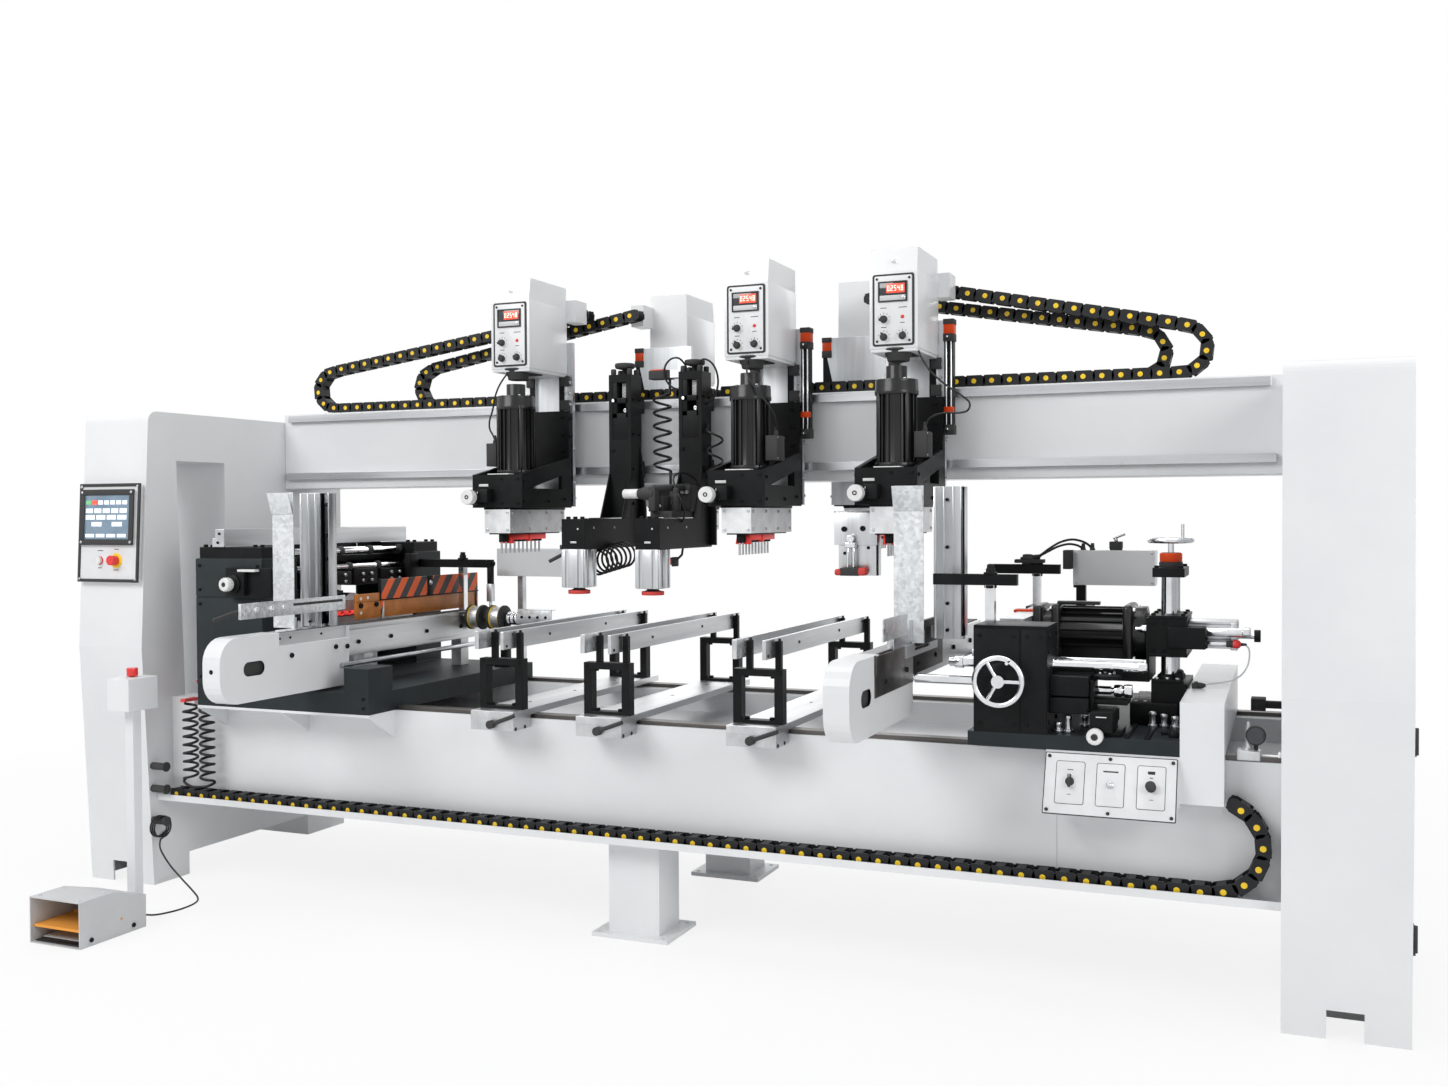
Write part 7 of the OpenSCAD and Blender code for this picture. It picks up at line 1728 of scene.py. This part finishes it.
@dataclass
class Clamps(Fitted):
    """Trim of the two hold-down clamps: role "" rides on the column, "_foot" on the pad."""

    def stations(self, role: str) -> list[tuple[str, str, Matrix]]:
        """Both clamps."""
        return [(name, name + role, seat(x)) for name, x in CLAMPS.items()]

    def column(self) -> None:
        """Slots with their scale, top knob, gussets and screws."""
        fill = (Form("slot_fill", station).box((-36, 70, 1812), (36, 143, 1925), 2)
            .box((-36, 70, 1964), (36, 143, 1986), 2).box((-36, 64, 1900), (36, 72, 2050)))
        for x0, x1 in ((-36, -14), (26, 36)):
            fill.box((x0, 68, 1905), (x1, 143, 2050))
        self.keep(fill, Finishes.BLACK)
        self.keep(Form("scale", station).box((-4, 112, 1986), (24, 116, 2046)), Finishes.KNOB)
        ticks = Form("scale_marks", station)
        for k in range(9):
            ticks.box((6 if k % 2 else 0, 115.5, 1991 + 6 * k), (20, 116.6, 1992.4 + 6 * k))
        self.keep(ticks, Finishes.PLASTIC, edge=0.0)
        self.keep(Form("slot_bolts", station).bolts([(14, 100, 1936)], OUT, 20, 26)
            .bolts([(-30, 145, 1975)], OUT, 14, 4), Finishes.CHROME, edge=0.4)
        self.keep(Form("top_knob", station)
            .turned((0, 97.5, 2104), UP, [(0, 40), (4, 74), (10, 82), (20, 82), (24, 76), (25.5, 40)], 36)
            .bolts(grid((-36, 36), (66, 128), 2080), UP, 22, 24), Finishes.PLASTIC, edge=0.8)
        flare = Form("column_flare", station)
        for s in (-1, 1):
            flare.slab([(50 * s, 54, 1800), (74 * s, 54, 1530), (74 * s, 54, 1392), (50 * s, 54, 1392)], (0, 14, 0))
            flare.slab([(50 * s, 144, 1690), (50 * s, 232, 1499), (50 * s, 144, 1499)], (-6 * s, 0, 0))
        self.keep(flare, Finishes.BLACK)
        self.keep(Form("column_screws", station).bolts(grid(50, (72, 126), (1560, 1700, 1840, 1980)), RIGHT, 13, 5)
            .bolts(grid(-50, (72, 126), (1840, 1980)), LEFT, 13, 5)
            .bolts([(-34, 145, 1776)], OUT, 16, 6), Finishes.BLACK, edge=0.4)

    def arm(self) -> None:
        """Bright strip, marks, ribbed cylinder and the pad's hub."""
        self.keep(Form("arm_strip", station).box((30, 150, 1499), (49, 505, 1504))
            .box((-12, 539, 1408), (14, 541.5, 1415)).bolts([(20, 540, 1462)], OUT, 8, 2)
            .bolts([(50, 470, 1466), (50, 300, 1466)], RIGHT, 9, 2), Finishes.STEEL, edge=0.4)
        self.keep(Form("arm_top_screws", station)
            .bolts(grid((-30, 0, 30), 522, 1500), UP, 17, 9), Finishes.BLACK, edge=0.4)
        ribs = Form("cylinder_ribs", station)
        for a, b in ((-45, -33), (-20, 20), (33, 45)):
            (ribs.box((a, 539, 1242), (b, 546, 1384)).box((44, 495 + a, 1242), (51, 495 + b, 1384))
                .box((-51, 495 + a, 1242), (-44, 495 + b, 1384)))
        self.keep(ribs, Finishes.ALLOY_UP)
        self.keep(Form("pad_hub", station)
            .turned((0, 495, 1229), UP, [(0, 62), (3, 60), (5, 46), (9.5, 44)], 32), Finishes.PLASTIC, "_foot")

    def valves(self) -> None:
        """Lever of the first clamp; valve cluster, filter and shut-off of the second."""
        far, x = CLAMPS["clamp1"], CLAMPS["clamp2"]
        (Form("arm_lever").box((far - 64, 288, 1384), (far - 44, 322, 1402), 3)
            .rod((far - 56, 305, 1394), (far - 58, 303, 1362), 15, 16)
            .rod((far - 57, 303, 1366), (far - 114, 298, 1338), 14, 16).done(Finishes.PLASTIC, "clamp1", 1.0))
        body = (Form("valve_cluster").box((x - 46, 400, 1499), (x + 44, 650, 1528), 3)
            .box((x - 58, 425, 1526), (x - 4, 500, 1586), 5).box((x + 6, 560, 1526), (x + 48, 640, 1626), 5)
            .box((x - 30, 540, 1526), (x + 2, 600, 1604), 4).box((x - 40, 372, 1526), (x - 12, 412, 1620), 4))
        (body.turned((x - 66, 392, 1594), LEFT, [(-44, 48), (4, 48), (10, 42), (22, 38), (24, 30)], 28)
            .rod((x - 26, 395, 1612), (x + 26, 600, 1622), 26))
        (body.turned((x + 30, 470, 1528), UP, [(0, 36), (60, 36), (64, 26), (84, 24), (88, 14)], 24)
            .done(Finishes.PLASTIC, "clamp2", 1.5))
        (Form("valve_filter").turned((x - 90, 392, 1594), LEFT, [(0, 36), (58, 36), (62, 30)], 28)
            .done(Finishes.KNOB, "clamp2", 0.8))
        Form("valve_lid").box((x - 186, 700, 2090), (x - 120, 738, 2096), 2).done(Finishes.SIGNAL, "clamp2", 0.8)
        Form("valve_lamp_box").box((x - 190, 692, 2056), (x - 96, 744, 2091), 3).done(Finishes.PLASTIC, "clamp2", 1.0)
        (Form("valve_fittings").bolts([(x - 44, 425, 1546), (x - 18, 425, 1546), (x - 30, 425, 1570)], FRONT, 16, 8)
            .bolts([(x + 18, 560, 1600), (x + 36, 560, 1600)], FRONT, 14, 10)
            .bolts([(x - 14, 540, 1560)], FRONT, 16, 10).done(Finishes.STEEL, "clamp2", 0.4))
        Form("shut_off").box((x - 38, 484, 1322), (x + 6, 512, 1350), 5).done(Finishes.RED, "clamp2", 1.5)
        (Form("shut_off_body").box((x + 4, 480, 1316), (x + 20, 516, 1352), 3)
            .rod((x - 20, 498, 1386), (x - 20, 498, 1346), 18, 16).rod((x + 36, 518, 1386), (x + 34, 512, 1358), 9, 12)
            .rod((x + 34, 512, 1360), (x + 14, 502, 1338), 9, 12).rod((x - 26, 496, 1326), (x - 42, 490, 1278), 12, 16)
            .box((x - 52, 480, 1268), (x - 36, 500, 1284), 3).done(Finishes.PLASTIC, "clamp2", 0.8))

    def build(self) -> None:
        """Models the patterns and copies them to both clamps."""
        self.column()
        self.arm()
        self.copy_out()
        self.valves()


@dataclass
class Supports(Fitted):
    """Screws, studs and end plates of the table supports."""

    legs: tuple[float, float] = (63.0, 1098.0)

    def stations(self, role: str) -> list[tuple[str, str, Matrix]]:
        """All three supports."""
        return [(name, name, Matrix.Translation(((x - MID_X) / 1000, 0, 0))) for name, x in SUPPORTS.items()]

    def build(self) -> None:
        """Models the trim once, about a support's middle, and copies it to the three."""
        bolts = Form("support_bolts", middle)
        for y in self.legs:
            bolts.bolts(grid((-45, 45), y, 817), UP, 18, 9).bolts(grid((-78, 78), y - 21, 978), FRONT, 9, 3)
            bolts.bolts(grid((-48, 48), y, 966), DOWN, 16, 8)
            for x in (-32, 73):
                bolts.turned((x, y, 1084), UP, [(0, 15), (3, 15), (4, 10), (10, 9), (11, 7)], 16)
        screws = (Form("bar_screws", middle)
            .bolts([(60, y, z) for y, z in ((-12, 1042), (30, 1082), (300, 1062), (760, 1066), (1060, 1080))], RIGHT,
            11, 2.5))
        screws.bolts(grid(-46, (52, 420, 900), 1060), RIGHT, 14, 5).bolts(grid(90, (-4, 60), 742), RIGHT, 14, 2)
        screws.bolts(grid(0, (250, 600, 950), 805), UP, 14, 0.8)
        plates = (Form("bar_plates", middle).box((-61.5, -33, 1030), (-60, 20, 1095))
            .box((-46, -33, 1030), (-44.6, 70, 1095)))
        seam = Form("grip_seam", middle).box((-90.4, -20.6, 776), (90.4, 102.5, 778))
        self.keep(bolts, Finishes.BLACK, edge=0.4)
        self.keep(screws, Finishes.PLASTIC, edge=0.3)
        self.keep(plates, Finishes.ZINC, edge=0.4)
        self.keep(seam, Finishes.STEEL, edge=0.0)
        self.copy_out()


class Hull:
    """Small fittings of the columns, bed and foot switch."""

    def foot_switch(self) -> None:
        """Screws, floor mat and step plate of the foot switch, collar of the post's stop button."""
        Form("switch_screws").bolts(grid(-1740, (-690, -500), 22), RIGHT, 17, 5).done(Finishes.BLACK, "frame", 0.4)
        (Form("switch_lid_screws").bolts(grid((-1955, -1765), (-715, -610), 165), UP, 10, 3)
            .done(Finishes.STEEL, "frame", 0.3))
        Form("switch_mat").box((-1966, -728, 4), (-1754, -470, 10), 2).done(Finishes.RUBBER, "frame", 0.8)
        (Form("switch_step").box((-1960, -700, 12), (-1760, -480, 16)).box((-1960, -484, 4), (-1760, -480, 16))
            .done(Finishes.GREY, "frame", 0.8))
        (Form("post_collar").turned((-1812, -420, 919), UP, [(0, 44), (2, 44), (2.6, 36)], 28)
            .done(Finishes.STEEL, "frame", 0.4))

    def column_trim(self) -> None:
        """Blank plate above the left column's floor notch, and the bed's seam."""
        Form("blank_plate").box((-2366, -2.4, 128), (-2234, 0, 239)).done(Finishes.ALLOY, "frame", 0.6)
        (Form("blank_plate_screws").bolts(grid((-2356, -2244), -2, (138, 229)), FRONT, 8, 2)
            .done(Finishes.STEEL, "frame", 0.3))
        Form("bed_seam").box((1489, 109.2, 380), (1491.4, 110.4, 764)).done(Finishes.GREY, "frame", 0.0)

    def build(self) -> None:
        """Makes the fittings."""
        self.foot_switch()
        self.column_trim()


class HoldDown:
    """Angle plate with twin rods and a padded foot beside the third head's gearbox."""

    def build(self) -> None:
        """Makes the plate and what it carries."""
        u, y = "head3_unit", 452.0
        (Form("angle_plate").box((646, y, 1402), (806, y + 8, 1525)).box((646, y, 1517), (806, y + 40, 1525))
            .box((660, y + 8, 1292), (808, y + 14, 1482)).box((800, y + 8, 1292), (808, y + 46, 1500))
            .done(Finishes.ALLOY_UP, u, 0.8))
        (Form("angle_bolts").bolts([(684, y, 1459), (754, y, 1461)], FRONT, 20, 8)
            .bolts([(684, y + 8, 1372), (772, y + 8, 1392)], FRONT, 12, 5).done(Finishes.BLACK, u, 0.4))
        (Form("angle_rods").rod((702, y - 16, 1306), (702, y - 16, 1410), 11)
            .rod((724, y - 16, 1306), (724, y - 16, 1410), 11)
            .turned((713, y - 20, 1424), FRONT, [(-20, 20), (0, 30), (6, 30), (8, 22), (8, 12), (4, 11)], 20)
            .box((694, y - 26, 1392), (732, y, 1412), 3).done(Finishes.CHROME, u, 0.5))
        Form("angle_foot").box((676, y - 34, 1292), (748, y + 6, 1320), 4).done(Finishes.PLASTIC, u, 1.0)
        (Form("angle_pads").box((656, y - 36, 1293), (682, y + 4, 1316), 8)
            .box((742, y - 36, 1293), (774, y + 4, 1322), 9).done(Finishes.PAD, u, 0.8))


@dataclass
class Studio:
    """Camera at the photograph's place, pale floor and soft light."""

    eye: Triple = (2.15875, -4.612, 1.5146)
    pan: float = 22.607
    dip: float = 1.210
    roll: float = -0.297
    lens: float = 33.81

    def camera(self) -> None:
        """Places the camera."""
        data = bpy.data.cameras.new("camera")
        data.sensor_width, data.lens, data.clip_end = 36.0, self.lens, 200.0
        cam = bpy.data.objects.new("camera", data)
        bpy.context.collection.objects.link(cam)
        cam.location = self.eye
        turn = (Matrix.Rotation(math.radians(self.pan), 3, "Z") @ Matrix.Rotation(math.radians(90 - self.dip), 3, "X")
                @ Matrix.Rotation(math.radians(self.roll), 3, "Z"))
        cam.rotation_euler = turn.to_euler()
        bpy.context.scene.camera = cam

    def lamp(self, name: str, place: Triple, aim: Triple, size: tuple[float, float], power: float) -> None:
        """Adds a soft rectangular lamp.

        Args:
            name: its name.
            place: where it hangs, in metres.
            aim: point that it faces.
            size: width and height.
            power: watts.
        """
        data = bpy.data.lights.new(name, "AREA")
        data.shape, data.size, data.size_y, data.energy = "RECTANGLE", size[0], size[1], power
        obj = bpy.data.objects.new(name, data)
        bpy.context.collection.objects.link(obj)
        obj.location = place
        obj.rotation_euler = (Vector(aim) - Vector(place)).to_track_quat("-Z", "Y").to_euler()

    def world(self) -> None:
        """White surroundings for the eye and for gloss, a plain grey light for the object."""
        world = bpy.data.worlds.new("studio")
        bpy.context.scene.world = world
        world.use_nodes = True
        tree = world.node_tree
        tree.nodes.clear()
        out, mix = tree.nodes.new("ShaderNodeOutputWorld"), tree.nodes.new("ShaderNodeMixShader")
        plain, white = tree.nodes.new("ShaderNodeBackground"), tree.nodes.new("ShaderNodeBackground")
        plain.inputs["Color"].default_value, plain.inputs["Strength"].default_value = (0.97, 0.985, 1, 1), 0.33
        white.inputs["Color"].default_value, white.inputs["Strength"].default_value = (1, 1, 1, 1), 1.0
        path = tree.nodes.new("ShaderNodeLightPath")
        seen, clear = tree.nodes.new("ShaderNodeMath"), tree.nodes.new("ShaderNodeMath")
        seen.operation = clear.operation = "MAXIMUM"
        for a, b in (("Is Camera Ray", seen.inputs[0]), ("Is Glossy Ray", seen.inputs[1]),
                     ("Is Transmission Ray", clear.inputs[1])):
            tree.links.new(path.outputs[a], b)
        tree.links.new(seen.outputs[0], clear.inputs[0])
        tree.links.new(clear.outputs[0], mix.inputs["Fac"])
        tree.links.new(plain.outputs[0], mix.inputs[1])
        tree.links.new(white.outputs[0], mix.inputs[2])
        tree.links.new(mix.outputs[0], out.inputs["Surface"])

    def floor(self) -> None:
        """Pale floor that keeps the machine's shadow and runs out to white."""
        bpy.ops.object.select_all(action="DESELECT")
        bpy.ops.mesh.primitive_circle_add(vertices=96, radius=60, fill_type="NGON", location=(0, 0, -0.001))
        floor = bpy.context.active_object
        floor.name = "floor"
        mat = bpy.data.materials.new("pale_floor")
        mat.use_nodes = True
        tree = mat.node_tree
        shader = tree.nodes["Principled BSDF"]
        shader.inputs["Base Color"].default_value = (0.86, 0.86, 0.865, 1)
        shader.inputs["Roughness"].default_value = 0.6
        glow, mix = tree.nodes.new("ShaderNodeEmission"), tree.nodes.new("ShaderNodeMixShader")
        place, far = tree.nodes.new("ShaderNodeTexCoord"), tree.nodes.new("ShaderNodeVectorMath")
        far.operation = "LENGTH"
        fade, path = tree.nodes.new("ShaderNodeMapRange"), tree.nodes.new("ShaderNodeLightPath")
        for key, value in (("From Min", 1.5), ("From Max", 6.0), ("To Min", 0.82), ("To Max", 1.0)):
            fade.inputs[key].default_value = value
        seen = tree.nodes.new("ShaderNodeMath")
        seen.operation = "MULTIPLY"
        both = tree.nodes.new("ShaderNodeMath")
        both.operation = "MAXIMUM"
        for a, b in ((place.outputs["Object"], far.inputs[0]), (far.outputs["Value"], fade.inputs["Value"]),
                (path.outputs["Is Camera Ray"], both.inputs[0]), (path.outputs["Is Glossy Ray"], both.inputs[1]),
                (fade.outputs[0], seen.inputs[0]), (both.outputs[0], seen.inputs[1]),
                (seen.outputs[0], mix.inputs["Fac"]), (shader.outputs[0], mix.inputs[1]),
                (glow.outputs[0], mix.inputs[2]), (mix.outputs[0], tree.nodes["Material Output"].inputs["Surface"])):
            tree.links.new(a, b)
        floor.data.materials.append(mat)

    def build(self) -> None:
        """Sets up the studio."""
        self.camera()
        self.world()
        self.floor()
        self.lamp("key", (-3.2, -5.5, 5.4), (0.2, 0, 1.0), (4.5, 3.2), 302)
        self.lamp("fill", (6.4, -3.6, 3.6), (0.4, 0, 1.2), (3.2, 2.8), 150)
        self.lamp("top", (0, 0.6, 6.2), (0, 0.2, 0), (6.5, 3.0), 135)
        self.lamp("back", (-1.0, 6.0, 4.2), (0, 0, 1.2), (5.0, 3.0), 90)
        bpy.context.scene.view_settings.view_transform = "Standard"


def main() -> None:
    """Builds the machine's looks, sub-assembly by sub-assembly."""
    logging.basicConfig(level=logging.INFO, format="%(message)s", stream=sys.stdout)
    Studio().build()
    Cords().build()
    Chains().build()
    Paintwork().build()
    Heads().build()
    OperatorPanel().build()
    LeftUnit().build()
    RightUnit().build()
    Clamps().build()
    Supports().build()
    Hull().build()
    HoldDown().build()


if __name__ == "__main__":
    main()
